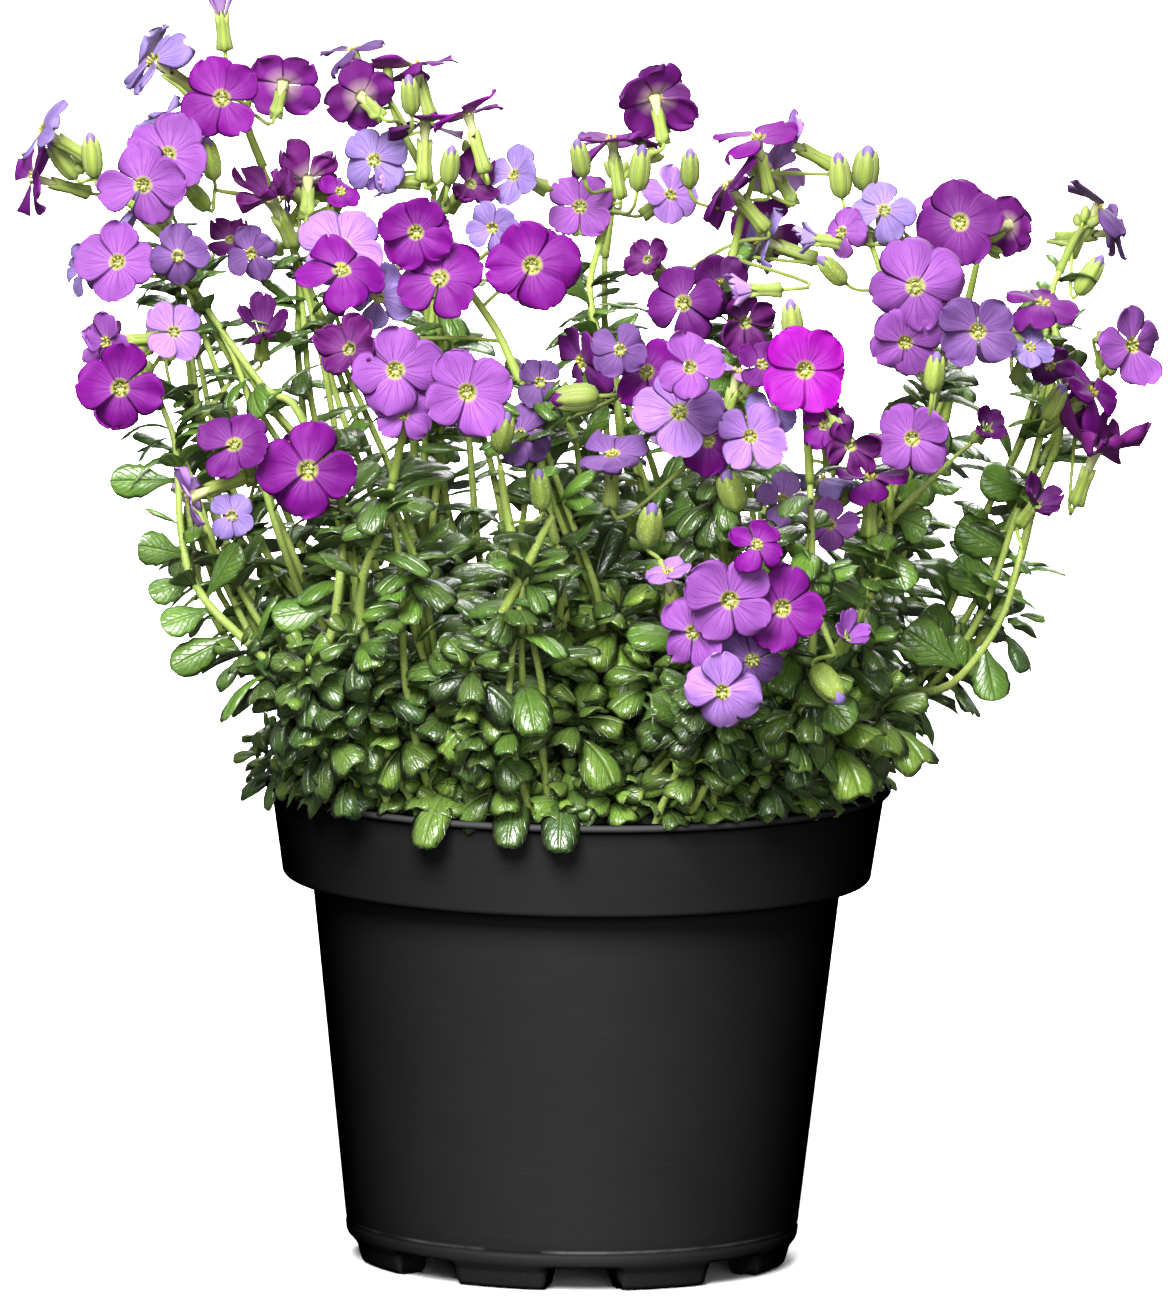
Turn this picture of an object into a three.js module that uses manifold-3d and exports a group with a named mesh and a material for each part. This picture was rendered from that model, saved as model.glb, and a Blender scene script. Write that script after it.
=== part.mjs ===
// A flowering aubrieta in its black nursery pot: the pot, its peat soil, the leaf cushion, the
// flowering stems with their leaves, and the racemes with their pedicels, blooms and buds.
// Millimetres, +Z up, origin on the floor under the pot's axis, -Y towards the viewer.

import * as THREE from 'three';
import { mergeVertices } from 'three/addons/utils/BufferGeometryUtils.js';
import Module from 'manifold-3d';

const wasm = await Module();
wasm.setup();

// Pot
const POT_HEIGHT = 92;
const LIP_RADIUS = 60;
const LIP_DROP = 1.6;
const COLLAR_TOP_RADIUS = 58.7;
const COLLAR_FOOT_RADIUS = 56.4;
const COLLAR_FOOT_HEIGHT = 74.8;
const BODY_TOP_RADIUS = 50.6;
const BODY_FOOT_RADIUS = 43.4;
const BAND_HEIGHT = 7;
const FOOT_RADIUS = 41.3;
const WALL = 1.3;
const UNDERSIDE_HEIGHT = 4.4;
const FLOOR_HEIGHT = 7;
const FOOT_INNER_RADIUS = 35;
const POT_SIDES = 28;
const NOTCHES = 8;
const NOTCH_HEIGHT = 4.4;
const NOTCH_OUTER_WIDTH = 19;
const NOTCH_INNER_WIDTH = 7.5;
const NOTCH_RUN_IN = 3;
const NOTCH_RUN_OUT = 4;
const NOTCH_BELOW = 1;
const NOTCH_TURN = THREE.MathUtils.degToRad(3);
const FOOT_DRAFT = 1;
const CREASE_DEPTH = 0.2;
const CREASE_HALF = 0.6;
const COLLAR_ROUND = 0.8;
const STEP_INNER_HEIGHT = COLLAR_FOOT_HEIGHT + 0.6;
const STEP_OUTER_HEIGHT = COLLAR_FOOT_HEIGHT + 1;
const FLOOR_DISH = 1;

// Soil and cushion
const SOIL_TOP = 84;
const CLEARANCE = 0.35;
const STEM_DEPTH_IN_SOIL = 9;
const CUSHION_BASE = SOIL_TOP + CLEARANCE;
const CUSHION_SIDES = 16;
const CUSHION_CENTRE_HEIGHT = 78;
const CUSHION_LEAVES = 80;
const CUSHION_LEAF_LENGTH = 13;
const CUSHION_LEAF_WIDTH = 9;
const CUSHION_LEAF_SINK = 1.2;
const LIP_LEAVES = 20;
const LIP_LEAF_LENGTH = 13.2;
const LIP_LEAF_FOOT_RADIUS = 52;
const LIP_LEAF_FOOT_HEIGHT = 97.5;
const LIP_LEAF_SWINGS = [0, 0.12, -0.12];
const HANGING_RISE = -0.12;
const HANGING_ARCH = 0.3;
const CUSHION_LEAF_ARCH = 0.3;
const DOME_LEAF_SHARE = 0.95;

// Flowers
const LIMB_THICKNESS = 0.8;
const TUBE_LENGTH = 4.6;
const TUBE_RADIUS = 1.1;
const CALYX_LENGTH = 7;
const CALYX_RADIUS = 1.9;
const CALYX_FOOT_RADIUS = 0.9;
const PEDICEL_RADIUS = 0.42;
const TWIN_SHRINK = 0.92;
const SCRAP_VOLUME = 12;

// The view that the places were read from: a picture of 1168 x 1296 pixels, taken from four
// metres in front and a little above, and turned a little.
const VIEW_DISTANCE = 4000;
const VIEW_TILT = THREE.MathUtils.degToRad(7.9);
const VIEW_ROLL = THREE.MathUtils.degToRad(0.8);
const VIEW_AIM = new THREE.Vector3(0.8, 0, 117.5);
const VIEW_FOCAL = 21132;
const VIEW_CENTRE = new THREE.Vector2(584, 648);
const PIXELS_PER_MM = 5.25;

const COLOURS = {
  pot: 0x1f1f21,
  soil: 0x2b221b,
  cushion: 0x3d5a2a,
  stem: 0x7f9a55,
  corolla: 0x8f55c8,
};

const VIEW_EYE = new THREE.Vector3(
  VIEW_AIM.x, -VIEW_DISTANCE, VIEW_AIM.z + VIEW_DISTANCE * Math.tan(VIEW_TILT));

// Point of the picture at a given depth: the ray through the pixel meets the plane y = depth.
function photoPoint(px, py, depth) {
  const right = px - VIEW_CENTRE.x;
  const up = VIEW_CENTRE.y - py;
  const across = right * Math.cos(VIEW_ROLL) - up * Math.sin(VIEW_ROLL);
  const rise = right * Math.sin(VIEW_ROLL) + up * Math.cos(VIEW_ROLL);
  const ray = new THREE.Vector3(
    across,
    VIEW_FOCAL * Math.cos(VIEW_TILT) + rise * Math.sin(VIEW_TILT),
    rise * Math.cos(VIEW_TILT) - VIEW_FOCAL * Math.sin(VIEW_TILT));
  return VIEW_EYE.clone().addScaledVector(ray, (depth + VIEW_DISTANCE) / ray.y);
}

// Seeded random numbers (mulberry32), so that the plant grows alike each time.
function randomSource(seed) {
  let state = seed >>> 0;
  return () => {
    state = (state + 0x6d2b79f5) >>> 0;
    let t = Math.imul(state ^ (state >>> 15), state | 1);
    t = (t + Math.imul(t ^ (t >>> 7), t | 61)) ^ t;
    return ((t ^ (t >>> 14)) >>> 0) / 4294967296;
  };
}

// One bloom: its throat in the picture, the way it faces (right, up, toward the viewer),
// the pixels that it measures across, its tone, and how far it stands behind its raceme's depth.
function bloom(px, py, right, up, toward, across, tone, behind = 0) {
  return { px, py, facing: new THREE.Vector3(right, -toward, up).normalize(), across, tone, behind };
}

// A raceme: the blooms round one stem's tip, at the depth where it stands, and the route of its
// rachis, the stalk that carries them, in picture points with their depth.
const RACEMES = [
  { name: 'far_left', stem: 'left_diagonal', depth: -8,
    rachis: [[165, 225, -10], [110, 190, -4], [88, 168, -4]], blooms: [
    bloom(42, 130, -0.75, 0.45, 0.1, 75, 'lightBlue'),
    bloom(33, 178, -0.95, 0.25, 0.1, 80, 'purple'),
  ] },
  { name: 'upper_left', stem: 'left_diagonal', depth: -6,
    rachis: [[165, 235, -12], [174, 190, 0], [180, 135, 3]], blooms: [
    bloom(153, 60, -0.75, 0.55, 0.35, 85, 'lightBlue'),
    bloom(160, 125, -0.6, 0.75, 0.2, 72, 'lightBlue'),
    bloom(168, 155, -0.2, 0.3, 0.9, 88, 'violet'),
    bloom(143, 185, -0.3, 0.1, 0.9, 85, 'violet', -10),
    bloom(132, 208, -0.75, 0.6, 0, 75, 'lightBlue'),
  ] },
  { name: 'top_left', stem: 'top_left', depth: -2,
    rachis: [[262, 165, 6], [246, 120, 5], [252, 92, 4]], blooms: [
    bloom(222, 98, -0.05, 0.1, 1, 85, 'magenta'),
    bloom(283, 85, 0.1, 0.4, -0.9, 80, 'purple', -6),
  ] },
  { name: 'left_upper', stem: 'left_diagonal', depth: -30,
    rachis: [[195, 290, -18], [150, 268, -18]], blooms: [
    bloom(118, 262, -0.25, 0.35, 0.9, 82, 'violet'),
    bloom(82, 272, -0.8, 0.1, 0.5, 55, 'lightBlue', -2),
    bloom(178, 256, 0, 0.1, 0.95, 62, 'blueViolet', -2),
  ] },
  { name: 'left_wilting', stem: 'top_left', depth: 4,
    rachis: [[296, 260, 10], [290, 225, 10], [300, 205, 8]], blooms: [
    bloom(252, 253, -0.45, 0, 0.85, 56, 'blueViolet'),
    bloom(230, 240, -0.2, 0.5, 0.8, 42, 'withered'),
    bloom(270, 200, -0.3, 0.6, 0.3, 58, 'withered'),
    bloom(285, 195, -1, 0, 0.15, 48, 'dusky'),
    bloom(308, 180, 0, 0.5, -0.85, 58, 'withered'),
    bloom(340, 192, 0.2, 0.6, 0.6, 45, 'magenta'),
  ] },
  { name: 'top', stem: 'top_middle', depth: 12,
    rachis: [[434, 190, 7], [402, 130, 9], [385, 88, 11]], blooms: [
    bloom(353, 50, -0.4, 0.9, 0, 70, 'dusky'),
    bloom(362, 97, -0.3, 0.2, -0.9, 72, 'dark', -6),
    bloom(415, 65, -0.3, 0.9, -0.3, 88, 'purple', -3),
    bloom(374, 160, -0.25, 0.3, 0.9, 75, 'lightBlue', -3),
  ] },
  { name: 'top_right_of_middle', stem: 'top_middle', depth: -10,
    rachis: [[433, 222, 9], [452, 175, 0], [468, 155, -3]], blooms: [
    bloom(425, 122, 0, 0.95, -0.25, 78, 'dark', 6),
    bloom(468, 115, -0.3, 0.92, -0.15, 78, 'magenta', 6),
    bloom(470, 185, 0.3, 0.4, 0.6, 50, 'withered'),
    bloom(515, 175, -0.5, 0.3, 0.75, 64, 'lightBlue'),
  ] },
  { name: 'arch', stem: 'arching', depth: -52,
    rachis: [[520, 380, -49], [490, 320, -46], [440, 265, -42], [368, 275, -40]], blooms: [
    bloom(416, 232, -0.1, 0.1, 0.95, 75, 'magenta'),
    bloom(440, 278, -0.1, 0.3, 0.93, 85, 'magenta', -1),
    bloom(532, 265, -0.05, 0.05, 1, 94, 'magenta', -1),
    bloom(493, 228, -0.3, 0.1, 0.9, 56, 'lightBlue', 1),
    bloom(343, 247, 0, 0.35, 0.93, 92, 'violet'),
    bloom(342, 270, 0.1, 0.75, 0.6, 88, 'magenta', -3),
    bloom(378, 297, -0.4, 0.2, 0.85, 70, 'lightBlue', -2),
  ] },
  { name: 'left_edge', stem: 'left_leafy', depth: -34,
    rachis: [[160, 400, -26], [140, 362, -24]], blooms: [
    bloom(107, 342, -0.8, 0, 0.5, 60, 'violet'),
    bloom(120, 388, -0.1, 0, 1, 90, 'magenta', -2),
    bloom(174, 332, 0.1, 0.35, 0.9, 64, 'light', -2),
  ] },
  { name: 'left_low', stem: 'left_nodding', depth: -56,
    rachis: [[316, 455, -46], [285, 445, -45], [250, 462, -45]], blooms: [
    bloom(308, 470, 0, 0, 1, 98, 'magenta'),
    bloom(235, 445, -0.3, 0.5, 0.7, 78, 'purple'),
    bloom(190, 498, -0.85, -0.35, 0.1, 66, 'light', 3),
    bloom(232, 515, -0.1, 0.3, 0.9, 50, 'lightBlue', -2),
  ] },
  { name: 'middle_left', stem: 'middle_left', depth: -84,
    rachis: [[393, 480, -71], [405, 425, -72], [418, 392, -73]], blooms: [
    bloom(395, 370, 0, 0.1, 1, 92, 'violet'),
    bloom(467, 392, 0.05, 0.05, 1, 88, 'violet', -1),
    bloom(403, 414, 0, 0.2, 0.9, 60, 'violet', -2),
    bloom(350, 350, -0.2, 0.3, 0.6, 60, 'withered', 2),
  ] },
  { name: 'middle', stem: 'middle', depth: -46,
    rachis: [[575, 440, -36], [560, 400, -34]], blooms: [
    bloom(540, 382, 0.1, 0.2, 0.9, 52, 'dusky'),
    bloom(582, 362, -0.85, 0, 0.5, 76, 'purple', 2),
    bloom(520, 435, -0.4, 0, 0.85, 66, 'blueViolet'),
  ] },
  { name: 'heart', stem: 'heart', depth: -70,
    rachis: [[718, 460, -60], [722, 420, -58], [695, 395, -57], [650, 385, -57]], blooms: [
    bloom(612, 455, 0, 0.85, 0.4, 74, 'blueViolet', 2),
    bloom(679, 412, 0, 0, 1, 88, 'light'),
    bloom(708, 440, 0.1, -0.2, 0.9, 74, 'magenta'),
    bloom(750, 436, 0.05, 0, 1, 72, 'light', -1),
    bloom(772, 412, 0.2, 0.2, 0.9, 52, 'lightBlue', -1),
    bloom(762, 365, 0.2, 0.5, 0.7, 56, 'purple', 1),
    bloom(738, 372, 0.2, 0.9, 0.1, 44, 'light', 1),
    bloom(620, 350, 0.2, 0.1, 0.9, 58, 'blueViolet'),
    bloom(647, 372, -0.5, 0.2, 0.8, 76, 'magenta'),
    bloom(690, 368, 0, 0.4, 0.9, 68, 'violet', -1),
  ] },
  { name: 'top_of_middle', stem: 'forked', depth: 10,
    rachis: [[600, 240, 4], [615, 190, 8], [640, 160, 9]], blooms: [
    bloom(580, 207, 0, 0.3, 0.95, 70, 'violet', -4),
    bloom(612, 140, -0.15, 0.95, -0.2, 90, 'purple', -2),
    bloom(655, 98, -0.15, 0.65, -0.7, 86, 'dark', 2),
    bloom(670, 195, 0.3, 0.3, 0.6, 62, 'light'),
  ] },
  { name: 'top_right', stem: 'top_right', depth: -4,
    rachis: [[728, 275, -8], [742, 215, -2], [755, 175, 2]], blooms: [
    bloom(757, 138, -0.2, 0.9, 0.2, 86, 'magenta'),
    bloom(785, 140, -0.8, 0.45, 0.3, 72, 'light'),
    bloom(728, 185, -0.65, 0.75, 0, 86, 'dark', -2),
    bloom(775, 172, -0.3, 0.4, -0.85, 62, 'light', 3),
    bloom(760, 240, -0.9, 0.3, 0, 78, 'lightBlue'),
    bloom(765, 230, 0, 0.3, -0.9, 76, 'dark', 5),
    bloom(720, 285, 0.1, 0, 0.95, 66, 'dark', -1),
    bloom(683, 303, -0.25, 0.2, 0.93, 82, 'purple'),
    bloom(745, 322, 0.2, -0.1, 0.8, 56, 'withered'),
    bloom(648, 260, -0.2, 0.3, 0.7, 42, 'withered'),
  ] },
  { name: 'right_top', stem: 'right_inner', depth: -6,
    rachis: [[868, 235, -6], [905, 240, 2], [985, 245, 4]], blooms: [
    bloom(960, 222, 0, 0.15, 0.97, 88, 'purple'),
    bloom(1010, 225, 0.5, 0, -0.8, 66, 'dark', 1),
    bloom(884, 210, 0, 0.5, 0.85, 66, 'lightBlue'),
    bloom(842, 232, -0.5, 0.2, 0.8, 50, 'violet', -1),
  ] },
  { name: 'right_head', stem: 'right_inner', depth: -44,
    rachis: [[940, 370, -27], [955, 332, -30], [1010, 335, -32]], blooms: [
    bloom(915, 287, 0, 0, 1, 97, 'violet'),
    bloom(978, 331, 0, 0, 1, 82, 'blueViolet', -1),
    bloom(905, 342, 0.1, -0.2, 0.9, 75, 'violet'),
    bloom(1030, 348, 0.2, 0.6, 0.7, 48, 'lightBlue'),
    bloom(1042, 303, 0.2, 0.85, 0.3, 72, 'purple', 2),
    bloom(1050, 365, 0.3, -0.3, 0.8, 50, 'dark', -1),
  ] },
  { name: 'far_right_top', stem: 'right_outer', depth: 6,
    rachis: [[1060, 270, -2], [1074, 240, 2], [1082, 228, 4]], blooms: [
    bloom(1098, 205, 0.45, 0.85, 0, 80, 'dusky'),
    bloom(1112, 232, 0.9, 0.1, -0.3, 62, 'dusky'),
  ] },
  { name: 'far_right', stem: 'right_outer', depth: -20,
    rachis: [[1060, 420, -8], [1085, 405, -9], [1102, 375, -10]], blooms: [
    bloom(1132, 345, 0.55, 0, 0.83, 82, 'violet'),
    bloom(1092, 392, 0.7, 0.6, 0.25, 82, 'magenta', 1),
    bloom(1095, 452, 0.3, 0.9, 0.2, 82, 'withered', 2),
  ] },
  { name: 'right_low', stem: 'right_short', depth: -50,
    rachis: [[890, 520, -40], [886, 485, -36], [850, 492, -36]], blooms: [
    bloom(912, 438, -0.1, 0, 1, 78, 'violet'),
    bloom(870, 478, 0, 1, 0.1, 74, 'magenta', 1),
    bloom(820, 478, 0, 1, 0.05, 74, 'lightBlue', 1),
    bloom(783, 500, 0, 0.45, 0.88, 58, 'light', -1),
    bloom(830, 525, 0.2, 0.2, 0.7, 54, 'violet', -1),
  ] },
  { name: 'bright', stem: 'bright', depth: -74,
    rachis: [[810, 480, -68], [806, 410, -70], [806, 388, -71]], blooms: [
    bloom(805, 370, 0.05, 0.1, 1, 90, 'pink'),
    bloom(825, 425, -0.1, 0.6, 0.6, 52, 'magenta'),
    bloom(850, 445, 0.2, -0.2, 0.7, 48, 'withered'),
  ] },
  { name: 'front', stem: 'front', depth: -86,
    rachis: [[720, 675, -70], [732, 630, -72], [732, 590, -72]], blooms: [
    bloom(730, 600, 0, 0, 1, 92, 'violet'),
    bloom(782, 608, 0.05, 0, 1, 88, 'magenta', 1),
    bloom(693, 632, -0.3, 0.1, 0.93, 76, 'violet'),
    bloom(722, 692, 0, 0, 1, 80, 'light', -1),
    bloom(752, 660, 0.2, -0.2, 0.9, 70, 'blueViolet', 2),
    bloom(757, 545, 0.1, 0.5, 0.7, 56, 'magenta', 1),
    bloom(668, 572, -0.1, 0.9, 0.3, 52, 'light', 1),
  ] },
];

// Racemes on the far side: each stands behind one at the front, in the same place of the
// picture, and faces away.
const FAR_RACEMES = [
  { name: 'back_upper_left', of: 'upper_left', stem: 'back_left', depth: 52, count: 3,
    rachis: [[165, 245, 40], [162, 190, 42], [170, 140, 44]] },
  { name: 'back_left_edge', of: 'left_edge', stem: 'back_left', depth: 56, count: 3,
    rachis: [[192, 410, 45], [150, 375, 46]] },
  { name: 'back_left_low', of: 'left_low', stem: 'back_low', depth: 74, count: 3,
    rachis: [[300, 545, 60], [275, 485, 63]] },
  { name: 'back_middle_left', of: 'middle_left', stem: 'back_middle', depth: 84, count: 3,
    rachis: [[433, 450, 68], [415, 400, 73]] },
  { name: 'back_arch', of: 'arch', stem: 'back_middle', depth: 72, count: 3,
    rachis: [[450, 325, 60], [465, 268, 61]] },
  { name: 'back_top', of: 'top_of_middle', stem: 'back_top', depth: 58, count: 3,
    rachis: [[605, 255, 46], [616, 180, 47]] },
  { name: 'back_heart', of: 'heart', stem: 'back_heart', depth: 78, count: 4,
    rachis: [[690, 475, 64], [697, 430, 66]] },
  { name: 'back_front', of: 'front', stem: 'back_low_right', depth: 87, count: 3,
    rachis: [[725, 685, 68], [738, 620, 73]] },
  { name: 'back_bright', of: 'bright', stem: 'back_right', depth: 76, count: 2,
    rachis: [[850, 440, 60], [822, 400, 64]] },
  { name: 'back_right_top', of: 'right_top', stem: 'back_right', depth: 50, count: 2,
    rachis: [[965, 315, 46], [980, 250, 40]] },
  { name: 'back_right_head', of: 'right_head', stem: 'back_right', depth: 62, count: 3,
    rachis: [[945, 420, 50], [962, 350, 51]] },
];

// Closed or half-open buds and withered heads, each part of the raceme or stem that it is on:
// its middle in the picture, the way it points, its length, largest radius and depth.
const BUDS = [
  { on: 'raceme_top_left', px: 222, py: 18, right: -0.1, up: 1, toward: 0, length: 13, radius: 3.4, depth: -2 },
  { on: 'raceme_far_left', px: 62, py: 160, right: -0.6, up: 0.8, toward: 0, length: 9, radius: 1.7, depth: -4 },
  { on: 'raceme_far_left', px: 92, py: 155, right: -0.1, up: 1, toward: 0.1, length: 9, radius: 1.8, depth: -10 },
  { on: 'stem_top_left', px: 210, py: 158, right: -0.2, up: 1, toward: 0.2, length: 9, radius: 1.8, depth: -6 },
  { on: 'stem_top_left', px: 196, py: 195, right: -0.6, up: 0.7, toward: 0.3, length: 8, radius: 1.7, depth: -8 },
  { on: 'raceme_top', px: 410, py: 95, right: -0.1, up: 1, toward: 0.2, length: 8, radius: 1.7, depth: -12 },
  { on: 'raceme_top', px: 398, py: 182, right: -1, up: 0, toward: 0.1, length: 9, radius: 2.8, depth: 2 },
  { on: 'raceme_top_right_of_middle', px: 450, py: 165, right: 0.1, up: 1, toward: 0.2, length: 8, radius: 1.7, depth: -22 },
  { on: 'raceme_top_of_middle', px: 580, py: 158, right: -0.2, up: 1, toward: 0.3, length: 8, radius: 1.7, depth: -8 },
  { on: 'raceme_top_of_middle', px: 640, py: 168, right: 0.1, up: 1, toward: 0.1, length: 9, radius: 1.9, depth: -12 },
  { on: 'raceme_top_right', px: 690, py: 168, right: 0, up: 1, toward: 0.2, length: 8, radius: 1.7, depth: -8 },
  { on: 'raceme_top_right', px: 757, py: 290, right: -1, up: 0, toward: 0.2, length: 10, radius: 2.9, depth: -44 },
  { on: 'raceme_right_top', px: 840, py: 175, right: -0.1, up: 1, toward: 0.1, length: 9, radius: 2, depth: -4 },
  { on: 'raceme_right_top', px: 866, py: 168, right: 0.1, up: 1, toward: 0.1, length: 9, radius: 2.4, depth: 2 },
  { on: 'raceme_right_top', px: 820, py: 240, right: -1, up: 0.1, toward: 0, length: 9, radius: 2.8, depth: -10 },
  { on: 'stem_right_inner', px: 832, py: 270, right: -0.6, up: 0.6, toward: 0.3, length: 8, radius: 1.8, depth: -22 },
  { on: 'raceme_far_right_top', px: 1090, py: 275, right: 0.5, up: 0.8, toward: 0, length: 9, radius: 1.8, depth: -4 },
  { on: 'raceme_far_right', px: 1055, py: 402, right: 0.4, up: 0.8, toward: 0.2, length: 8, radius: 1.8, depth: -30 },
  { on: 'raceme_bright', px: 792, py: 322, right: -0.1, up: 1, toward: 0.1, length: 9, radius: 1.9, depth: -72 },
  { on: 'stem_right_inner', px: 935, py: 372, right: 0.1, up: 1, toward: 0.2, length: 8, radius: 1.8, depth: -60 },
  { on: 'stem_right_short', px: 985, py: 430, right: 0.3, up: 0.4, toward: 0.6, length: 9, radius: 3.4, depth: -36 },
  { on: 'raceme_middle', px: 575, py: 398, right: -1, up: -0.1, toward: 0, length: 9, radius: 2.5, depth: -58 },
  { on: 'stem_heart', px: 731, py: 490, right: -0.3, up: 0.9, toward: 0.3, length: 9, radius: 2.4, depth: -66 },
  { on: 'stem_cut_front', px: 540, py: 490, right: -0.1, up: 1, toward: 0.1, length: 8, radius: 1.8, depth: -70 },
  { on: 'stem_cut_front', px: 503, py: 432, right: 0.2, up: 0.9, toward: 0.2, length: 8, radius: 1.9, depth: -64 },
  { on: 'stem_front', px: 650, py: 525, right: 0.1, up: 0.9, toward: 0.3, length: 9, radius: 2.2, depth: -70 },
  { on: 'stem_bright', px: 828, py: 685, right: 0.6, up: -0.7, toward: 0.3, length: 9, radius: 2.6, depth: -74 },
  { on: 'stem_bright', px: 845, py: 640, right: 0.3, up: 0.5, toward: 0.6, length: 9, radius: 3.4, depth: -66 },
  { on: 'stem_right_outer', px: 1033, py: 507, right: 0.4, up: 0.6, toward: 0.5, length: 11, radius: 4.5, depth: -24 },
  { on: 'stem_left_leafy', px: 262, py: 338, right: 0, up: 0.85, toward: 0.45, length: 11, radius: 4.5, depth: -22 },
];

// The flowering stems. Each route is a list of picture points with their depth, from the soil
// up; the first route of a stem stands in the soil, the others branch off it.
const STEMS = [
  { name: 'left_diagonal', radius: 0.95, foot: [-24, -6], routes: [
    [[352, 560, -26], [300, 415, -26], [262, 385, -24], [195, 290, -18], [165, 235, -12]],
  ] },
  { name: 'top_left', radius: 0.9, foot: [-18, 8], routes: [
    [[330, 520, 16], [300, 380, 14], [296, 260, 10], [262, 165, 6]],
    [[275, 200, 8], [215, 190, -2]],
  ] },
  { name: 'top_middle', radius: 1, foot: [-10, 14], routes: [
    [[420, 520, 22], [425, 360, 18], [432, 250, 10], [434, 190, 7]],
  ] },
  { name: 'arching', radius: 1.1, foot: [4, -22], routes: [
    [[560, 580, -44], [550, 520, -50], [530, 400, -50], [520, 380, -49]],
  ] },
  { name: 'left_leafy', radius: 1, foot: [-32, -20], routes: [
    [[300, 700, -44], [205, 600, -40], [182, 540, -36], [176, 450, -30], [160, 400, -26]],
    [[176, 450, -30], [232, 380, -20]],
  ] },
  { name: 'left_nodding', radius: 1.1, foot: [-28, -30], routes: [
    [[325, 700, -52], [335, 620, -54], [343, 540, -52], [340, 495, -48], [316, 455, -46]],
  ] },
  { name: 'middle_left', radius: 1.1, foot: [-14, -32], routes: [
    [[365, 640, -58], [385, 520, -70], [393, 480, -71]],
  ] },
  { name: 'middle', radius: 1, foot: [6, -14], routes: [
    [[600, 600, -26], [585, 500, -34], [575, 440, -36]],
  ] },
  { name: 'forked', radius: 1.1, foot: [8, 8], routes: [
    [[632, 520, 0], [620, 430, -10], [615, 390, -10], [590, 300, -4], [600, 240, 4]],
  ] },
  { name: 'heart', radius: 1.1, foot: [16, -26], routes: [
    [[735, 580, -50], [722, 500, -58], [718, 460, -60]],
  ] },
  { name: 'top_right', radius: 1, foot: [20, 10], routes: [
    [[760, 540, 14], [745, 420, 8], [735, 340, -4], [728, 275, -8]],
  ] },
  { name: 'right_inner', radius: 1.1, foot: [30, -14], routes: [
    [[870, 600, -24], [900, 500, -26], [935, 400, -26], [940, 370, -27]],
    [[935, 400, -26], [895, 310, -18], [868, 235, -6]],
  ] },
  { name: 'right_outer', radius: 1.1, foot: [36, 4], routes: [
    [[900, 690, -4], [965, 655, -6], [1010, 590, -8], [1035, 500, -8], [1058, 440, -8],
      [1062, 380, -8], [1052, 300, -4], [1060, 270, -2]],
    [[900, 690, -4], [950, 685, -22], [1000, 622, -24], [1022, 550, -24]],
  ] },
  { name: 'right_short', radius: 1, foot: [28, -28], routes: [
    [[850, 640, -44], [885, 560, -42], [890, 520, -40]],
    [[890, 520, -40], [950, 462, -38]],
  ] },
  { name: 'bright', radius: 1, foot: [22, -36], routes: [
    [[800, 700, -58], [812, 600, -66], [810, 480, -68]],
    [[812, 600, -66], [835, 655, -70]],
  ] },
  { name: 'front', radius: 1.1, foot: [10, -38], routes: [
    [[700, 740, -60], [720, 675, -70]],
    [[712, 702, -66], [676, 600, -72], [660, 560, -70]],
  ] },
  { name: 'cut_front', radius: 1.3, foot: [-4, -40], routes: [
    [[480, 700, -60], [485, 650, -64], [520, 580, -66], [552, 515, -66]],
    [[520, 580, -66], [505, 500, -62], [500, 465, -62]],
  ] },
  { name: 'back_left', radius: 1.1, foot: [-30, 20], routes: [
    [[320, 640, 40], [240, 540, 46], [200, 440, 46], [185, 330, 44], [165, 245, 40]],
  ] },
  { name: 'back_low', radius: 1.1, foot: [-22, 34], routes: [
    [[350, 640, 48], [300, 545, 60]],
  ] },
  { name: 'back_middle', radius: 1.1, foot: [-8, 36], routes: [
    [[450, 640, 58], [440, 520, 68], [430, 420, 68], [450, 325, 60]],
  ] },
  { name: 'back_top', radius: 1.1, foot: [4, 26], routes: [
    [[560, 560, 44], [600, 400, 48], [605, 255, 46]],
  ] },
  { name: 'back_heart', radius: 1.1, foot: [8, 32], routes: [
    [[660, 600, 58], [690, 475, 64]],
  ] },
  { name: 'back_low_right', radius: 1.1, foot: [20, 33], routes: [
    [[706, 725, 46], [725, 685, 67.4]],
  ] },
  { name: 'back_right', radius: 1.1, foot: [34, 22], routes: [
    [[860, 640, 44], [915, 520, 50], [945, 400, 50], [965, 315, 46]],
    [[915, 520, 50], [850, 440, 60]],
  ] },
];

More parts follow.
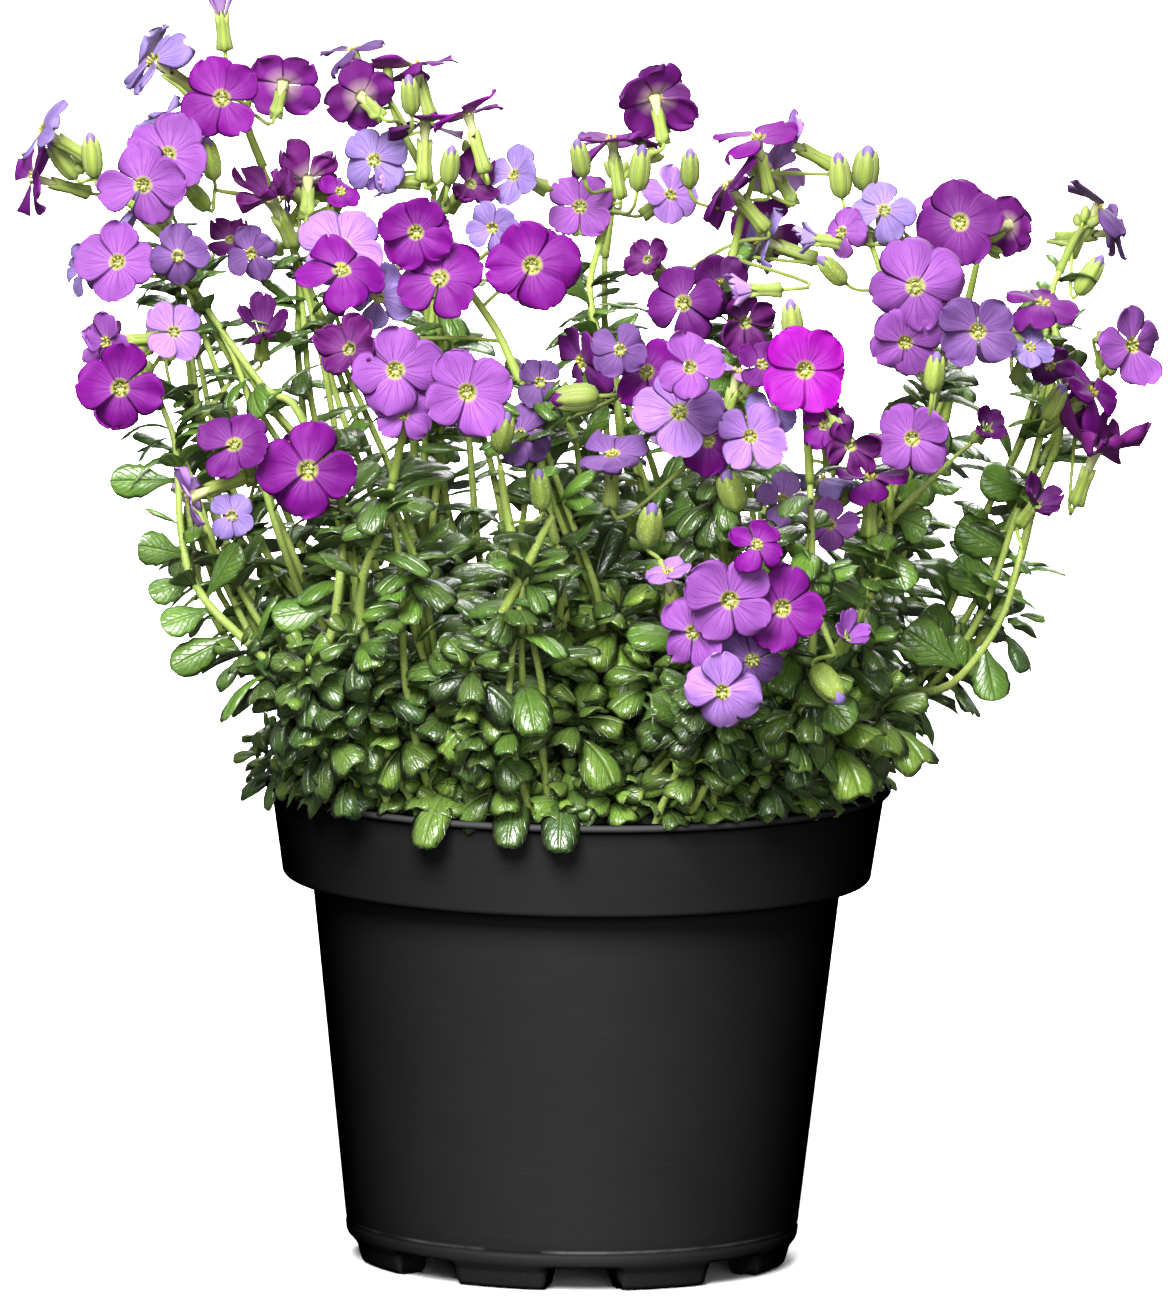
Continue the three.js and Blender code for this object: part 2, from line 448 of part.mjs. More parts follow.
// Leaves on the flowering stems: base and tip in the picture, depth, width, and how far the
// blade's upper side turns towards the viewer.
const STEM_LEAVES = [
  { stem: 'left_leafy', base: [178, 478], tip: [108, 482], depth: -32, width: 7, turn: 0.9 },
  { stem: 'left_leafy', base: [186, 552], tip: [138, 546], depth: -38, width: 7, turn: 0.9 },
  { stem: 'left_leafy', base: [192, 578], tip: [148, 590], depth: -40, width: 6, turn: 0.6 },
  { stem: 'left_leafy', base: [206, 600], tip: [232, 540], depth: -40, width: 7, turn: 0.6 },
  { stem: 'left_leafy', base: [214, 612], tip: [160, 622], depth: -42, width: 7, turn: 0.6 },
  { stem: 'left_leafy', base: [232, 632], tip: [168, 668], depth: -42, width: 7, turn: 0.8 },
  { stem: 'left_nodding', base: [336, 610], tip: [270, 612], depth: -54, width: 8, turn: 0.6 },
  { stem: 'left_nodding', base: [330, 660], tip: [372, 618], depth: -54, width: 6, turn: 0.7 },
  { stem: 'middle', base: [576, 450], tip: [600, 400], depth: -36, width: 7, turn: 0.5 },
  { stem: 'middle', base: [592, 540], tip: [560, 500], depth: -32, width: 6, turn: 0.5 },
  { stem: 'forked', base: [590, 302], tip: [570, 250], depth: -6, width: 10, turn: 0.5 },
  { stem: 'heart', base: [726, 520], tip: [690, 530], depth: -58, width: 6, turn: 0.6 },
  { stem: 'right_inner', base: [880, 570], tip: [845, 560], depth: -26, width: 6, turn: 0.7 },
  { stem: 'right_outer', base: [1000, 608], tip: [958, 560], depth: -10, width: 9, turn: 0.8 },
  { stem: 'right_outer', base: [1018, 560], tip: [960, 522], depth: -10, width: 9, turn: 0.8 },
  { stem: 'right_outer', base: [965, 655], tip: [925, 612], depth: -8, width: 9, turn: 0.8 },
  { stem: 'right_outer', base: [1036, 500], tip: [985, 470], depth: -10, width: 8, turn: 0.7 },
  { stem: 'right_outer', base: [985, 650], tip: [1000, 700], depth: -26, width: 8, turn: 0.4 },
  { stem: 'right_outer', base: [960, 672], tip: [905, 630], depth: -24, width: 10, turn: 0.9 },
  { stem: 'right_short', base: [872, 590], tip: [850, 650], depth: -46, width: 9, turn: 0.9 },
  { stem: 'right_short', base: [886, 545], tip: [905, 590], depth: -44, width: 8, turn: 0.9 },
  { stem: 'right_short', base: [890, 505], tip: [925, 530], depth: -42, width: 8, turn: 0.9 },
  { stem: 'bright', base: [806, 690], tip: [850, 728], depth: -64, width: 9, turn: 0.9 },
  { stem: 'front', base: [706, 715], tip: [650, 700], depth: -66, width: 8, turn: 0.6 },
  { stem: 'cut_front', base: [484, 668], tip: [440, 640], depth: -64, width: 7, turn: 0.7 },
  { stem: 'cut_front', base: [508, 602], tip: [555, 590], depth: -66, width: 6, turn: 0.7 },
];

// Leaves of the cushion that hang over the front of the lip: bearing in degrees, and width.
const HANGING_LEAVES = [[-117, 8], [-102, 7.5], [-92, 7]];

// Closed body of a geometry.
function solid(geometry) {
  const bare = geometry.index ? geometry.toNonIndexed() : geometry.clone();
  bare.deleteAttribute('normal');
  bare.deleteAttribute('uv');
  const merged = mergeVertices(bare, 1e-4);
  return new wasm.Manifold(new wasm.Mesh({
    numProp: 3,
    vertProperties: new Float32Array(merged.attributes.position.array),
    triVerts: new Uint32Array(merged.index.array),
  }));
}

// Body from corner points and a list of faces, each three corner numbers.
function solidFromFaces(points, faces) {
  const vertProperties = new Float32Array(points.length * 3);
  points.forEach((p, i) => p.toArray(vertProperties, i * 3));
  return new wasm.Manifold(new wasm.Mesh({
    numProp: 3, vertProperties, triVerts: new Uint32Array(faces.flat()),
  }));
}

function join(bodies) {
  return wasm.Manifold.union(bodies);
}

// The largest connected body of a solid. Scraps are dropped, and anything larger is a fault.
function wholeBody(body, name) {
  const [whole, ...rest] = body.decompose().sort((a, b) => b.volume() - a.volume());
  if (rest.some((piece) => piece.volume() > SCRAP_VOLUME)) throw new Error(`${name} has come loose`);
  return whole;
}

// Two unit vectors square to an axis.
function crossAxes(axis) {
  const helper = Math.abs(axis.z) < 0.9 ? new THREE.Vector3(0, 0, 1) : new THREE.Vector3(1, 0, 0);
  const first = new THREE.Vector3().crossVectors(axis, helper).normalize();
  const second = new THREE.Vector3().crossVectors(axis, first).normalize();
  return [first, second];
}

// Tube through a list of centres, with a radius at each and flat ends. The cross-section is
// carried along so that it doesn't twist.
function tube(centres, radii, sides) {
  const points = [];
  const faces = [];
  let first = null;
  centres.forEach((centre, i) => {
    const before = centres[Math.max(0, i - 1)];
    const after = centres[Math.min(centres.length - 1, i + 1)];
    const along = after.clone().sub(before).normalize();
    if (!first) first = crossAxes(along)[0];
    first.addScaledVector(along, -first.dot(along)).normalize();
    const second = new THREE.Vector3().crossVectors(along, first);
    for (let k = 0; k < sides; k += 1) {
      const angle = (2 * Math.PI * k) / sides;
      points.push(centre.clone()
        .addScaledVector(first, radii[i] * Math.cos(angle))
        .addScaledVector(second, radii[i] * Math.sin(angle)));
    }
  });
  for (let i = 0; i + 1 < centres.length; i += 1) {
    for (let k = 0; k < sides; k += 1) {
      const a = i * sides + k;
      const b = i * sides + ((k + 1) % sides);
      faces.push([a, b, b + sides], [a, b + sides, a + sides]);
    }
  }
  const last = (centres.length - 1) * sides;
  for (let k = 1; k + 1 < sides; k += 1) {
    faces.push([0, k + 1, k], [last, last + k, last + k + 1]);
  }
  return solidFromFaces(points, faces);
}

// Leaf blade: a toothed outline with a raised midrib above and a keel below, so that it is
// thick in the middle and sharp at the edge. It arches down towards its tip.
const LEAF_OUTLINE = [[-0.14, 0], [0.46, 0.5], [0.62, 0.34], [1, 0]];
const LEAF_THICKNESS = 0.9;
function leafBlade(base, along, upper, length, width, arch) {
  const side = new THREE.Vector3().crossVectors(upper, along).normalize();
  const face = new THREE.Vector3().crossVectors(along, side).normalize();
  const place = (u, v, w) => base.clone()
    .addScaledVector(along, u * length)
    .addScaledVector(side, v * width)
    .addScaledVector(face, w - arch * length * u * u - 0.25 * width * v * v);
  const right = LEAF_OUTLINE.map(([u, v]) => place(u, v, 0));
  const left = LEAF_OUTLINE.slice(1, -1).reverse().map(([u, v]) => place(u, -v, 0));
  const outline = [...right, ...left];
  const count = outline.length;
  const rib = place(0.5, 0, LEAF_THICKNESS / 2);
  const keel = place(0.5, 0, -LEAF_THICKNESS / 2);
  const points = [...outline, rib, keel];
  const faces = [];
  for (let i = 0; i < count; i += 1) {
    const next = (i + 1) % count;
    faces.push([next, i, count], [i, next, count + 1]);
  }
  return solidFromFaces(points, faces);
}

// A bloom: a limb of four broad petals with notches between them, dished to the throat, on a
// tube that widens to the calyx, which narrows to its pedicel. Limb and stalk can be had apart.
// grow makes them larger all round, for the room that neighbours leave them.
const PETAL_OUTLINE = [[-45, 0.56, -0.03], [-23, 0.98, 0.05], [23, 0.98, 0]];
const SPARE_OUTLINE = [[-45, 0.62, 0.05], [0, 1, 0]];
const STALK_SIDES = 3;
function petalRing(outline) {
  return [0, 90, 180, 270].flatMap((turn) => (
    outline.map(([degrees, reach, rise]) => [degrees + turn, reach, rise])));
}

// Ring of points square to a normal; first is the direction that its first point lies in.
function stalkRing(centre, normal, first, radius, sides) {
  const across = first.clone().addScaledVector(normal, -first.dot(normal)).normalize();
  const other = new THREE.Vector3().crossVectors(normal, across);
  return Array.from({ length: sides }, (unused, k) => {
    const angle = (2 * Math.PI * k) / sides;
    return centre.clone()
      .addScaledVector(across, radius * Math.cos(angle))
      .addScaledVector(other, radius * Math.sin(angle));
  });
}

function joinRings(faces, upper, lower, sides) {
  for (let k = 0; k < sides; k += 1) {
    const next = (k + 1) % sides;
    faces.push([upper + next, upper + k, lower + k], [upper + next, lower + k, lower + next]);
  }
}

function closeRing(faces, ring, upwards, sides) {
  for (let k = 1; k + 1 < sides; k += 1) {
    faces.push(upwards ? [ring, ring + k, ring + k + 1] : [ring, ring + k + 1, ring + k]);
  }
}

function flowerBody(flower, { limb, stalk }, grow = 0) {
  const { axis, spin } = flower;
  const sides = STALK_SIDES;
  const points = [];
  const faces = [];
  const along = (height) => flower.throat.clone().addScaledVector(axis, height);
  const [first, second] = crossAxes(axis);
  const lead = first.clone().multiplyScalar(Math.cos(spin)).addScaledVector(second, Math.sin(spin));
  const addRing = (centre, radius, normal = axis) => {
    points.push(...stalkRing(centre, normal, lead, radius + grow, sides));
    return points.length - sides;
  };
  let last = -1;
  if (limb) {
    const radius = flower.radius + grow;
    const outline = flower.spare ? SPARE_OUTLINE : PETAL_OUTLINE;
    petalRing(outline).forEach(([degrees, reach, rise]) => {
      const angle = spin + THREE.MathUtils.degToRad(degrees);
      points.push(along((flower.cup + rise) * radius)
        .addScaledVector(first, radius * reach * Math.cos(angle))
        .addScaledVector(second, radius * reach * Math.sin(angle)));
    });
    const rim = points.length;
    points.push(along(grow));
    const ring = addRing(along(-LIMB_THICKNESS - grow), TUBE_RADIUS);
    const ringUnder = (i) => ring + Math.floor(((i % rim) * sides) / rim);
    for (let i = 0; i < rim; i += 1) {
      const next = (i + 1) % rim;
      faces.push([i, next, rim], [next, i, ringUnder(i)]);
      if (ringUnder(next) !== ringUnder(i)) faces.push([next, ringUnder(i), ringUnder(next)]);
    }
    last = ring;
    if (!stalk) {
      const end = addRing(along(-TUBE_LENGTH - 1), TUBE_RADIUS);
      joinRings(faces, ring, end, sides);
      closeRing(faces, end, false, sides);
    }
  }
  if (stalk) {
    const top = addRing(along(-TUBE_LENGTH), CALYX_RADIUS);
    if (limb) joinRings(faces, last, top, sides);
    else closeRing(faces, top, true, sides);
    const foot = along(-TUBE_LENGTH - CALYX_LENGTH);
    const rise = foot.clone().sub(flower.start).normalize();
    const bend = rise.clone().add(axis).normalize();
    const base = addRing(foot, CALYX_FOOT_RADIUS, bend);
    lead.addScaledVector(bend, -lead.dot(bend)).normalize();
    const start = addRing(flower.start, PEDICEL_RADIUS, rise);
    joinRings(faces, top, base, sides);
    joinRings(faces, base, start, sides);
    closeRing(faces, start, false, sides);
  }
  return solidFromFaces(points, faces);
}

// Every bloom with its place in space. A far raceme mirrors the facing of the one before it.
const RACEME_REACH = 4;
const SMALL_LIMB = 56;
const draw = randomSource(7);
function placeBloom(source, depth, away) {
  const axis = source.facing.clone();
  if (away) axis.y = -axis.y;
  const withered = source.tone === 'withered';
  return {
    throat: photoPoint(source.px, source.py, depth + RACEME_REACH * axis.y + source.behind),
    axis,
    radius: (source.across / 2 / PIXELS_PER_MM) * (away ? TWIN_SHRINK : 1),
    cup: withered ? 0.5 : 0.06 + 0.14 * draw(),
    spin: (Math.PI / 2) * draw(),
    tone: source.tone,
    spare: away || withered || source.across < SMALL_LIMB,
  };
}

const racemes = RACEMES.map((raceme) => ({
  name: raceme.name,
  stem: raceme.stem,
  rachis: raceme.rachis,
  flowers: raceme.blooms.map((source) => placeBloom(source, raceme.depth, false)),
}));
FAR_RACEMES.forEach((far) => {
  const near = RACEMES.find((raceme) => raceme.name === far.of);
  racemes.push({
    name: far.name,
    stem: far.stem,
    rachis: far.rachis,
    flowers: near.blooms.slice(0, far.count).map((source) => placeBloom(source, far.depth, true)),
  });
});
const allFlowers = racemes.flatMap((raceme) => raceme.flowers);

// Routes of a stem in space: the first one starts in its hole in the soil.
function stemRoutes(stem) {
  const foot = new THREE.Vector3(stem.foot[0], stem.foot[1], SOIL_TOP - STEM_DEPTH_IN_SOIL);
  return stem.routes.map((route, i) => {
    const points = route.map(([px, py, depth]) => photoPoint(px, py, depth));
    return i === 0 ? [foot, ...points] : points;
  });
}

// Rachis of a raceme: it starts just off its stem.
const RACHIS_RADIUS = 1.15;
const RACHIS_FOOT = 3;
function rachisRoute(raceme) {
  const points = raceme.rachis.map(([px, py, depth]) => photoPoint(px, py, depth));
  const away = points[1].clone().sub(points[0]).normalize();
  points[0].addScaledVector(away, CLEARANCE + 0.4);
  return points;
}

// Stretches of stem, rachis and pedicel that are laid already, each with the node it is in.
const laid = [];
function lay(node, points, radius) {
  for (let i = 0; i + 1 < points.length; i += 1) {
    laid.push({ node, from: points[i], to: points[i + 1], radius });
  }
}
function distanceToStretch(point, stretch) {
  const whole = stretch.to.clone().sub(stretch.from);
  const share = point.clone().sub(stretch.from).dot(whole) / whole.lengthSq();
  const spot = stretch.from.clone().addScaledVector(whole, Math.min(1, Math.max(0, share)));
  return spot.distanceTo(point);
}

STEMS.forEach((stem) => {
  stemRoutes(stem).forEach((route) => lay(`stem_${stem.name}`, route, stem.radius));
});
racemes.forEach((raceme) => {
  raceme.route = rachisRoute(raceme);
  lay(`raceme_${raceme.name}`, raceme.route, RACHIS_RADIUS);
});

// Limbs settle apart: each one moves nearer or farther along the line of sight until it
// crosses none of those before it.
const SETTLE_STEP = 1.2;
const SETTLE_TRIES = 24;
const LIMB_SPACE = 1.7;
const STEM_SPACE = 2.2;
const LIMB_EDGE = 1.05;
const SAMPLE_DIRECTIONS = 12;
const SAMPLE_SPACING = 1.5;
function limbSamples(flower) {
  const [first, second] = crossAxes(flower.axis);
  const samples = [flower.throat.clone()];
  for (let k = 0; k < SAMPLE_DIRECTIONS; k += 1) {
    const angle = (2 * Math.PI * k) / SAMPLE_DIRECTIONS;
    const reach = flower.radius * (k % 3 === 0 ? 0.5 : 0.95);
    samples.push(flower.throat.clone()
      .addScaledVector(first, reach * Math.cos(angle))
      .addScaledVector(second, reach * Math.sin(angle))
      .addScaledVector(flower.axis, flower.cup * reach));
  }
  return samples;
}
function limbReaches(samples, flower, space) {
  return samples.some((sample) => {
    const away = sample.clone().sub(flower.throat);
    const height = away.dot(flower.axis);
    away.addScaledVector(flower.axis, -height);
    const across = away.length();
    return across < flower.radius * LIMB_EDGE && Math.abs(height - flower.cup * across) < space;
  });
}
function calyxSamples(flower) {
  return [0.9, 1.6, 2.3].map((share) => (
    flower.throat.clone().addScaledVector(flower.axis, -share * TUBE_LENGTH)));
}
function limbsMeet(a, b) {
  if (a.throat.distanceTo(b.throat) > a.radius + b.radius + TUBE_LENGTH + CALYX_LENGTH) return false;
  return limbReaches(limbSamples(a), b, LIMB_SPACE) || limbReaches(limbSamples(b), a, LIMB_SPACE)
    || limbReaches(calyxSamples(a), b, CALYX_RADIUS + 1)
    || limbReaches(calyxSamples(b), a, CALYX_RADIUS + 1);
}
const laidSamples = laid.flatMap((stretch) => {
  const steps = Math.ceil(stretch.from.distanceTo(stretch.to) / SAMPLE_SPACING);
  return Array.from({ length: steps + 1 }, (unused, k) => (
    stretch.from.clone().lerp(stretch.to, k / steps)));
});
const settled = [];
function isFree(flower) {
  return !settled.some((other) => limbsMeet(flower, other))
    && !limbReaches(laidSamples, flower, STEM_SPACE);
}
allFlowers.forEach((flower) => {
  const start = flower.throat.clone();
  const sight = start.clone().sub(VIEW_EYE).normalize();
  for (let attempt = 0; attempt <= SETTLE_TRIES; attempt += 1) {
    const side = attempt % 2 === 0 ? 1 : -1;
    flower.throat.copy(start).addScaledVector(sight, side * Math.ceil(attempt / 2) * SETTLE_STEP);
    if (isFree(flower)) break;
    if (attempt === SETTLE_TRIES) flower.throat.copy(start);
  }
  settled.push(flower);
});

// Where a pedicel leaves its rachis: the spot that is near the calyx, a little below it, and
// from which the straight way to it passes no limb of another bloom and no other stem.
const ATTACH_STEP = 1.5;
const WAY_STEPS = 8;
const RISE_MARGIN = 2;
const LIMB_PENALTY = 6;
const STALK_PENALTY = 30;
const FELLOW_PENALTY = 2.5;
const LIMB_ABOVE = 1.4;
const LIMB_BELOW = 1.8;
const LIMB_SHARE = 0.9;
function inLimb(point, own) {
  return allFlowers.some((flower) => {
    if (flower === own) return false;
    const away = point.clone().sub(flower.throat);
    const height = away.dot(flower.axis);
    if (height > LIMB_ABOVE || height < -LIMB_BELOW) return false;
    return away.addScaledVector(flower.axis, -height).length() < flower.radius * LIMB_SHARE;
  });
}
function isNearStretch(point, stretch) {
  return distanceToStretch(point, stretch) < stretch.radius + CALYX_FOOT_RADIUS + CLEARANCE;
}
function inOtherStalk(point, node) {
  return laid.some((stretch) => stretch.node !== node && isNearStretch(point, stretch));
}
function inFellowStalk(point, node) {
  return laid.some((stretch) => stretch.node === node && stretch.radius !== RACHIS_RADIUS
    && isNearStretch(point, stretch));
}
function attachPoint(node, routes, target, own) {
  let best = null;
  let bestCost = Infinity;
  routes.forEach((route) => {
    for (let i = 0; i + 1 < route.length; i += 1) {
      const steps = Math.max(1, Math.round(route[i].distanceTo(route[i + 1]) / ATTACH_STEP));
      for (let k = 0; k <= steps; k += 1) {
        const spot = route[i].clone().lerp(route[i + 1], k / steps);
        let cost = spot.distanceTo(target) + 0.5 * Math.max(0, spot.z + RISE_MARGIN - target.z);
        for (let step = 1; step < WAY_STEPS; step += 1) {
          const point = spot.clone().lerp(target, step / WAY_STEPS);
          if (inLimb(point, own)) cost += LIMB_PENALTY;
          if (inOtherStalk(point, node)) cost += STALK_PENALTY;
          if (inFellowStalk(point, node)) cost += FELLOW_PENALTY;
        }
        if (cost < bestCost) {
          bestCost = cost;
          best = spot;
        }
      }
    }
  });
  return best;
}

// Closed bud or withered head: a slim spindle on a pedicel.
function budsOn(node) {
  return BUDS.filter((bud) => bud.on === node);
}
function placeBud(bud, routes) {
  const axis = new THREE.Vector3(bud.right, -bud.toward, bud.up).normalize();
  bud.middle = photoPoint(bud.px, bud.py, bud.depth);
  bud.base = bud.middle.clone().addScaledVector(axis, -bud.length / 2);
  bud.tip = bud.middle.clone().addScaledVector(axis, bud.length / 2);
  bud.start = attachPoint(bud.on, routes, bud.base, null);
  lay(bud.on, [bud.start, bud.base], PEDICEL_RADIUS);
  lay(bud.on, [bud.base, bud.tip], bud.radius);
}
function budBody(bud, grow) {
  return tube([bud.start, bud.base, bud.middle, bud.tip],
    [PEDICEL_RADIUS, PEDICEL_RADIUS, bud.radius, 0.5 * bud.radius].map((r) => r + grow),
    STALK_SIDES);
}

// The pieces of one stem, each as a body of its own: routes and buds.
const STEM_SIDES = 4;
function stemParts(stem, grow) {
  const routes = stemRoutes(stem);
  const parts = routes.map((route) => {
    const radii = route.map((point, i) => grow + stem.radius * (1 - (0.4 * i) / route.length));
    return tube(route, radii, STEM_SIDES);
  });
  budsOn(`stem_${stem.name}`).forEach((bud) => parts.push(budBody(bud, grow)));
  return parts;
}

function nearestOnRoutes(routes, target) {
  let best = routes[0][0];
  routes.forEach((route) => {
    for (let i = 0; i + 1 < route.length; i += 1) {
      for (let k = 0; k <= 12; k += 1) {
        const spot = route[i].clone().lerp(route[i + 1], k / 12);
        if (spot.distanceTo(target) < best.distanceTo(target)) best = spot;
      }
    }
  });
  return best;
}

// The leaves of a stem: each swings towards the viewer or away until it touches no neighbour.
const LEAF_SWINGS = [-3, 1, -7, 5, -11, 9];
const LEAF_ARCH = 0.12;
function stemLeaf(routes, leaf, swing) {
  const base = nearestOnRoutes(routes, photoPoint(...leaf.base, leaf.depth));
  const tip = photoPoint(...leaf.tip, leaf.depth + swing);
  const along = tip.clone().sub(base);
  const length = along.length();
  along.normalize();
  const up = new THREE.Vector3(0, 0, 1).addScaledVector(along, -along.z).normalize();
  const toViewer = new THREE.Vector3(0, -1, 0);
  const upper = up.multiplyScalar(1 - leaf.turn).addScaledVector(toViewer, leaf.turn).normalize();
  return leafBlade(base, along, upper, length, leaf.width, LEAF_ARCH);
}
function stemLeaves(stem, rooms) {
  const routes = stemRoutes(stem);
  return STEM_LEAVES.filter((leaf) => leaf.stem === stem.name).map((leaf) => {
    const blades = LEAF_SWINGS.map((swing) => stemLeaf(routes, leaf, swing));
    return blades.find((blade) => cutClear(blade, rooms) === blade) ?? cutClear(blades[0], rooms);
  });
}

// Do two bodies come near each other?
function near(a, b) {
  const p = a.boundingBox();
  const q = b.boundingBox();
  return [0, 1, 2].every((i) => p.min[i] < q.max[i] && q.min[i] < p.max[i]);
}

// A body less those of the given ones that really reach into it.
function cutClear(body, rooms) {
  const reaching = rooms.filter((room) => near(body, room) && body.intersect(room).volume() > 1e-4);
  return reaching.length ? body.subtract(join(reaching)) : body;
}

// Pot: the outer and inner profile turned about the axis, with the drainage notches cut out of
// the foot as wedges.
function lathe(profile, sides) {
  const points = profile.map(([r, z]) => new THREE.Vector2(r, z));
  const geometry = new THREE.LatheGeometry(points, sides);
  geometry.rotateX(Math.PI / 2);
  return solid(geometry);
}

function makePot() {
  const profile = [
    [0, UNDERSIDE_HEIGHT],
    [FOOT_INNER_RADIUS, UNDERSIDE_HEIGHT],
    [FOOT_INNER_RADIUS + FOOT_DRAFT, 0],
    [FOOT_RADIUS, 0],
    [FOOT_RADIUS + FOOT_DRAFT, BAND_HEIGHT / 2],
    [BODY_FOOT_RADIUS - CREASE_DEPTH, BAND_HEIGHT - CREASE_HALF],
    [BODY_FOOT_RADIUS, BAND_HEIGHT + CREASE_HALF],
    [BODY_TOP_RADIUS, COLLAR_FOOT_HEIGHT - COLLAR_ROUND],
    [COLLAR_FOOT_RADIUS - COLLAR_ROUND, COLLAR_FOOT_HEIGHT - COLLAR_ROUND],
    [COLLAR_FOOT_RADIUS, COLLAR_FOOT_HEIGHT],
    [COLLAR_TOP_RADIUS, POT_HEIGHT - LIP_DROP],
    [LIP_RADIUS, POT_HEIGHT - LIP_DROP],
    [LIP_RADIUS, POT_HEIGHT],
    [COLLAR_TOP_RADIUS - WALL, POT_HEIGHT],
    [COLLAR_FOOT_RADIUS - WALL, STEP_OUTER_HEIGHT],
    [BODY_TOP_RADIUS - WALL, STEP_INNER_HEIGHT],
    [BODY_FOOT_RADIUS - WALL, FLOOR_HEIGHT + FLOOR_DISH],
    [0, FLOOR_HEIGHT],
  ];
  const innerEnd = FOOT_INNER_RADIUS - NOTCH_RUN_IN;
  const outerEnd = FOOT_RADIUS + NOTCH_RUN_OUT;
  const wedge = new THREE.Shape([
    new THREE.Vector2(innerEnd, -NOTCH_INNER_WIDTH / 2),
    new THREE.Vector2(outerEnd, -NOTCH_OUTER_WIDTH / 2),
    new THREE.Vector2(outerEnd, NOTCH_OUTER_WIDTH / 2),
    new THREE.Vector2(innerEnd, NOTCH_INNER_WIDTH / 2),
  ]);
  const notches = [];
  for (let i = 0; i < NOTCHES; i += 1) {
    const depth = NOTCH_HEIGHT + NOTCH_BELOW;
    const cut = new THREE.ExtrudeGeometry(wedge, { depth, bevelEnabled: false });
    cut.translate(0, 0, -NOTCH_BELOW);
    cut.rotateZ(-Math.PI / 2 + (2 * Math.PI * i) / NOTCHES + NOTCH_TURN);
    notches.push(solid(cut));
  }
  return lathe(profile, POT_SIDES).subtract(join(notches));
}

// The soil fills the pot: it follows the inner wall with a gap all round.
function makeSoil() {
  const gap = CLEARANCE + 0.05;
  return lathe([
    [0, FLOOR_HEIGHT + gap],
    [BODY_FOOT_RADIUS - WALL - 2 * gap, FLOOR_HEIGHT + FLOOR_DISH + gap],
    [BODY_TOP_RADIUS - WALL - 2 * gap, STEP_INNER_HEIGHT + gap],
    [COLLAR_FOOT_RADIUS - WALL - 2 * gap, STEP_OUTER_HEIGHT + gap],
    [COLLAR_FOOT_RADIUS - WALL, SOIL_TOP],
    [0, SOIL_TOP],
  ], POT_SIDES / 2);
}

// Leaf cushion: a dome with leaves standing out of it in every direction, and a fringe of leaves
// that reaches over the pot's lip.
const DOME_EDGE = [[0, CUSHION_BASE], [53.5, CUSHION_BASE], [54.5, 92]];
const DOME_TOP = [[55, 98], [50, 110], [37, 121], [19, 127], [0, 124]];
function domePoint(share, angle) {
  const along = share * (DOME_TOP.length - 1);
  const i = Math.min(DOME_TOP.length - 2, Math.floor(along));
  const t = along - i;
  const r = DOME_TOP[i][0] * (1 - t) + DOME_TOP[i + 1][0] * t;
  const z = DOME_TOP[i][1] * (1 - t) + DOME_TOP[i + 1][1] * t;
  return new THREE.Vector3(r * Math.cos(angle), r * Math.sin(angle), z);
}

// Leaf that grows out over the lip: bearing, rise of its base, length, width and arch.
function lipLeaf(turn, rise, length, width, arch) {
  const outward = new THREE.Vector3(Math.cos(turn), Math.sin(turn), 0);
  const base = outward.clone().multiplyScalar(LIP_LEAF_FOOT_RADIUS).setZ(LIP_LEAF_FOOT_HEIGHT);
  const up = new THREE.Vector3(0, 0, 1);
  return leafBlade(base, outward.setZ(rise).normalize(), up, length, width, arch);
}

function makeCushion(rooms) {
  const grow = randomSource(21);
  const dome = lathe([...DOME_EDGE, ...DOME_TOP], CUSHION_SIDES);
  const leaves = [];
  const addLeaf = (tries) => {
    const free = tries.find((blade) => {
      const outside = blade.subtract(dome);
      return cutClear(outside, leaves) === outside && cutClear(blade, rooms) === blade;
    });
    if (free) leaves.push(free);
  };
  HANGING_LEAVES.forEach(([bearing, width]) => {
    const turn = THREE.MathUtils.degToRad(bearing);
    addLeaf([lipLeaf(turn, HANGING_RISE, LIP_LEAF_LENGTH, width, HANGING_ARCH)]);
  });
  for (let i = 0; i < LIP_LEAVES; i += 1) {
    const turn = (2 * Math.PI * (i + 0.3 * grow())) / LIP_LEAVES;
    const rise = 0.12 + 0.25 * grow();
    const length = LIP_LEAF_LENGTH + 2.5 * (grow() - 0.5);
    addLeaf(LIP_LEAF_SWINGS.map((swing) => (
      lipLeaf(turn + swing, rise, length, CUSHION_LEAF_WIDTH, LEAF_ARCH))));
  }
  const golden = Math.PI * (3 - Math.sqrt(5));
  for (let i = 0; i < CUSHION_LEAVES; i += 1) {
    const share = 1 - Math.sqrt((i + 0.5) / CUSHION_LEAVES);
    const centre = domePoint(share * DOME_LEAF_SHARE, i * golden);
    const outward = centre.clone().sub(new THREE.Vector3(0, 0, CUSHION_CENTRE_HEIGHT)).normalize();
    const [first, second] = crossAxes(outward);
    const turn = 2 * Math.PI * grow();
    const size = 0.85 + 0.4 * grow();
    const lift = 0.8 + 0.5 * grow();
    const base = centre.clone().addScaledVector(outward, -CUSHION_LEAF_SINK);
    addLeaf([0, 1, 2, 3, 4, 5].map((k) => {
      const angle = turn + (k * Math.PI) / 3;
      const along = first.clone().multiplyScalar(Math.cos(angle))
        .addScaledVector(second, Math.sin(angle))
        .addScaledVector(outward, lift).normalize();
      return leafBlade(base, along, outward, CUSHION_LEAF_LENGTH * size,
        CUSHION_LEAF_WIDTH * size, CUSHION_LEAF_ARCH);
    }));
  }
  return join([cutClear(dome, rooms), ...leaves]);
}

// Assembly: stems stand in plain holes in the soil and the cushion, and limbs are cut clear of
// the stems and calyces of their neighbours.
const model = new THREE.Group();
model.name = 'potted_aubrieta';

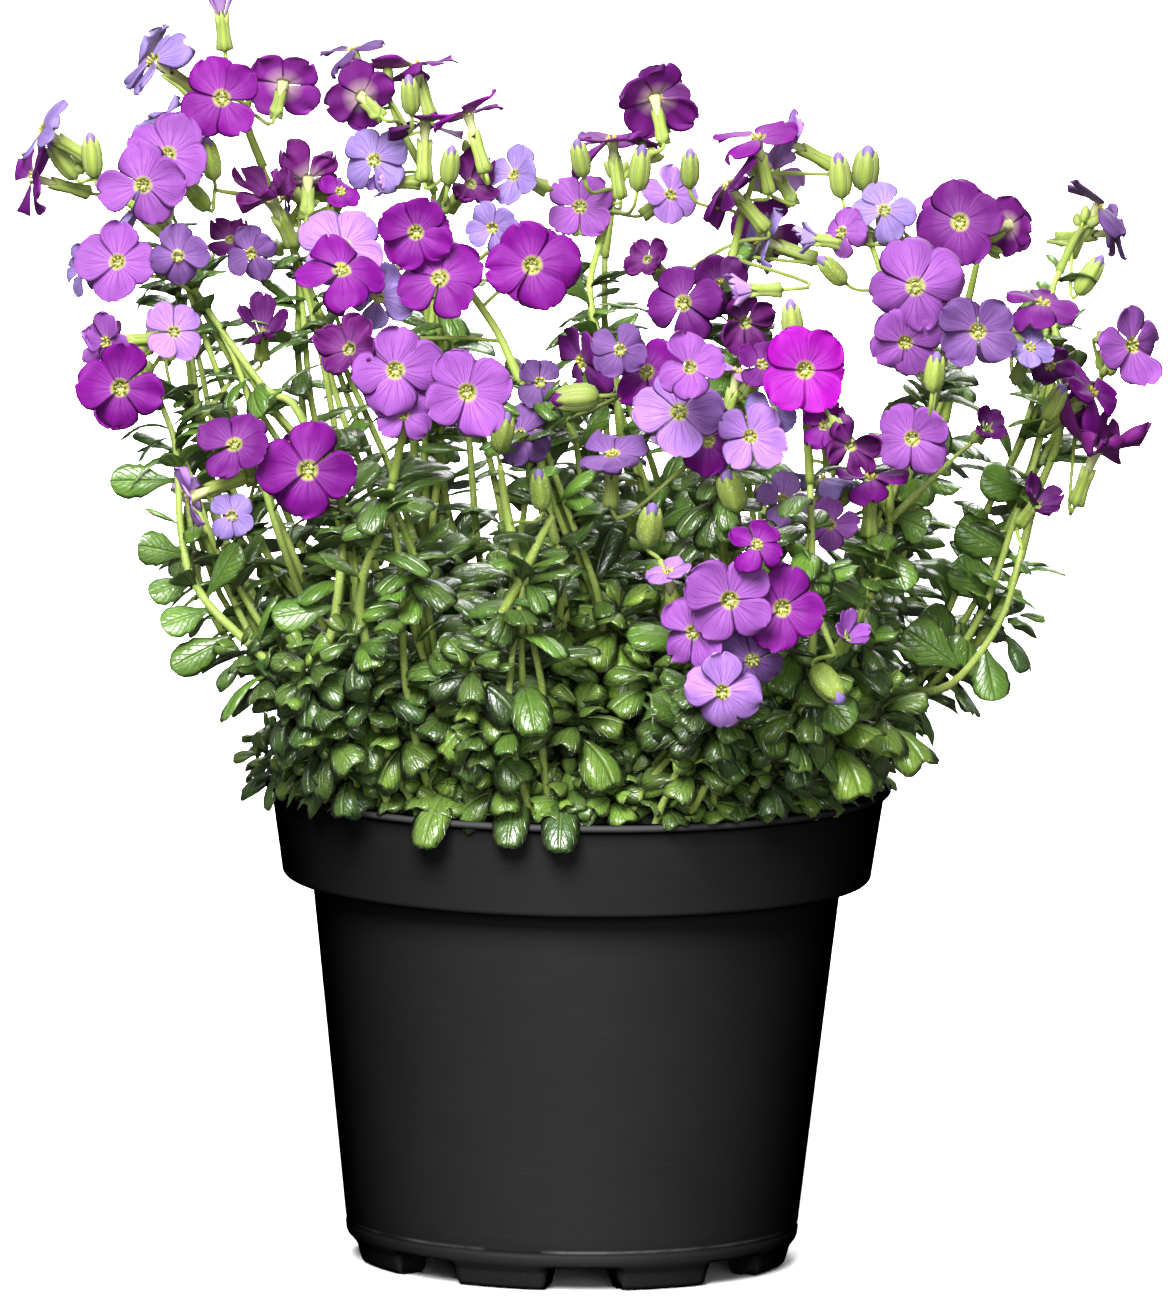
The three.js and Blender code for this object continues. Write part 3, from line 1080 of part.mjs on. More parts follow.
function addNode(name, body, colour, roughness) {
  const mesh = body.getMesh();
  const geometry = new THREE.BufferGeometry();
  const stride = mesh.numProp;
  const positions = new Float32Array((mesh.vertProperties.length / stride) * 3);
  for (let i = 0; i < positions.length / 3; i += 1) {
    for (let k = 0; k < 3; k += 1) positions[3 * i + k] = mesh.vertProperties[stride * i + k];
  }
  geometry.setAttribute('position', new THREE.BufferAttribute(positions, 3));
  geometry.setIndex(new THREE.BufferAttribute(new Uint32Array(mesh.triVerts), 1));
  const material = new THREE.MeshStandardMaterial({ color: colour, roughness, metalness: 0 });
  const node = new THREE.Mesh(geometry, material);
  node.name = name;
  model.add(node);
}

racemes.forEach((raceme) => {
  const [foot, ...rest] = raceme.route;
  const upper = [foot.clone().lerp(rest[0], RACHIS_FOOT / foot.distanceTo(rest[0])), ...rest];
  raceme.flowers.forEach((flower) => {
    const calyxTop = flower.throat.clone().addScaledVector(flower.axis, -TUBE_LENGTH);
    const calyxBase = calyxTop.clone().addScaledVector(flower.axis, -CALYX_LENGTH);
    flower.start = attachPoint(`raceme_${raceme.name}`, [upper], calyxBase, flower);
    lay(`raceme_${raceme.name}`, [flower.start, calyxBase], PEDICEL_RADIUS);
    lay(`raceme_${raceme.name}`, [calyxBase, calyxTop], CALYX_RADIUS);
  });
  budsOn(`raceme_${raceme.name}`).forEach((bud) => placeBud(bud, [upper]));
});
STEMS.forEach((stem) => {
  const routes = stemRoutes(stem).map((route, i) => (i === 0 ? route.slice(1) : route));
  budsOn(`stem_${stem.name}`).forEach((bud) => placeBud(bud, routes));
});

const stemSolids = new Map();
const stemRooms = new Map();
STEMS.forEach((stem) => {
  stemSolids.set(stem.name, join(stemParts(stem, 0)));
  stemRooms.set(stem.name, stemParts(stem, CLEARANCE));
});
const allStemRooms = [...stemRooms.values()].flat();

// Room round each raceme: its limbs, and apart from them its stalks.
racemes.forEach((raceme) => {
  const rachisRadii = raceme.route.map(() => RACHIS_RADIUS + CLEARANCE);
  raceme.limbRooms = raceme.flowers.map((flower) => flowerBody(flower, { limb: true }, CLEARANCE));
  raceme.stalkRooms = raceme.flowers.map((flower) => flowerBody(flower, { stalk: true }, CLEARANCE));
  raceme.stalkRooms.push(tube(raceme.route, rachisRadii, STALK_SIDES));
  raceme.stalkRooms.push(...budsOn(`raceme_${raceme.name}`).map((bud) => budBody(bud, CLEARANCE)));
});

// A raceme as one body. A limb that a neighbour's stalk or an earlier limb reaches is cut clear.
const racemeBodies = new Map();
racemes.forEach((raceme, index) => {
  const others = racemes.filter((other) => other !== raceme).flatMap((other) => other.stalkRooms);
  const earlier = racemes.slice(0, index).flatMap((other) => other.limbRooms);
  const rooms = [...allStemRooms, ...others, ...earlier];
  const parts = [tube(raceme.route, raceme.route.map(() => RACHIS_RADIUS), STALK_SIDES)];
  parts.push(...budsOn(`raceme_${raceme.name}`).map((bud) => budBody(bud, 0)));
  raceme.flowers.forEach((flower) => {
    const limb = flowerBody(flower, { limb: true });
    const clear = cutClear(limb, rooms);
    if (clear === limb) parts.push(flowerBody(flower, { limb: true, stalk: true }));
    else parts.push(flowerBody(flower, { stalk: true }), clear);
  });
  racemeBodies.set(raceme.name, wholeBody(cutClear(join(parts), allStemRooms), raceme.name));
});
const allRacemeRooms = racemes.flatMap((raceme) => [...raceme.limbRooms, ...raceme.stalkRooms]);

const finishedStems = new Map();
STEMS.forEach((stem) => {
  const others = STEMS.filter((other) => other !== stem).flatMap((other) => stemRooms.get(other.name));
  const leaves = stemLeaves(stem, [...others, ...allRacemeRooms]);
  const body = join([stemSolids.get(stem.name), ...leaves]);
  finishedStems.set(stem.name, wholeBody(body, `stem_${stem.name}`));
});

const cushionBody = makeCushion([...allStemRooms, ...allRacemeRooms]);

addNode('pot', makePot(), COLOURS.pot, 0.6);
addNode('soil', wholeBody(cutClear(makeSoil(), allStemRooms), 'soil'), COLOURS.soil, 1);
addNode('leaf_cushion', wholeBody(cushionBody, 'cushion'), COLOURS.cushion, 0.6);
finishedStems.forEach((body, name) => addNode(`stem_${name}`, body, COLOURS.stem, 0.6));
racemeBodies.forEach((body, name) => addNode(`raceme_${name}`, body, COLOURS.corolla, 0.7));

export default model;
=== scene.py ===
"""Finished look of a potted aubrieta in flower.

Run as a script in Blender 4.5. Lengths are in millimetres until a mesh is made, which is in
metres. +Z is up and -Y is towards the viewer. The places of the blooms, stems and leaves are read
from the photograph: a pixel and a depth give a point in space.
"""
import math
from collections import namedtuple

import bpy
import numpy as np
from mathutils import Matrix


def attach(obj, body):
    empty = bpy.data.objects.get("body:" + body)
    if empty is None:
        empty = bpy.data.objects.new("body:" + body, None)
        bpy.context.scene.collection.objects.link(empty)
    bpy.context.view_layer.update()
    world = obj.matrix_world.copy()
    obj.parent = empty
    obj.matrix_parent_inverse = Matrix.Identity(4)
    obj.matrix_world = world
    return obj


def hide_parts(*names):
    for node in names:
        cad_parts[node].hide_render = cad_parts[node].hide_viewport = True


bl_info = {
    "name": "Potted aubrieta",
    "version": (1, 0, 0),
    "blender": (4, 5, 0),
    "location": "3D View > Sidebar > Aubrieta",
    "description": "Builds the pot, soil, leaf cushion, stems and racemes of a potted aubrieta",
    "category": "Add Mesh",
}

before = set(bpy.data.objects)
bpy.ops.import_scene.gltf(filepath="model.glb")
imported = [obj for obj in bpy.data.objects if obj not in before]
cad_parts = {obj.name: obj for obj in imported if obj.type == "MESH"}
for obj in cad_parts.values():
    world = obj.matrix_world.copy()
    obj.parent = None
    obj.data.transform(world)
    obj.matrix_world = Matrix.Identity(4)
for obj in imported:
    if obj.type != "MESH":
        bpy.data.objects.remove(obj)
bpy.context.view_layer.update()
MM = 0.001
UP = np.array((0.0, 0.0, 1.0))
TAU = 2 * math.pi
GOLDEN_ANGLE = math.pi * (3 - math.sqrt(5))

# Pot
POT_HEIGHT = 92.0
LIP_RADIUS = 60.0
LIP_DROP = 1.6
COLLAR_TOP_RADIUS = 58.7
COLLAR_FOOT_RADIUS = 56.4
COLLAR_FOOT_HEIGHT = 74.8
BODY_TOP_RADIUS = 50.6
BODY_FOOT_RADIUS = 43.4
BAND_HEIGHT = 7.0
FOOT_RADIUS = 41.3
FOOT_INNER_RADIUS = 36.0
WALL = 1.3
UNDERSIDE_HEIGHT = 4.4
FLOOR_HEIGHT = 7.0
NOTCHES = 8
NOTCH_TURN = math.radians(3)
NOTCH_HALF_ANGLE = math.radians(9.6)

# Soil and cushion
SOIL_TOP = 84.0
STEM_DEPTH_IN_SOIL = 9.0
CLEARANCE = 0.35

# Flowers
TUBE_LENGTH = 4.6
CALYX_LENGTH = 7.0
CALYX_RADIUS = 1.9
CALYX_FOOT_RADIUS = 0.9
PEDICEL_RADIUS = 0.42
RACHIS_RADIUS = 1.15
TWIN_SHRINK = 0.92

# The view of the photograph, 1168 x 1296 pixels
VIEW_DISTANCE = 4000.0
VIEW_TILT = math.radians(7.9)
VIEW_ROLL = math.radians(0.8)
VIEW_AIM = np.array((0.8, 0.0, 117.5))
VIEW_FOCAL = 21132.0
VIEW_CENTRE = (584.0, 648.0)
VIEW_LONG_SIDE = 1296
SENSOR_MM = 36.0
PIXELS_PER_MM = 5.25
VIEW_EYE = VIEW_AIM + np.array((0.0, -VIEW_DISTANCE, VIEW_DISTANCE * math.tan(VIEW_TILT)))

Raceme = namedtuple("Raceme", "name depth rachis blooms")
FarRaceme = namedtuple("FarRaceme", "name near depth count rachis")
Bloom = namedtuple("Bloom", "px py facing across tone behind", defaults=(0,))
Bud = namedtuple("Bud", "px py facing length radius depth tone", defaults=("bud",))
Stem = namedtuple("Stem", "name radius foot routes")
StemLeaf = namedtuple("StemLeaf", "base tip depth width turn")

# The blooms round each stem's tip: a bloom has the pixel of its throat, the way it faces (right,
# up, toward the viewer), the pixels it measures across, its tone and how far it stands behind.
RACEMES = (
    Raceme("far_left", -8, ((165, 225, -10), (110, 190, -4), (88, 168, -4)), (
        (42, 130, (-0.75, 0.45, 0.1), 75, "light_blue"), (33, 178, (-0.95, 0.25, 0.1), 80, "purple"))),
    Raceme("upper_left", -6, ((165, 235, -12), (174, 190, 0), (180, 135, 3)), (
        (153, 60, (-0.75, 0.55, 0.35), 85, "light_blue"), (160, 125, (-0.6, 0.75, 0.2), 72, "light_blue"),
        (168, 155, (-0.2, 0.3, 0.9), 88, "violet"), (143, 185, (-0.3, 0.1, 0.9), 85, "violet", -10),
        (132, 208, (-0.75, 0.6, 0), 75, "light_blue"))),
    Raceme("top_left", -2, ((262, 165, 6), (246, 120, 5), (252, 92, 4)), (
        (222, 98, (-0.05, 0.1, 1), 85, "magenta"), (283, 85, (0.1, 0.4, -0.9), 80, "purple", -6))),
    Raceme("left_upper", -30, ((195, 290, -18), (150, 268, -18)), (
        (118, 262, (-0.25, 0.35, 0.9), 82, "violet"), (82, 272, (-0.8, 0.1, 0.5), 55, "light_blue", -2),
        (178, 256, (0, 0.1, 0.95), 62, "blue_violet", -2))),
    Raceme("left_wilting", 4, ((296, 260, 10), (290, 225, 10), (300, 205, 8)), (
        (252, 253, (-0.45, 0, 0.85), 56, "blue_violet"), (230, 240, (-0.2, 0.5, 0.8), 42, "withered"),
        (270, 200, (-0.3, 0.6, 0.3), 58, "withered"), (285, 195, (-1, 0, 0.15), 48, "dusky"),
        (308, 180, (0, 0.5, -0.85), 58, "withered"), (340, 192, (0.2, 0.6, 0.6), 45, "magenta"))),
    Raceme("top", 12, ((434, 190, 7), (402, 130, 9), (385, 88, 11)), (
        (353, 50, (-0.4, 0.9, 0), 70, "dusky"), (362, 97, (-0.3, 0.2, -0.9), 72, "dark", -6),
        (415, 65, (-0.3, 0.9, -0.3), 88, "purple", -3),
        (374, 160, (-0.25, 0.3, 0.9), 75, "light_blue", -3))),
    Raceme("top_right_of_middle", -10, ((433, 222, 9), (452, 175, 0), (468, 155, -3)), (
        (425, 122, (0, 0.95, -0.25), 78, "dark", 6), (468, 115, (-0.3, 0.92, -0.15), 78, "magenta", 6),
        (470, 185, (0.3, 0.4, 0.6), 50, "withered"), (515, 175, (-0.5, 0.3, 0.75), 64, "light_blue"))),
    Raceme("arch", -52, ((520, 380, -49), (490, 320, -46), (440, 265, -42), (368, 275, -40)), (
        (416, 232, (-0.1, 0.1, 0.95), 75, "magenta"), (440, 278, (-0.1, 0.3, 0.93), 85, "magenta", -1),
        (532, 265, (-0.05, 0.05, 1), 94, "magenta", -1),
        (493, 228, (-0.3, 0.1, 0.9), 56, "light_blue", 1), (343, 247, (0, 0.35, 0.93), 92, "light"),
        (342, 270, (0.1, 0.75, 0.6), 88, "magenta", -3),
        (378, 297, (-0.4, 0.2, 0.85), 70, "light_blue", -2))),
    Raceme("left_edge", -34, ((160, 400, -26), (140, 362, -24)), (
        (107, 342, (-0.8, 0, 0.5), 60, "violet"), (120, 388, (-0.1, 0, 1), 90, "magenta", -2),
        (174, 332, (0.1, 0.35, 0.9), 64, "light", -2))),
    Raceme("left_low", -56, ((316, 455, -46), (285, 445, -45), (250, 462, -45)), (
        (308, 470, (0, 0, 1), 98, "magenta"), (235, 445, (-0.3, 0.5, 0.7), 78, "purple"),
        (190, 498, (-0.85, -0.35, 0.1), 66, "light", 3),
        (232, 515, (-0.1, 0.3, 0.9), 50, "light_blue", -2))),
    Raceme("middle_left", -84, ((393, 480, -71), (405, 425, -72), (418, 392, -73)), (
        (395, 370, (0, 0.1, 1), 92, "violet"), (467, 392, (0.05, 0.05, 1), 88, "violet", -1),
        (403, 414, (0, 0.2, 0.9), 60, "violet", -2), (350, 350, (-0.2, 0.3, 0.6), 60, "withered", 2))),
    Raceme("middle", -46, ((575, 440, -36), (560, 400, -34)), (
        (540, 382, (0.1, 0.2, 0.9), 52, "dusky"), (582, 362, (-0.85, 0, 0.5), 76, "purple", 2),
        (520, 435, (-0.4, 0, 0.85), 66, "blue_violet"))),
    Raceme("heart", -70, ((718, 460, -60), (722, 420, -58), (695, 395, -57), (650, 385, -57)), (
        (612, 455, (0, 0.85, 0.4), 74, "blue_violet", 2), (679, 412, (0, 0, 1), 88, "light"),
        (708, 440, (0.1, -0.2, 0.9), 74, "magenta"), (750, 436, (0.05, 0, 1), 72, "light", -1),
        (772, 412, (0.2, 0.2, 0.9), 52, "light_blue", -1), (762, 365, (0.2, 0.5, 0.7), 56, "purple", 1),
        (738, 372, (0.2, 0.9, 0.1), 44, "light", 1), (620, 350, (0.2, 0.1, 0.9), 58, "blue_violet"),
        (647, 372, (-0.5, 0.2, 0.8), 76, "magenta"), (690, 368, (0, 0.4, 0.9), 68, "violet", -1))),
    Raceme("top_of_middle", 10, ((600, 240, 4), (615, 190, 8), (640, 160, 9)), (
        (580, 207, (0, 0.3, 0.95), 70, "violet", -4), (612, 140, (-0.15, 0.95, -0.2), 90, "purple", -2),
        (655, 98, (-0.15, 0.65, -0.7), 86, "dark", 2), (670, 195, (0.3, 0.3, 0.6), 62, "light"))),
    Raceme("top_right", -4, ((728, 275, -8), (742, 215, -2), (755, 175, 2)), (
        (757, 138, (-0.2, 0.9, 0.2), 86, "magenta"), (785, 140, (-0.8, 0.45, 0.3), 72, "light"),
        (728, 185, (-0.65, 0.75, 0), 86, "dark", -2), (775, 172, (-0.3, 0.4, -0.85), 62, "light", 3),
        (760, 240, (-0.9, 0.3, 0), 78, "light_blue"), (765, 230, (0, 0.3, -0.9), 76, "dark", 5),
        (720, 285, (0.1, 0, 0.95), 66, "dark", -1), (683, 303, (-0.25, 0.2, 0.93), 82, "purple"),
        (745, 322, (0.2, -0.1, 0.8), 56, "withered"), (648, 260, (-0.2, 0.3, 0.7), 42, "withered"))),
    Raceme("right_top", -6, ((868, 235, -6), (905, 240, 2), (985, 245, 4)), (
        (960, 222, (0, 0.15, 0.97), 88, "purple"), (1010, 225, (0.5, 0, -0.8), 66, "dark", 1),
        (884, 210, (0, 0.5, 0.85), 66, "light_blue"), (842, 232, (-0.5, 0.2, 0.8), 50, "violet", -1))),
    Raceme("right_head", -44, ((940, 370, -27), (955, 332, -30), (1010, 335, -32)), (
        (915, 287, (0, 0, 1), 97, "violet"), (978, 331, (0, 0, 1), 82, "blue_violet", -1),
        (905, 342, (0.1, -0.2, 0.9), 75, "violet"), (1030, 348, (0.2, 0.6, 0.7), 48, "light_blue"),
        (1042, 303, (0.2, 0.85, 0.3), 72, "purple", 2), (1050, 365, (0.3, -0.3, 0.8), 50, "dark", -1))),
    Raceme("far_right_top", 6, ((1060, 270, -2), (1074, 240, 2), (1082, 228, 4)), (
        (1098, 205, (0.45, 0.85, 0), 80, "dusky"), (1112, 232, (0.9, 0.1, -0.3), 62, "dusky"))),
    Raceme("far_right", -20, ((1060, 420, -8), (1085, 405, -9), (1102, 375, -10)), (
        (1132, 345, (0.55, 0, 0.83), 82, "violet"), (1092, 392, (0.7, 0.6, 0.25), 82, "magenta", 1),
        (1095, 452, (0.3, 0.9, 0.2), 82, "withered", 2))),
    Raceme("right_low", -50, ((890, 520, -40), (886, 485, -36), (850, 492, -36)), (
        (912, 438, (-0.1, 0, 1), 78, "violet"), (870, 478, (0, 1, 0.1), 74, "magenta", 1),
        (820, 478, (0, 1, 0.05), 74, "light_blue", 1), (783, 500, (0, 0.45, 0.88), 58, "light", -1),
        (830, 525, (0.2, 0.2, 0.7), 54, "violet", -1))),
    Raceme("bright", -74, ((810, 480, -68), (806, 410, -70), (806, 388, -71)), (
        (805, 370, (0.05, 0.1, 1), 90, "pink"), (825, 425, (-0.1, 0.6, 0.6), 52, "magenta"),
        (850, 445, (0.2, -0.2, 0.7), 48, "withered"))),
    Raceme("front", -86, ((720, 675, -70), (732, 630, -72), (732, 590, -72)), (
        (730, 600, (0, 0, 1), 92, "violet"), (782, 608, (0.05, 0, 1), 88, "magenta", 1),
        (693, 632, (-0.3, 0.1, 0.93), 76, "violet"), (722, 692, (0, 0, 1), 80, "light", -1),
        (752, 660, (0.2, -0.2, 0.9), 70, "blue_violet", 2), (757, 545, (0.1, 0.5, 0.7), 56, "magenta", 1),
        (668, 572, (-0.1, 0.9, 0.3), 52, "light", 1))),
)

# Racemes on the far side, which repeat a near one facing away
FAR_RACEMES = (
    FarRaceme("back_upper_left", "upper_left", 52, 3, ((165, 245, 40), (162, 190, 42), (170, 140, 44))),
    FarRaceme("back_left_edge", "left_edge", 56, 3, ((192, 410, 45), (150, 375, 46))),
    FarRaceme("back_left_low", "left_low", 74, 3, ((300, 545, 60), (275, 485, 63))),
    FarRaceme("back_middle_left", "middle_left", 84, 3, ((433, 450, 68), (415, 400, 73))),
    FarRaceme("back_arch", "arch", 72, 3, ((450, 325, 60), (465, 268, 61))),
    FarRaceme("back_top", "top_of_middle", 58, 3, ((605, 255, 46), (616, 180, 47))),
    FarRaceme("back_heart", "heart", 78, 4, ((690, 475, 64), (697, 430, 66))),
    FarRaceme("back_front", "front", 87, 3, ((725, 685, 68), (738, 620, 73))),
    FarRaceme("back_bright", "bright", 76, 2, ((850, 440, 60), (822, 400, 64))),
    FarRaceme("back_right_top", "right_top", 50, 2, ((965, 315, 46), (980, 250, 40))),
    FarRaceme("back_right_head", "right_head", 62, 3, ((945, 420, 50), (962, 350, 51))),
)

# Buds by the piece that they grow on: middle pixel, the way it points, length, radius, depth, tone
BUDS = {
    "raceme_top_left": [(222, 18, (-0.1, 1, 0), 13, 3.4, -2, "light")],
    "raceme_far_left": [(62, 160, (-0.6, 0.8, 0), 9, 1.7, -4), (92, 155, (-0.1, 1, 0.1), 9, 1.8, -10)],
    "stem_top_left": [(210, 158, (-0.2, 1, 0.2), 9, 1.8, -6), (196, 195, (-0.6, 0.7, 0.3), 8, 1.7, -8)],
    "raceme_top": [(410, 95, (-0.1, 1, 0.2), 8, 1.7, -12), (398, 182, (-1, 0, 0.1), 9, 2.8, 2, "light")],
    "raceme_top_right_of_middle": [(450, 165, (0.1, 1, 0.2), 8, 1.7, -22)],
    "raceme_top_of_middle": [
        (580, 158, (-0.2, 1, 0.3), 8, 1.7, -8), (640, 168, (0.1, 1, 0.1), 9, 1.9, -12)],
    "raceme_top_right": [
        (690, 168, (0, 1, 0.2), 8, 1.7, -8), (757, 290, (-1, 0, 0.2), 10, 2.9, -44, "light")],
    "raceme_right_top": [
        (840, 175, (-0.1, 1, 0.1), 9, 2, -4), (866, 168, (0.1, 1, 0.1), 9, 2.4, 2, "light_blue"),
        (820, 240, (-1, 0.1, 0), 9, 2.8, -10, "light_blue")],
    "stem_right_inner": [
        (832, 270, (-0.6, 0.6, 0.3), 8, 1.8, -22), (935, 372, (0.1, 1, 0.2), 8, 1.8, -60)],
    "raceme_far_right_top": [(1090, 275, (0.5, 0.8, 0), 9, 1.8, -4)],
    "raceme_far_right": [(1055, 402, (0.4, 0.8, 0.2), 8, 1.8, -30)],
    "raceme_bright": [(792, 322, (-0.1, 1, 0.1), 9, 1.9, -72)],
    "stem_right_short": [(985, 430, (0.3, 0.4, 0.6), 9, 3.4, -36, "dark")],
    "raceme_middle": [(575, 398, (-1, -0.1, 0), 9, 2.5, -58, "purple")],
    "stem_heart": [(731, 490, (-0.3, 0.9, 0.3), 9, 2.4, -66)],
    "stem_cut_front": [(540, 490, (-0.1, 1, 0.1), 8, 1.8, -70), (503, 432, (0.2, 0.9, 0.2), 8, 1.9, -64)],
    "stem_front": [(650, 525, (0.1, 0.9, 0.3), 9, 2.2, -70)],
    "stem_bright": [
        (828, 685, (0.6, -0.7, 0.3), 9, 2.6, -74, "light_blue"),
        (845, 640, (0.3, 0.5, 0.6), 9, 3.4, -66, "violet")],
    "stem_right_outer": [(1033, 507, (0.4, 0.6, 0.5), 11, 4.5, -24, "dark")],
    "stem_left_leafy": [(262, 338, (0, 0.85, 0.45), 11, 4.5, -22, "dark")],
}

# Flowering stems: radius, foot in the soil, and routes of pixels with their depth
STEMS = (
    Stem("left_diagonal", 0.95, (-24, -6), [
        ((352, 560, -26), (300, 415, -26), (262, 385, -24), (195, 290, -18), (165, 235, -12))]),
    Stem("top_left", 0.9, (-18, 8), [
        ((330, 520, 16), (300, 380, 14), (296, 260, 10), (262, 165, 6)),
        ((275, 200, 8), (215, 190, -2))]),
    Stem("top_middle", 1, (-10, 14), [((420, 520, 22), (425, 360, 18), (432, 250, 10), (434, 190, 7))]),
    Stem("arching", 1.1, (4, -22), [
        ((560, 580, -44), (550, 520, -50), (530, 400, -50), (520, 380, -49))]),
    Stem("left_leafy", 1, (-32, -20), [
        ((300, 700, -44), (205, 600, -40), (182, 540, -36), (176, 450, -30), (160, 400, -26)),
        ((176, 450, -30), (232, 380, -20))]),
    Stem("left_nodding", 1.1, (-28, -30), [
        ((325, 700, -52), (335, 620, -54), (343, 540, -52), (340, 495, -48), (316, 455, -46))]),
    Stem("middle_left", 1.1, (-14, -32), [((365, 640, -58), (385, 520, -70), (393, 480, -71))]),
    Stem("middle", 1, (6, -14), [((600, 600, -26), (585, 500, -34), (575, 440, -36))]),
    Stem("forked", 1.1, (8, 8), [
        ((632, 520, 0), (620, 430, -10), (615, 390, -10), (590, 300, -4), (600, 240, 4))]),
    Stem("heart", 1.1, (16, -26), [((735, 580, -50), (722, 500, -58), (718, 460, -60))]),
    Stem("top_right", 1, (20, 10), [((760, 540, 14), (745, 420, 8), (735, 340, -4), (728, 275, -8))]),
    Stem("right_inner", 1.1, (30, -14), [
        ((870, 600, -24), (900, 500, -26), (935, 400, -26), (940, 370, -27)),
        ((935, 400, -26), (895, 310, -18), (868, 235, -6))]),
    Stem("right_outer", 1.1, (36, 4), [
        ((900, 690, -4), (965, 655, -6), (1010, 590, -8), (1035, 500, -8), (1058, 440, -8),
         (1062, 380, -8), (1052, 300, -4), (1060, 270, -2)),
        ((900, 690, -4), (950, 685, -22), (1000, 622, -24), (1022, 550, -24))]),
    Stem("right_short", 1, (28, -28), [
        ((850, 640, -44), (885, 560, -42), (890, 520, -40)),
        ((890, 520, -40), (950, 462, -38))]),
    Stem("bright", 1, (22, -36), [
        ((800, 700, -58), (812, 600, -66), (810, 480, -68)),
        ((812, 600, -66), (835, 655, -70))]),
    Stem("front", 1.1, (10, -38), [
        ((700, 740, -60), (720, 675, -70)),
        ((712, 702, -66), (676, 600, -72), (660, 560, -70))]),
    Stem("cut_front", 1.3, (-4, -40), [
        ((480, 700, -60), (485, 650, -64), (520, 580, -66), (552, 515, -66)),
        ((520, 580, -66), (505, 500, -62), (500, 465, -62))]),
    Stem("back_left", 1.1, (-30, 20), [
        ((320, 640, 40), (240, 540, 46), (200, 440, 46), (185, 330, 44), (165, 245, 40))]),
    Stem("back_low", 1.1, (-22, 34), [((350, 640, 48), (300, 545, 60))]),
    Stem("back_middle", 1.1, (-8, 36), [
        ((450, 640, 58), (440, 520, 68), (430, 420, 68), (450, 325, 60))]),
    Stem("back_top", 1.1, (4, 26), [((560, 560, 44), (600, 400, 48), (605, 255, 46))]),
    Stem("back_heart", 1.1, (8, 32), [((660, 600, 58), (690, 475, 64))]),
    Stem("back_low_right", 1.1, (20, 33), [((706, 725, 46), (725, 685, 67.4))]),
    Stem("back_right", 1.1, (34, 22), [
        ((860, 640, 44), (915, 520, 50), (945, 400, 50), (965, 315, 46)),
        ((915, 520, 50), (850, 440, 60))]),
)

# Leaves by stem: pixels of base and tip, depth, width, and how far they turn to the viewer
STEM_LEAVES = {
    "left_leafy": [
        ((178, 478), (108, 482), -32, 7, 0.9), ((186, 552), (138, 546), -38, 7, 0.9),
        ((192, 578), (148, 590), -40, 6, 0.6), ((206, 600), (232, 540), -40, 7, 0.6),
        ((214, 612), (160, 622), -42, 7, 0.6), ((232, 632), (168, 668), -42, 7, 0.8)],
    "left_nodding": [((336, 610), (270, 612), -54, 8, 0.6), ((330, 660), (372, 618), -54, 6, 0.7)],
    "middle": [((576, 450), (600, 400), -36, 7, 0.5), ((592, 540), (560, 500), -32, 6, 0.5)],
    "forked": [((590, 302), (570, 250), -6, 10, 0.5)],
    "heart": [((726, 520), (690, 530), -58, 6, 0.6)],
    "right_inner": [((880, 570), (845, 560), -26, 6, 0.7)],
    "right_outer": [
        ((1000, 608), (958, 560), -10, 9, 0.8), ((1018, 560), (960, 522), -10, 9, 0.8),
        ((965, 655), (925, 612), -8, 9, 0.8), ((1036, 500), (985, 470), -10, 8, 0.7),
        ((985, 650), (1000, 700), -26, 8, 0.4), ((960, 672), (905, 630), -24, 10, 0.9)],
    "right_short": [
        ((872, 590), (850, 650), -46, 9, 0.9), ((886, 545), (905, 590), -44, 8, 0.9),
        ((890, 505), (925, 530), -42, 8, 0.9)],
    "bright": [((806, 690), (850, 728), -64, 9, 0.9)],
    "front": [((706, 715), (650, 700), -66, 8, 0.6)],
    "cut_front": [((484, 668), (440, 640), -64, 7, 0.7), ((508, 602), (555, 590), -66, 6, 0.7)],
}


# Vectors and seeded numbers

def unit(vector):
    """The vector divided by its length, for one vector or an array of them."""
    length = np.linalg.norm(vector, axis=-1, keepdims=True)
    return vector / np.maximum(length, 1e-12)


def photo_point(px, py, depth):
    """The point where the ray through a pixel meets the upright plane at that depth."""
    right = px - VIEW_CENTRE[0]
    up = VIEW_CENTRE[1] - py
    across = right * math.cos(VIEW_ROLL) - up * math.sin(VIEW_ROLL)
    rise = right * math.sin(VIEW_ROLL) + up * math.cos(VIEW_ROLL)
    ray = np.array((
        across,
        VIEW_FOCAL * math.cos(VIEW_TILT) + rise * math.sin(VIEW_TILT),
        rise * math.cos(VIEW_TILT) - VIEW_FOCAL * math.sin(VIEW_TILT)))
    return VIEW_EYE + ray * (depth + VIEW_DISTANCE) / ray[1]


def random_source(seed):
    """Numbers from 0 to 1 by the mulberry32 rule, so that the plant grows alike each time."""
    mask = 0xFFFFFFFF
    state = seed

    def draw():
        nonlocal state
        state = (state + 0x6D2B79F5) & mask
        t = ((state ^ (state >> 15)) * (state | 1)) & mask
        t = ((t + (((t ^ (t >> 7)) * (t | 61)) & mask)) & mask) ^ t
        return ((t ^ (t >> 14)) & mask) / 4294967296

    return draw


def facing_axis(facing):
    """The unit vector of a facing that is given as right, up and toward the viewer."""
    right, up, toward = facing
    return unit(np.array((right, -toward, up), dtype=float))


def bearings(count):
    """Evenly spaced bearings round a circle, in radians."""
    return TAU * np.arange(count) / count


def level(bearing):
    """The level unit vector on a bearing."""
    return np.array((math.cos(bearing), math.sin(bearing), 0.0))


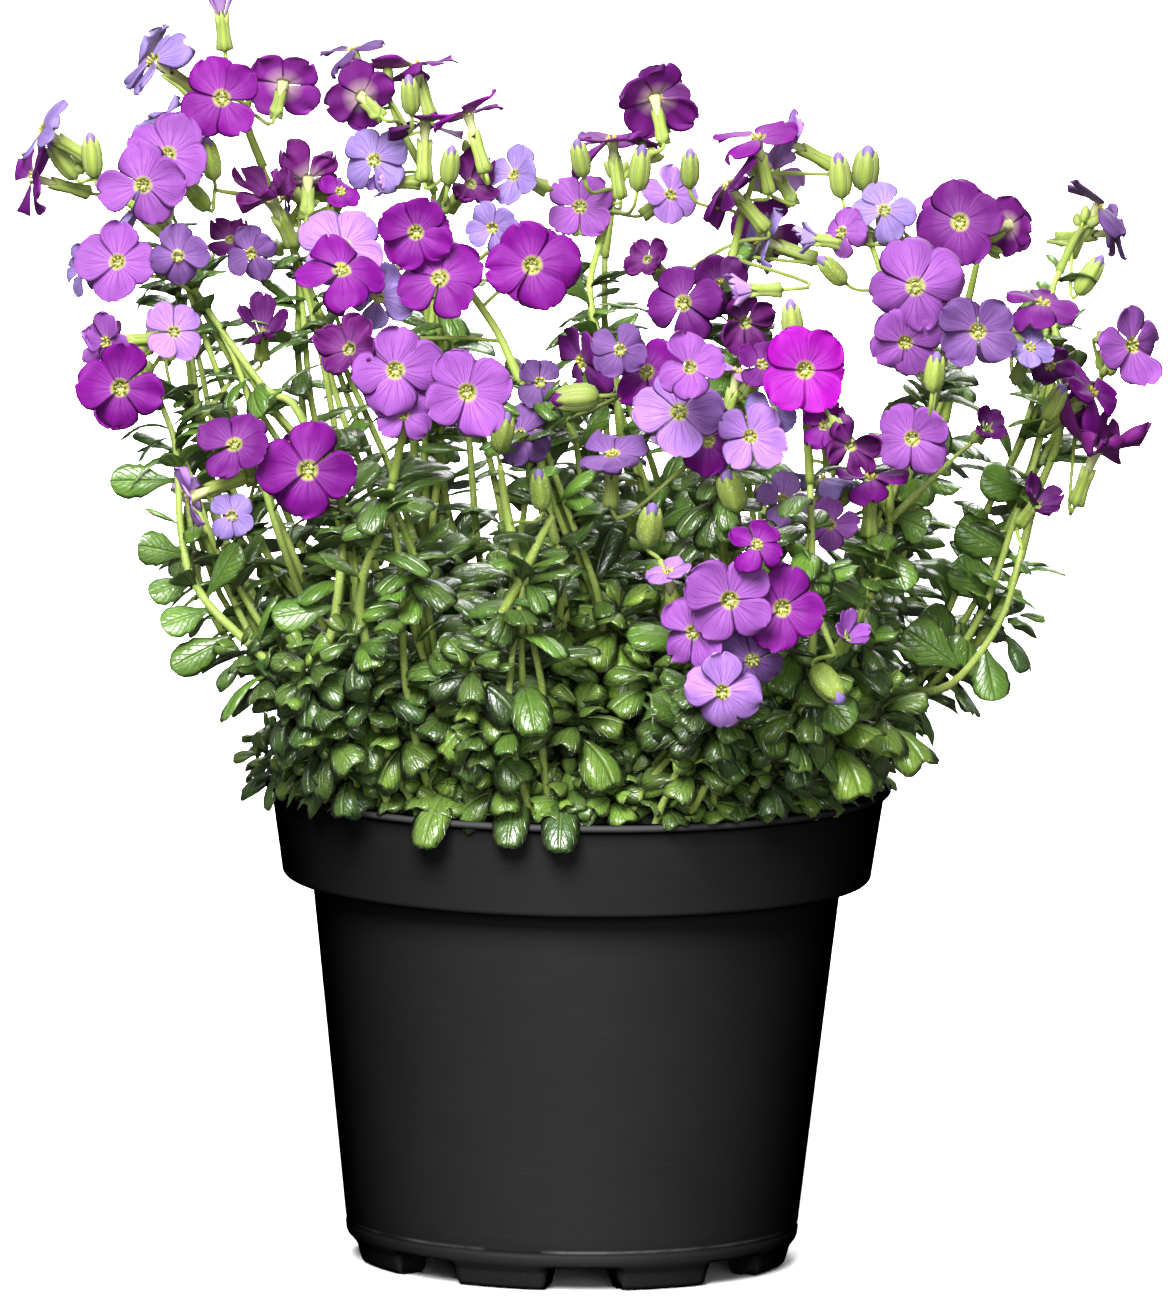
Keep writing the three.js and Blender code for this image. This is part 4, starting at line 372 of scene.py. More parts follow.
def steps_between(start, end, steps):
    """Points from start to end, in so many even steps."""
    return start + np.outer(np.arange(steps + 1) / steps, end - start)


def cross_axes(axis):
    """Two unit vectors square to an axis and to each other."""
    helper = np.array((0.0, 0.0, 1.0)) if abs(axis[2]) < 0.9 else np.array((1.0, 0.0, 0.0))
    first = unit(np.cross(axis, helper))
    return first, unit(np.cross(axis, first))


# Layout: the same rules as the solids follow, so that each fine piece lies where its solid is

RACEME_REACH = 4.0
SETTLE_STEP = 1.2
SETTLE_TRIES = 24
LIMB_SPACE = 1.7
STEM_SPACE = 2.2
LIMB_EDGE = 1.05
SAMPLE_DIRECTIONS = 12
SAMPLE_SPACING = 1.5
RACHIS_FOOT = 3.0
RACHIS_GAP = 0.75
ATTACH_STEP = 1.5
WAY_STEPS = 8
RISE_MARGIN = 2.0
LIMB_PENALTY = 6.0
STALK_PENALTY = 30.0
FELLOW_PENALTY = 2.5
LIMB_ABOVE = 1.4
LIMB_BELOW = 1.8
LIMB_SHARE = 0.9
WITHERED_CUP = 0.5
LEAST_CUP, CUP_RANGE = 0.06, 0.14


class Flower:
    """One bloom in space: throat, axis, radius, cup, spin and tone."""

    def __init__(self, source, depth, away, draw):
        self.axis = facing_axis(source.facing) * (1.0, -1.0 if away else 1.0, 1.0)
        self.withered = source.tone == "withered"
        self.throat = photo_point(
            source.px, source.py, depth + RACEME_REACH * self.axis[1] + source.behind)
        self.radius = source.across / 2 / PIXELS_PER_MM * (TWIN_SHRINK if away else 1.0)
        self.cup = WITHERED_CUP if self.withered else LEAST_CUP + CUP_RANGE * draw()
        self.spin = math.pi / 2 * draw()
        self.tone = source.tone
        self.plain = away
        self.start = None

    def limb_samples(self):
        """Points over the limb, a shallow cone round the throat, every third halfway out."""
        first, second = cross_axes(self.axis)
        angle = bearings(SAMPLE_DIRECTIONS)
        reach = self.radius * np.where(np.arange(SAMPLE_DIRECTIONS) % 3 == 0, 0.5, 0.95)
        ring = (self.throat + np.outer(reach * np.cos(angle), first)
                + np.outer(reach * np.sin(angle), second) + np.outer(self.cup * reach, self.axis))
        return np.vstack((self.throat, ring))

    def calyx_samples(self):
        """Points down the tube to the top of the calyx."""
        shares = np.array((0.9, 1.6, 2.3)) * TUBE_LENGTH
        return self.throat - np.outer(shares, self.axis)


def limb_reaches(samples, flower, space):
    """True where a point lies over the limb and nearer to its cone than the space."""
    away = samples - flower.throat
    height = away @ flower.axis
    across = np.linalg.norm(away - np.outer(height, flower.axis), axis=1)
    near = np.abs(height - flower.cup * across) < space
    return bool(np.any((across < flower.radius * LIMB_EDGE) & near))


def limbs_meet(a, b):
    """True if two limbs, or one's tube and the other's limb, cross."""
    if np.linalg.norm(a.throat - b.throat) > a.radius + b.radius + TUBE_LENGTH + CALYX_LENGTH:
        return False
    return (limb_reaches(a.limb_samples(), b, LIMB_SPACE)
            or limb_reaches(b.limb_samples(), a, LIMB_SPACE)
            or limb_reaches(a.calyx_samples(), b, CALYX_RADIUS + 1)
            or limb_reaches(b.calyx_samples(), a, CALYX_RADIUS + 1))


class Laid:
    """The stretches of stem, rachis and pedicel that are laid already."""

    def __init__(self):
        self.nodes, self.starts, self.ends, self.radii = [], [], [], []

    def lay(self, node, points, radius):
        """Lays the stretches between the points, as part of a node."""
        stretches = len(points) - 1
        self.nodes += [node] * stretches
        self.starts += points[:-1]
        self.ends += points[1:]
        self.radii += [radius] * stretches

    def samples(self):
        """Points along every stretch, SAMPLE_SPACING apart."""
        return np.vstack([
            steps_between(start, end, math.ceil(np.linalg.norm(end - start) / SAMPLE_SPACING))
            for start, end in zip(self.starts, self.ends)])

    def near(self, points):
        """For each point and stretch: is a pedicel through the point too close to the stretch?"""
        starts = np.array(self.starts)
        whole = np.array(self.ends) - starts
        offset = points[:, None, :] - starts[None]
        share = np.einsum("psk,sk->ps", offset, whole) / np.einsum("sk,sk->s", whole, whole)
        spots = starts + np.clip(share, 0, 1)[..., None] * whole
        distance = np.linalg.norm(points[:, None, :] - spots, axis=2)
        return distance < np.array(self.radii) + CALYX_FOOT_RADIUS + CLEARANCE


def in_limbs(points, flowers, own):
    """For each point: does it lie in the limb of a flower other than its own?"""
    throats, axes, radii = (np.array(column) for column in zip(*(
        (flower.throat, flower.axis, flower.radius) for flower in flowers if flower is not own)))
    offset = points[:, None, :] - throats
    height = np.einsum("pfk,fk->pf", offset, axes)
    across = np.linalg.norm(offset - height[..., None] * axes, axis=2)
    inside = (height <= LIMB_ABOVE) & (height >= -LIMB_BELOW) & (across < radii * LIMB_SHARE)
    return inside.any(axis=1)


def attach_point(laid, flowers, node, routes, target, own):
    """The spot on the routes with the cheapest straight way to the target: the distance, plus
    a price for rising above the target and for passing limbs, other stalks and fellow stalks."""
    spots = np.vstack([
        steps_between(start, end, max(1, math.floor(np.linalg.norm(end - start) / ATTACH_STEP + 0.5)))
        for route in routes for start, end in zip(route[:-1], route[1:])])
    cost = np.linalg.norm(spots - target, axis=1)
    cost = cost + 0.5 * np.maximum(0, spots[:, 2] + RISE_MARGIN - target[2])
    shares = np.arange(1, WAY_STEPS) / WAY_STEPS
    ways = spots[:, None, :] + shares[None, :, None] * (target - spots)[:, None, :]
    points = ways.reshape(-1, 3)
    near = laid.near(points)
    fellow = np.array([name == node for name in laid.nodes])
    thin = np.array(laid.radii) != RACHIS_RADIUS
    price = LIMB_PENALTY * in_limbs(points, flowers, own)
    price = price + STALK_PENALTY * near[:, ~fellow].any(axis=1)
    price = price + FELLOW_PENALTY * near[:, fellow & thin].any(axis=1)
    cost = cost + price.reshape(len(spots), -1).sum(axis=1)
    return spots[int(np.argmin(cost))]


def stem_routes(stem):
    """Routes of a stem in space: the first one starts in its hole in the soil."""
    foot = np.array((*stem.foot, SOIL_TOP - STEM_DEPTH_IN_SOIL), dtype=float)
    routes = [[photo_point(*spot) for spot in route] for route in stem.routes]
    return [[foot, *routes[0]], *routes[1:]]


def rachis_route(rachis):
    """Route of a rachis in space, starting just off its stem."""
    points = [photo_point(*spot) for spot in rachis]
    points[0] = points[0] + unit(points[1] - points[0]) * RACHIS_GAP
    return points


def settle(flowers, laid):
    """Moves each limb along the line of sight until it crosses none of those before it."""
    stalks = laid.samples()
    settled = []
    for flower in flowers:
        start = flower.throat
        sight = unit(start - VIEW_EYE)
        for attempt in range(SETTLE_TRIES + 1):
            side = 1 if attempt % 2 == 0 else -1
            flower.throat = start + sight * side * math.ceil(attempt / 2) * SETTLE_STEP
            if (not any(limbs_meet(flower, other) for other in settled)
                    and not limb_reaches(stalks, flower, STEM_SPACE)):
                break
        else:
            flower.throat = start
        settled.append(flower)


class PlacedBud:
    """A bud in space: axis, length, radius, tone, base and the start of its pedicel."""

    def __init__(self, bud, node, laid, flowers, routes):
        self.axis = facing_axis(bud.facing)
        self.length, self.radius, self.tone = bud.length, bud.radius, bud.tone
        middle = photo_point(bud.px, bud.py, bud.depth)
        self.base = middle - self.axis * bud.length / 2
        self.start = attach_point(laid, flowers, node, routes, self.base, None)
        laid.lay(node, [self.start, self.base], PEDICEL_RADIUS)
        laid.lay(node, [self.base, middle + self.axis * bud.length / 2], bud.radius)


def layout():
    """Places every raceme, bloom, pedicel and bud. Returns {raceme: (route, flowers, buds)} and
    {stem: (routes, buds)}."""
    draw = random_source(7)
    racemes = {}
    for raceme in RACEMES:
        flowers = [Flower(Bloom(*row), raceme.depth, False, draw) for row in raceme.blooms]
        racemes[raceme.name] = (raceme.rachis, flowers)
    for far in FAR_RACEMES:
        near = next(raceme for raceme in RACEMES if raceme.name == far.near)
        flowers = [Flower(Bloom(*row), far.depth, True, draw) for row in near.blooms[:far.count]]
        racemes[far.name] = (far.rachis, flowers)
    everyone = [flower for _, flowers in racemes.values() for flower in flowers]
    laid = Laid()
    for stem in STEMS:
        for route in stem_routes(stem):
            laid.lay(f"stem_{stem.name}", route, stem.radius)
    routes = {name: rachis_route(rachis) for name, (rachis, _) in racemes.items()}
    for name, route in routes.items():
        laid.lay(f"raceme_{name}", route, RACHIS_RADIUS)
    settle(everyone, laid)
    placed_racemes = {}
    for name, (_, flowers) in racemes.items():
        node = f"raceme_{name}"
        foot, *rest = routes[name]
        share = RACHIS_FOOT / np.linalg.norm(rest[0] - foot)
        upper = [foot + (rest[0] - foot) * share, *rest]
        for flower in flowers:
            top = flower.throat - flower.axis * TUBE_LENGTH
            base = top - flower.axis * CALYX_LENGTH
            flower.start = attach_point(laid, everyone, node, [upper], base, flower)
            laid.lay(node, [flower.start, base], PEDICEL_RADIUS)
            laid.lay(node, [base, top], CALYX_RADIUS)
        buds = [PlacedBud(Bud(*row), node, laid, everyone, [upper]) for row in BUDS.get(node, ())]
        placed_racemes[name] = (routes[name], flowers, buds)
    placed_stems = {}
    for stem in STEMS:
        node = f"stem_{stem.name}"
        ways = stem_routes(stem)
        above = [ways[0][1:], *ways[1:]]
        buds = [PlacedBud(Bud(*row), node, laid, everyone, above) for row in BUDS.get(node, ())]
        placed_stems[stem.name] = (ways, buds)
    return placed_racemes, placed_stems


# Surfaces: each is worked out as a whole array and gathered in a skin, one for each piece

def place_object(name, data):
    """Puts new data into the scene as an object."""
    item = bpy.data.objects.new(name, data)
    bpy.context.scene.collection.objects.link(item)
    return item


class Skin:
    """Gathers the surfaces of one piece. Each point has its place on its surface (across and
    along, 0 to 1) and a tone, whose fourth number is 1 on the upper side of a blade."""

    def __init__(self):
        self.points, self.place, self.tone, self.count = [], [], [], 0
        self.faces, self.parts = {3: [], 4: []}, {3: [], 4: []}

    def add(self, points, place, tone, faces, part=0):
        """Adds points (n, 3), places (n, 2), tones (n, 4) and arrays of triangles or quads."""
        for face in faces:
            corners = face.shape[1]
            self.faces[corners].append(face + self.count)
            self.parts[corners].append(np.full(len(face), part))
        self.points.append(points)
        self.place.append(place)
        self.tone.append(tone)
        self.count += len(points)

    def build(self, name, materials):
        """Makes the mesh and its object, with its materials, surface places and tones."""
        corners = [size for size in (4, 3) if self.faces[size]]
        loops = np.concatenate([face.ravel() for size in corners for face in self.faces[size]])
        parts = np.concatenate([part for size in corners for part in self.parts[size]])
        sizes = np.concatenate([np.full(len(face), size) for size in corners for face in self.faces[size]])
        mesh = bpy.data.meshes.new(name)
        mesh.vertices.add(self.count)
        mesh.vertices.foreach_set("co", (np.concatenate(self.points) * MM).ravel())
        mesh.loops.add(len(loops))
        mesh.loops.foreach_set("vertex_index", loops.astype(np.int32))
        mesh.polygons.add(len(sizes))
        starts = np.cumsum(sizes) - sizes
        mesh.polygons.foreach_set("loop_start", starts.astype(np.int32))
        mesh.polygons.foreach_set("material_index", parts.astype(np.int32))
        mesh.update(calc_edges=True)
        layer = mesh.uv_layers.new(name="place")
        layer.data.foreach_set("uv", np.concatenate(self.place)[loops].ravel())
        tone = mesh.color_attributes.new("tone", "FLOAT_COLOR", "POINT")
        tone.data.foreach_set("color", np.concatenate(self.tone).ravel())
        mesh.polygons.foreach_set("use_smooth", np.ones(len(sizes), dtype=bool))
        for material in materials:
            mesh.materials.append(material)
        if mesh.validate():
            raise RuntimeError(f"{name} has faces that Blender had to mend")
        piece = place_object(name, mesh)
        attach(piece, "root")
        return piece


def grid_faces(rows, columns, closed=False):
    """Quads of a grid of points; closed joins the last column to the first."""
    index = np.arange(rows * columns).reshape(rows, columns)
    if closed:
        index = np.hstack((index, index[:, :1]))
    return np.stack((index[:-1, :-1], index[1:, :-1], index[1:, 1:], index[:-1, 1:]), -1).reshape(-1, 4)


def add_rings(skin, rings, ends, place=None, tone=(1.0, 1.0, 1.0, 1.0), part=0):
    """Adds a closed surface: rings of points (rings, sides, 3), joined by quads, and two end
    points, which close the first and the last ring with fans of triangles."""
    count, sides = rings.shape[0] * rings.shape[1], rings.shape[1]
    points = np.concatenate((rings.reshape(-1, 3), ends))
    k = np.arange(sides)
    after = (k + 1) % sides
    last = count - sides
    fans = np.concatenate((np.stack((after, k, np.full(sides, count)), 1),
                           np.stack((last + k, last + after, np.full(sides, count + 1)), 1)))
    if place is None:
        place = np.zeros((len(points), 2))
    quads = grid_faces(len(rings), sides, closed=True)[:, ::-1]
    tones = np.tile(np.asarray(tone, dtype=float), (len(points), 1))
    skin.add(points, place, tones, [quads, fans], part)


def turned(radius, bearing, height):
    """Rings round the upright axis: each radius at each bearing, with its height."""
    radius = radius[:, None]
    return np.stack((radius * np.cos(bearing), radius * np.sin(bearing), height), -1)


def add_blades(skin, top, thickness, tone, part=0):
    """Adds thin closed blades. top is (blades, rows, columns, 3), rows going along and columns
    across, and the underside lies the thickness below it, square to the surface, and meets it
    at the rim. tone is one (4,) tone for each blade."""
    blades, rows, columns = top.shape[:3]
    normal = unit(np.cross(np.gradient(top, axis=1), np.gradient(top, axis=2)))
    under = (top - normal * thickness)[:, 1:-1, 1:-1]
    points = np.concatenate((top.reshape(blades, -1, 3), under.reshape(blades, -1, 3)), 1)
    along, across = np.meshgrid(np.linspace(0, 1, rows), np.linspace(0, 1, columns), indexing="ij")
    place = np.stack((across, along), -1)
    place = np.concatenate((place.reshape(-1, 2), place[1:-1, 1:-1].reshape(-1, 2)))
    upper = grid_faces(rows, columns)
    renumber = np.arange(rows * columns).reshape(rows, columns)
    renumber[1:-1, 1:-1] = rows * columns + np.arange((rows - 2) * (columns - 2)).reshape(
        rows - 2, columns - 2)
    lower = renumber.ravel()[upper][:, ::-1]
    faces = np.concatenate((upper, lower))
    each = points.shape[1]
    shifts = np.arange(blades)[:, None, None] * each
    tones = np.repeat(np.asarray(tone, dtype=float)[:, None], each, axis=1)
    tones[:, rows * columns:, 3] = 0.0
    skin.add(points.reshape(-1, 3), np.tile(place, (blades, 1)), tones.reshape(-1, 4),
             [(faces[None] + shifts).reshape(-1, 4)], part)


def smooth_path(points, steps=5):
    """A curve through the points by the Catmull-Rom rule, with so many steps to each stretch."""
    points = np.asarray(points, dtype=float)
    ends = np.vstack((2 * points[0] - points[1], points, 2 * points[-1] - points[-2]))
    t = (np.arange(steps) / steps)[:, None]
    curve = []
    for a, b, c, d in zip(ends[:-3], ends[1:-2], ends[2:-1], ends[3:]):
        curve.append(0.5 * (2 * b + (c - a) * t + (2 * a - 5 * b + 4 * c - d) * t ** 2
                            + (3 * b - a - 3 * c + d) * t ** 3))
    return np.vstack((*curve, points[-1:]))


def bent_path(start, rise, end, arrive, steps=6):
    """A cubic curve that leaves the start along rise and reaches the end along arrive."""
    reach = 0.4 * np.linalg.norm(end - start)
    t = (np.arange(steps + 1) / steps)[:, None]
    a, b = start + rise * reach, end - arrive * reach
    return (1 - t) ** 3 * start + 3 * (1 - t) ** 2 * t * a + 3 * (1 - t) * t ** 2 * b + t ** 3 * end


def ways_along(path):
    """How far along a path each of its points lies."""
    return np.concatenate(((0,), np.cumsum(np.linalg.norm(np.diff(path, axis=0), axis=1))))


def spoke(first, second, bearing):
    """The unit vector on a bearing between two axes."""
    return first * math.cos(bearing) + second * math.sin(bearing)


def ring_frames(path):
    """For each point of a path, the direction along it and two axes square to it that are
    carried along without twisting."""
    along = unit(np.gradient(path, axis=0))
    first = cross_axes(along[0])[0]
    firsts = []
    for direction in along:
        first = unit(first - direction * (first @ direction))
        firsts.append(first)
    firsts = np.array(firsts)
    return along, firsts, np.cross(along, firsts)


def add_tube(skin, path, radii, sides, tone, part=0, lobes=0, depth=0.0, turn=0.0, scallop=None):
    """Adds a closed tube along a path: rings of the given radii, each radius changed by depth
    times the cosine of lobes times the bearing, and a point that closes each end. scallop moves
    each ring's points along the path by so much times the same cosine."""
    path = np.asarray(path, dtype=float)
    radii = np.broadcast_to(np.asarray(radii, dtype=float), len(path))
    along, first, second = ring_frames(path)
    bearing = turn + bearings(sides)
    wave = np.cos(lobes * (bearing - turn))
    reach = radii[:, None] * (1 + depth * wave)[None]
    rings = path[:, None] + reach[..., None] * (
        np.cos(bearing)[None, :, None] * first[:, None] + np.sin(bearing)[None, :, None] * second[:, None])
    if scallop is not None:
        rings = rings + (np.asarray(scallop)[:, None] * wave[None])[..., None] * along[:, None]
    across = np.tile(np.arange(sides) / sides, len(path))
    share = np.repeat(np.linspace(0, 1, len(path)), sides)
    place = np.concatenate((np.stack((across, share), 1), ((0.5, 0.0), (0.5, 1.0))))
    add_rings(skin, rings, path[[0, -1]], place, tone, part)


def shaded(tone, amount, draw):
    """A tone with its brightness changed by up to the amount, as an opaque colour."""
    return np.append(np.asarray(tone[:3]) * (1 + amount * (2 * draw() - 1)), 1.0)


# Blooms

PETAL_ROWS = 10
PETAL_COLUMNS = 13
PETAL_INNER = 0.1
PETAL_SHOULDER = 0.58
PETAL_HALF_SPREAD = 49.0
PETAL_CLAW_SPREAD = 46.5
TIP_POWER = 2.2
TIP_SHARE = 0.14


def petal_spread(share, broad):
    """Half angle of a petal at a share of its reach: from the claw it widens to the shoulder by
    a cosine, and from there it closes in a superellipse to a round tip."""
    rising = np.clip(share / PETAL_SHOULDER, 0, 1)
    claw = PETAL_CLAW_SPREAD + (PETAL_HALF_SPREAD - PETAL_CLAW_SPREAD) * (1 - np.cos(math.pi * rising)) / 2
    closing = np.clip((share - PETAL_SHOULDER) / (1 - PETAL_SHOULDER), 0, 1)
    tip = (1 - (1 - TIP_SHARE ** TIP_POWER) * closing ** TIP_POWER) ** (1 / TIP_POWER)
    return np.radians(claw * tip * broad)


def petal_grid(flower, draw, rows, columns, ripple):
    """Four petals, as (4, rows, columns, 3). A point has a reach from the throat to the rim and
    a bearing off its petal's midline, within the petal's half angle. The height is the limb's
    cone plus the petal's own lean and the slant by which it overlaps the next, a dished
    midline, a ripple that grows to the rim, edges that bend down and a tip that bends back. The
    pinch draws the petals together in two pairs."""
    share = np.sin(np.linspace(0, math.pi / 2, rows))[:, None] ** 1.1
    side = np.linspace(-1, 1, columns)[None]
    first, second = cross_axes(flower.axis)
    petals = []
    pinch = 0.3 * (draw() - 0.5)
    cup = flower.cup + (0.0 if flower.withered else 0.36 * draw() - 0.2)
    for quarter in range(4):
        broad = 0.86 + 0.22 * draw()
        size = flower.radius * (0.93 + 0.12 * draw())
        notch = 0.1 * draw() ** 2
        lean = 0.5 * (draw() - 0.5)
        wave, curl = ripple * (0.6 + 1.8 * draw()), 0.34 * draw() - 0.08
        back = 0.42 * draw() - 0.08
        twist = 0.075 + 0.2 * (draw() - 0.5)
        phase, beat = TAU * draw(), 1.0 + 1.3 * draw()
        skew = 0.16 * (draw() - 0.5) + pinch * (-1) ** quarter
        if flower.withered:
            size, wave, beat = size * 1.12, 0.2, 1.6 + draw()
            curl, back = 0.5 - draw(), 0.6 * draw() - 0.4
        reach = size * (PETAL_INNER + (1 - PETAL_INNER) * share)
        reach = reach * (1 - notch * np.exp(-(side / 0.3) ** 2) * share ** 4)
        reach = reach * (1 + 0.02 * np.sin(5.3 * side + phase) * share ** 3)
        bearing = (flower.spin + quarter * math.pi / 2 + skew * share
                   + side * petal_spread(share, broad))
        height = reach * (cup + lean) + size * (
            twist * side * (0.3 + 0.7 * share)
            - 0.03 * np.exp(-(side / 0.25) ** 2) * 4 * share * (1 - share)
            + wave * share ** 2 * np.sin(math.pi * beat * side + phase)
            - curl * side ** 2 * share
            - back * share ** 3)
        petals.append(
            flower.throat
            + (reach * np.cos(bearing))[..., None] * first
            + (reach * np.sin(bearing))[..., None] * second
            + height[..., None] * flower.axis)
    return np.array(petals)


def add_petals(skin, flower, shape, tone, change, settings, draw):
    """Adds a flower's four petals, each with its tone a little changed. shape is the number of
    rows, the number of columns and the ripple."""
    petals = petal_grid(flower, draw, *shape)
    tones = [shaded(TONES[tone], change, draw) for _ in petals]
    add_blades(skin, petals, settings.petal_thickness, tones, PETAL_PART)


def add_pedicel(skin, start, base, axis, lift, green, settings):
    """Adds the stalk of a bloom or bud, which leaves its stem with an upward lift."""
    rise = unit(base - start + lift * UP)
    add_tube(skin, bent_path(start, rise, base, axis), settings.pedicel_radius, 6, green, GREEN_PART)


CALYX_SHARE = np.array((0.0, 0.05, 0.13, 0.3, 0.55, 0.8, 0.95, 1.04, 0.98))
CALYX_GIRTH = np.array((0.42, 1.0, 1.52, 1.42, 1.22, 1.24, 1.34, 1.26, 0.8))
CALYX_SCALLOP = np.array((0.0, -0.15, -0.4, -0.15, 0.0, 0.2, 0.8, 1.4, 0.9))
CLAW_SHARE = np.array((1.05, 0.7, 0.4, 0.15, 0.02, 0.09))
CLAW_RADII = (0.8, 0.85, 0.95, 1.1, 1.25, 0.55)
ANTHERS = 6
ANTHER_REACH = (0.0, 0.3, 0.65, 0.95)
ANTHER_RADII = (0.1, 0.24, 0.25, 0.07)
BUD_SHARE = np.array((0.0, 0.08, 0.25, 0.5, 0.72, 0.84))
BUD_GIRTH = np.array((0.3, 0.7, 0.95, 1.0, 0.86, 0.6))
BUD_SCALLOP = (0, -0.1, -0.1, 0, 0.2, 0.6)
ROLL_SHARE = np.array((0.68, 0.8, 0.9, 0.97, 1.01))
ROLL_GIRTH = np.array((0.5, 0.62, 0.58, 0.38, 0.1))
TINY_SHARE = np.array((0.0, 0.1, 0.4, 0.75, 1.0))
TINY_GIRTH = np.array((0.3, 0.8, 1.0, 0.8, 0.25))


def sepal_tone(green):
    """The tone with its fourth number set to 0, which marks sepals for the finish."""
    return np.append(green[:3], 0.0)


def add_calyx(skin, base, axis, length, stout, spin, green):
    """Adds a calyx of four erect sepals, bulged at the foot, whose tips stand free."""
    path = base + np.outer(CALYX_SHARE * length, axis)
    add_tube(skin, path, CALYX_GIRTH * stout, 16, sepal_tone(green), GREEN_PART, lobes=4, depth=0.17,
             turn=spin, scallop=CALYX_SCALLOP * stout)


def add_anthers(skin, throat, axis, spin, settings, draw):
    """Adds six small anthers that stand round the throat."""
    first, second = cross_axes(axis)
    for stamen in range(ANTHERS):
        out = spoke(first, second, spin + (stamen + 0.4 * draw()) * math.pi / 3)
        reach, lift = 0.5 + 0.3 * draw(), 0.15 + 0.45 * draw()
        foot = throat + out * reach + axis * (lift - 0.5)
        anther = foot + np.outer(ANTHER_REACH, axis + 0.35 * out)
        add_tube(skin, anther, ANTHER_RADII, 5, shaded(settings.anther_tone, 0.25, draw), GREEN_PART)


def add_bloom(skin, flower, settings, draw):
    """Adds one bloom: pedicel, calyx of four sepals, corolla tube, petals and anthers."""
    axis, throat = flower.axis, flower.throat
    base = throat - axis * TUBE_LENGTH - axis * CALYX_LENGTH
    green = shaded(settings.calyx_tone, 0.22, draw)
    add_pedicel(skin, flower.start, base, axis, 1.5, green, settings)
    add_calyx(skin, base, axis, CALYX_LENGTH, 0.94 + 0.16 * draw(), flower.spin, green)
    claw = throat - np.outer(CLAW_SHARE * TUBE_LENGTH, axis)
    add_tube(skin, claw, CLAW_RADII, 12, shaded(settings.claw_tone, 0.1, draw), GREEN_PART,
             lobes=4, depth=0.1, turn=flower.spin)
    fewer = 2 if flower.plain else 0
    shape = (PETAL_ROWS - fewer, PETAL_COLUMNS - 2 * fewer, settings.ripple)
    add_petals(skin, flower, shape, flower.tone, 0.1, settings, draw)
    if not (flower.withered or flower.plain):
        add_anthers(skin, throat, axis, flower.spin, settings, draw)


HalfOpen = namedtuple("HalfOpen", "throat axis radius cup spin withered")
FAT_BUD = 2.6
HALF_OPEN_CALYX = 6.5
STEEPEST_CUP = 2.2


def add_half_open(skin, bud, settings, draw, green):
    """Adds a half-open bloom: a calyx and a steep funnel of four folded petals."""
    calyx = min(0.55 * bud.length, HALF_OPEN_CALYX)
    spin = TAU * draw()
    add_calyx(skin, bud.base, bud.axis, calyx, 0.95, spin, green)
    throat = bud.base + bud.axis * calyx * 0.9
    reach = bud.length - calyx * 0.9
    cup = min(STEEPEST_CUP, reach / bud.radius)
    radius = math.hypot(reach, bud.radius) / math.hypot(1.0, cup) * 1.08
    funnel = HalfOpen(throat, bud.axis, radius, cup, spin, False)
    add_petals(skin, funnel, (8, 9, 2.2 * settings.ripple), bud.tone, 0.15, settings, draw)


def add_bud(skin, bud, settings, draw):
    """Adds a bud: pedicel, and a closed green calyx with the rolled petals at its tip, or a
    half-open bloom where the bud is a fat one."""
    axis = bud.axis
    green = shaded(settings.calyx_tone, 0.22, draw)
    add_pedicel(skin, bud.start, bud.base, axis, 1.0, green, settings)
    if bud.radius > FAT_BUD:
        add_half_open(skin, bud, settings, draw, green)
        return
    body = bud.base + np.outer(BUD_SHARE * bud.length, axis)
    add_tube(skin, body, BUD_GIRTH * bud.radius, 16, sepal_tone(green), GREEN_PART, lobes=4,
             depth=0.14, scallop=BUD_SCALLOP)
    roll = bud.base + np.outer(ROLL_SHARE * bud.length, axis)
    tone = shaded(TONES[bud.tone], 0.15, draw)
    add_tube(skin, roll, ROLL_GIRTH * bud.radius, 10, tone, PETAL_PART, lobes=2, depth=0.12)


TINY_BUDS = 4
TINY_STALK_RADIUS = 0.3


def add_tiny_buds(skin, tip, onward, settings, draw):
    """Adds the close head of tiny green buds in which a raceme ends."""
    first, second = cross_axes(onward)
    for number in range(TINY_BUDS):
        out = spoke(first, second, TAU * (number + 0.5 * draw()) / TINY_BUDS)
        axis = unit(onward + out * (0.35 + 0.5 * draw()))
        base = tip + out * 0.8 + onward * (draw() - 0.2)
        length, girth = 2.4 + 1.6 * draw(), 0.75 + 0.3 * draw()
        path = base + np.outer(TINY_SHARE * length, axis)
        green = shaded(settings.calyx_tone, 0.25, draw)
        add_tube(skin, path, TINY_GIRTH * girth, 8, sepal_tone(green), GREEN_PART, lobes=4, depth=0.1)
        stalk = np.linspace(tip - onward * 0.6, base + axis * 0.2, 3)
        add_tube(skin, stalk, TINY_STALK_RADIUS, 5, green, GREEN_PART)


# Leaves

LEAF_AT = (0.0, 0.12, 0.28, 0.42, 0.52, 0.6, 0.7, 0.79, 0.88, 0.95, 1.0)
LEAF_HALF = (0.14, 0.18, 0.42, 0.76, 0.95, 0.9, 1.0, 0.9, 0.76, 0.48, 0.08)
SMALL_LEAF_AT = (0.0, 0.2, 0.42, 0.62, 0.8, 0.93, 1.0)
SMALL_LEAF_HALF = (0.24, 0.5, 0.92, 1.0, 0.93, 0.66, 0.2)


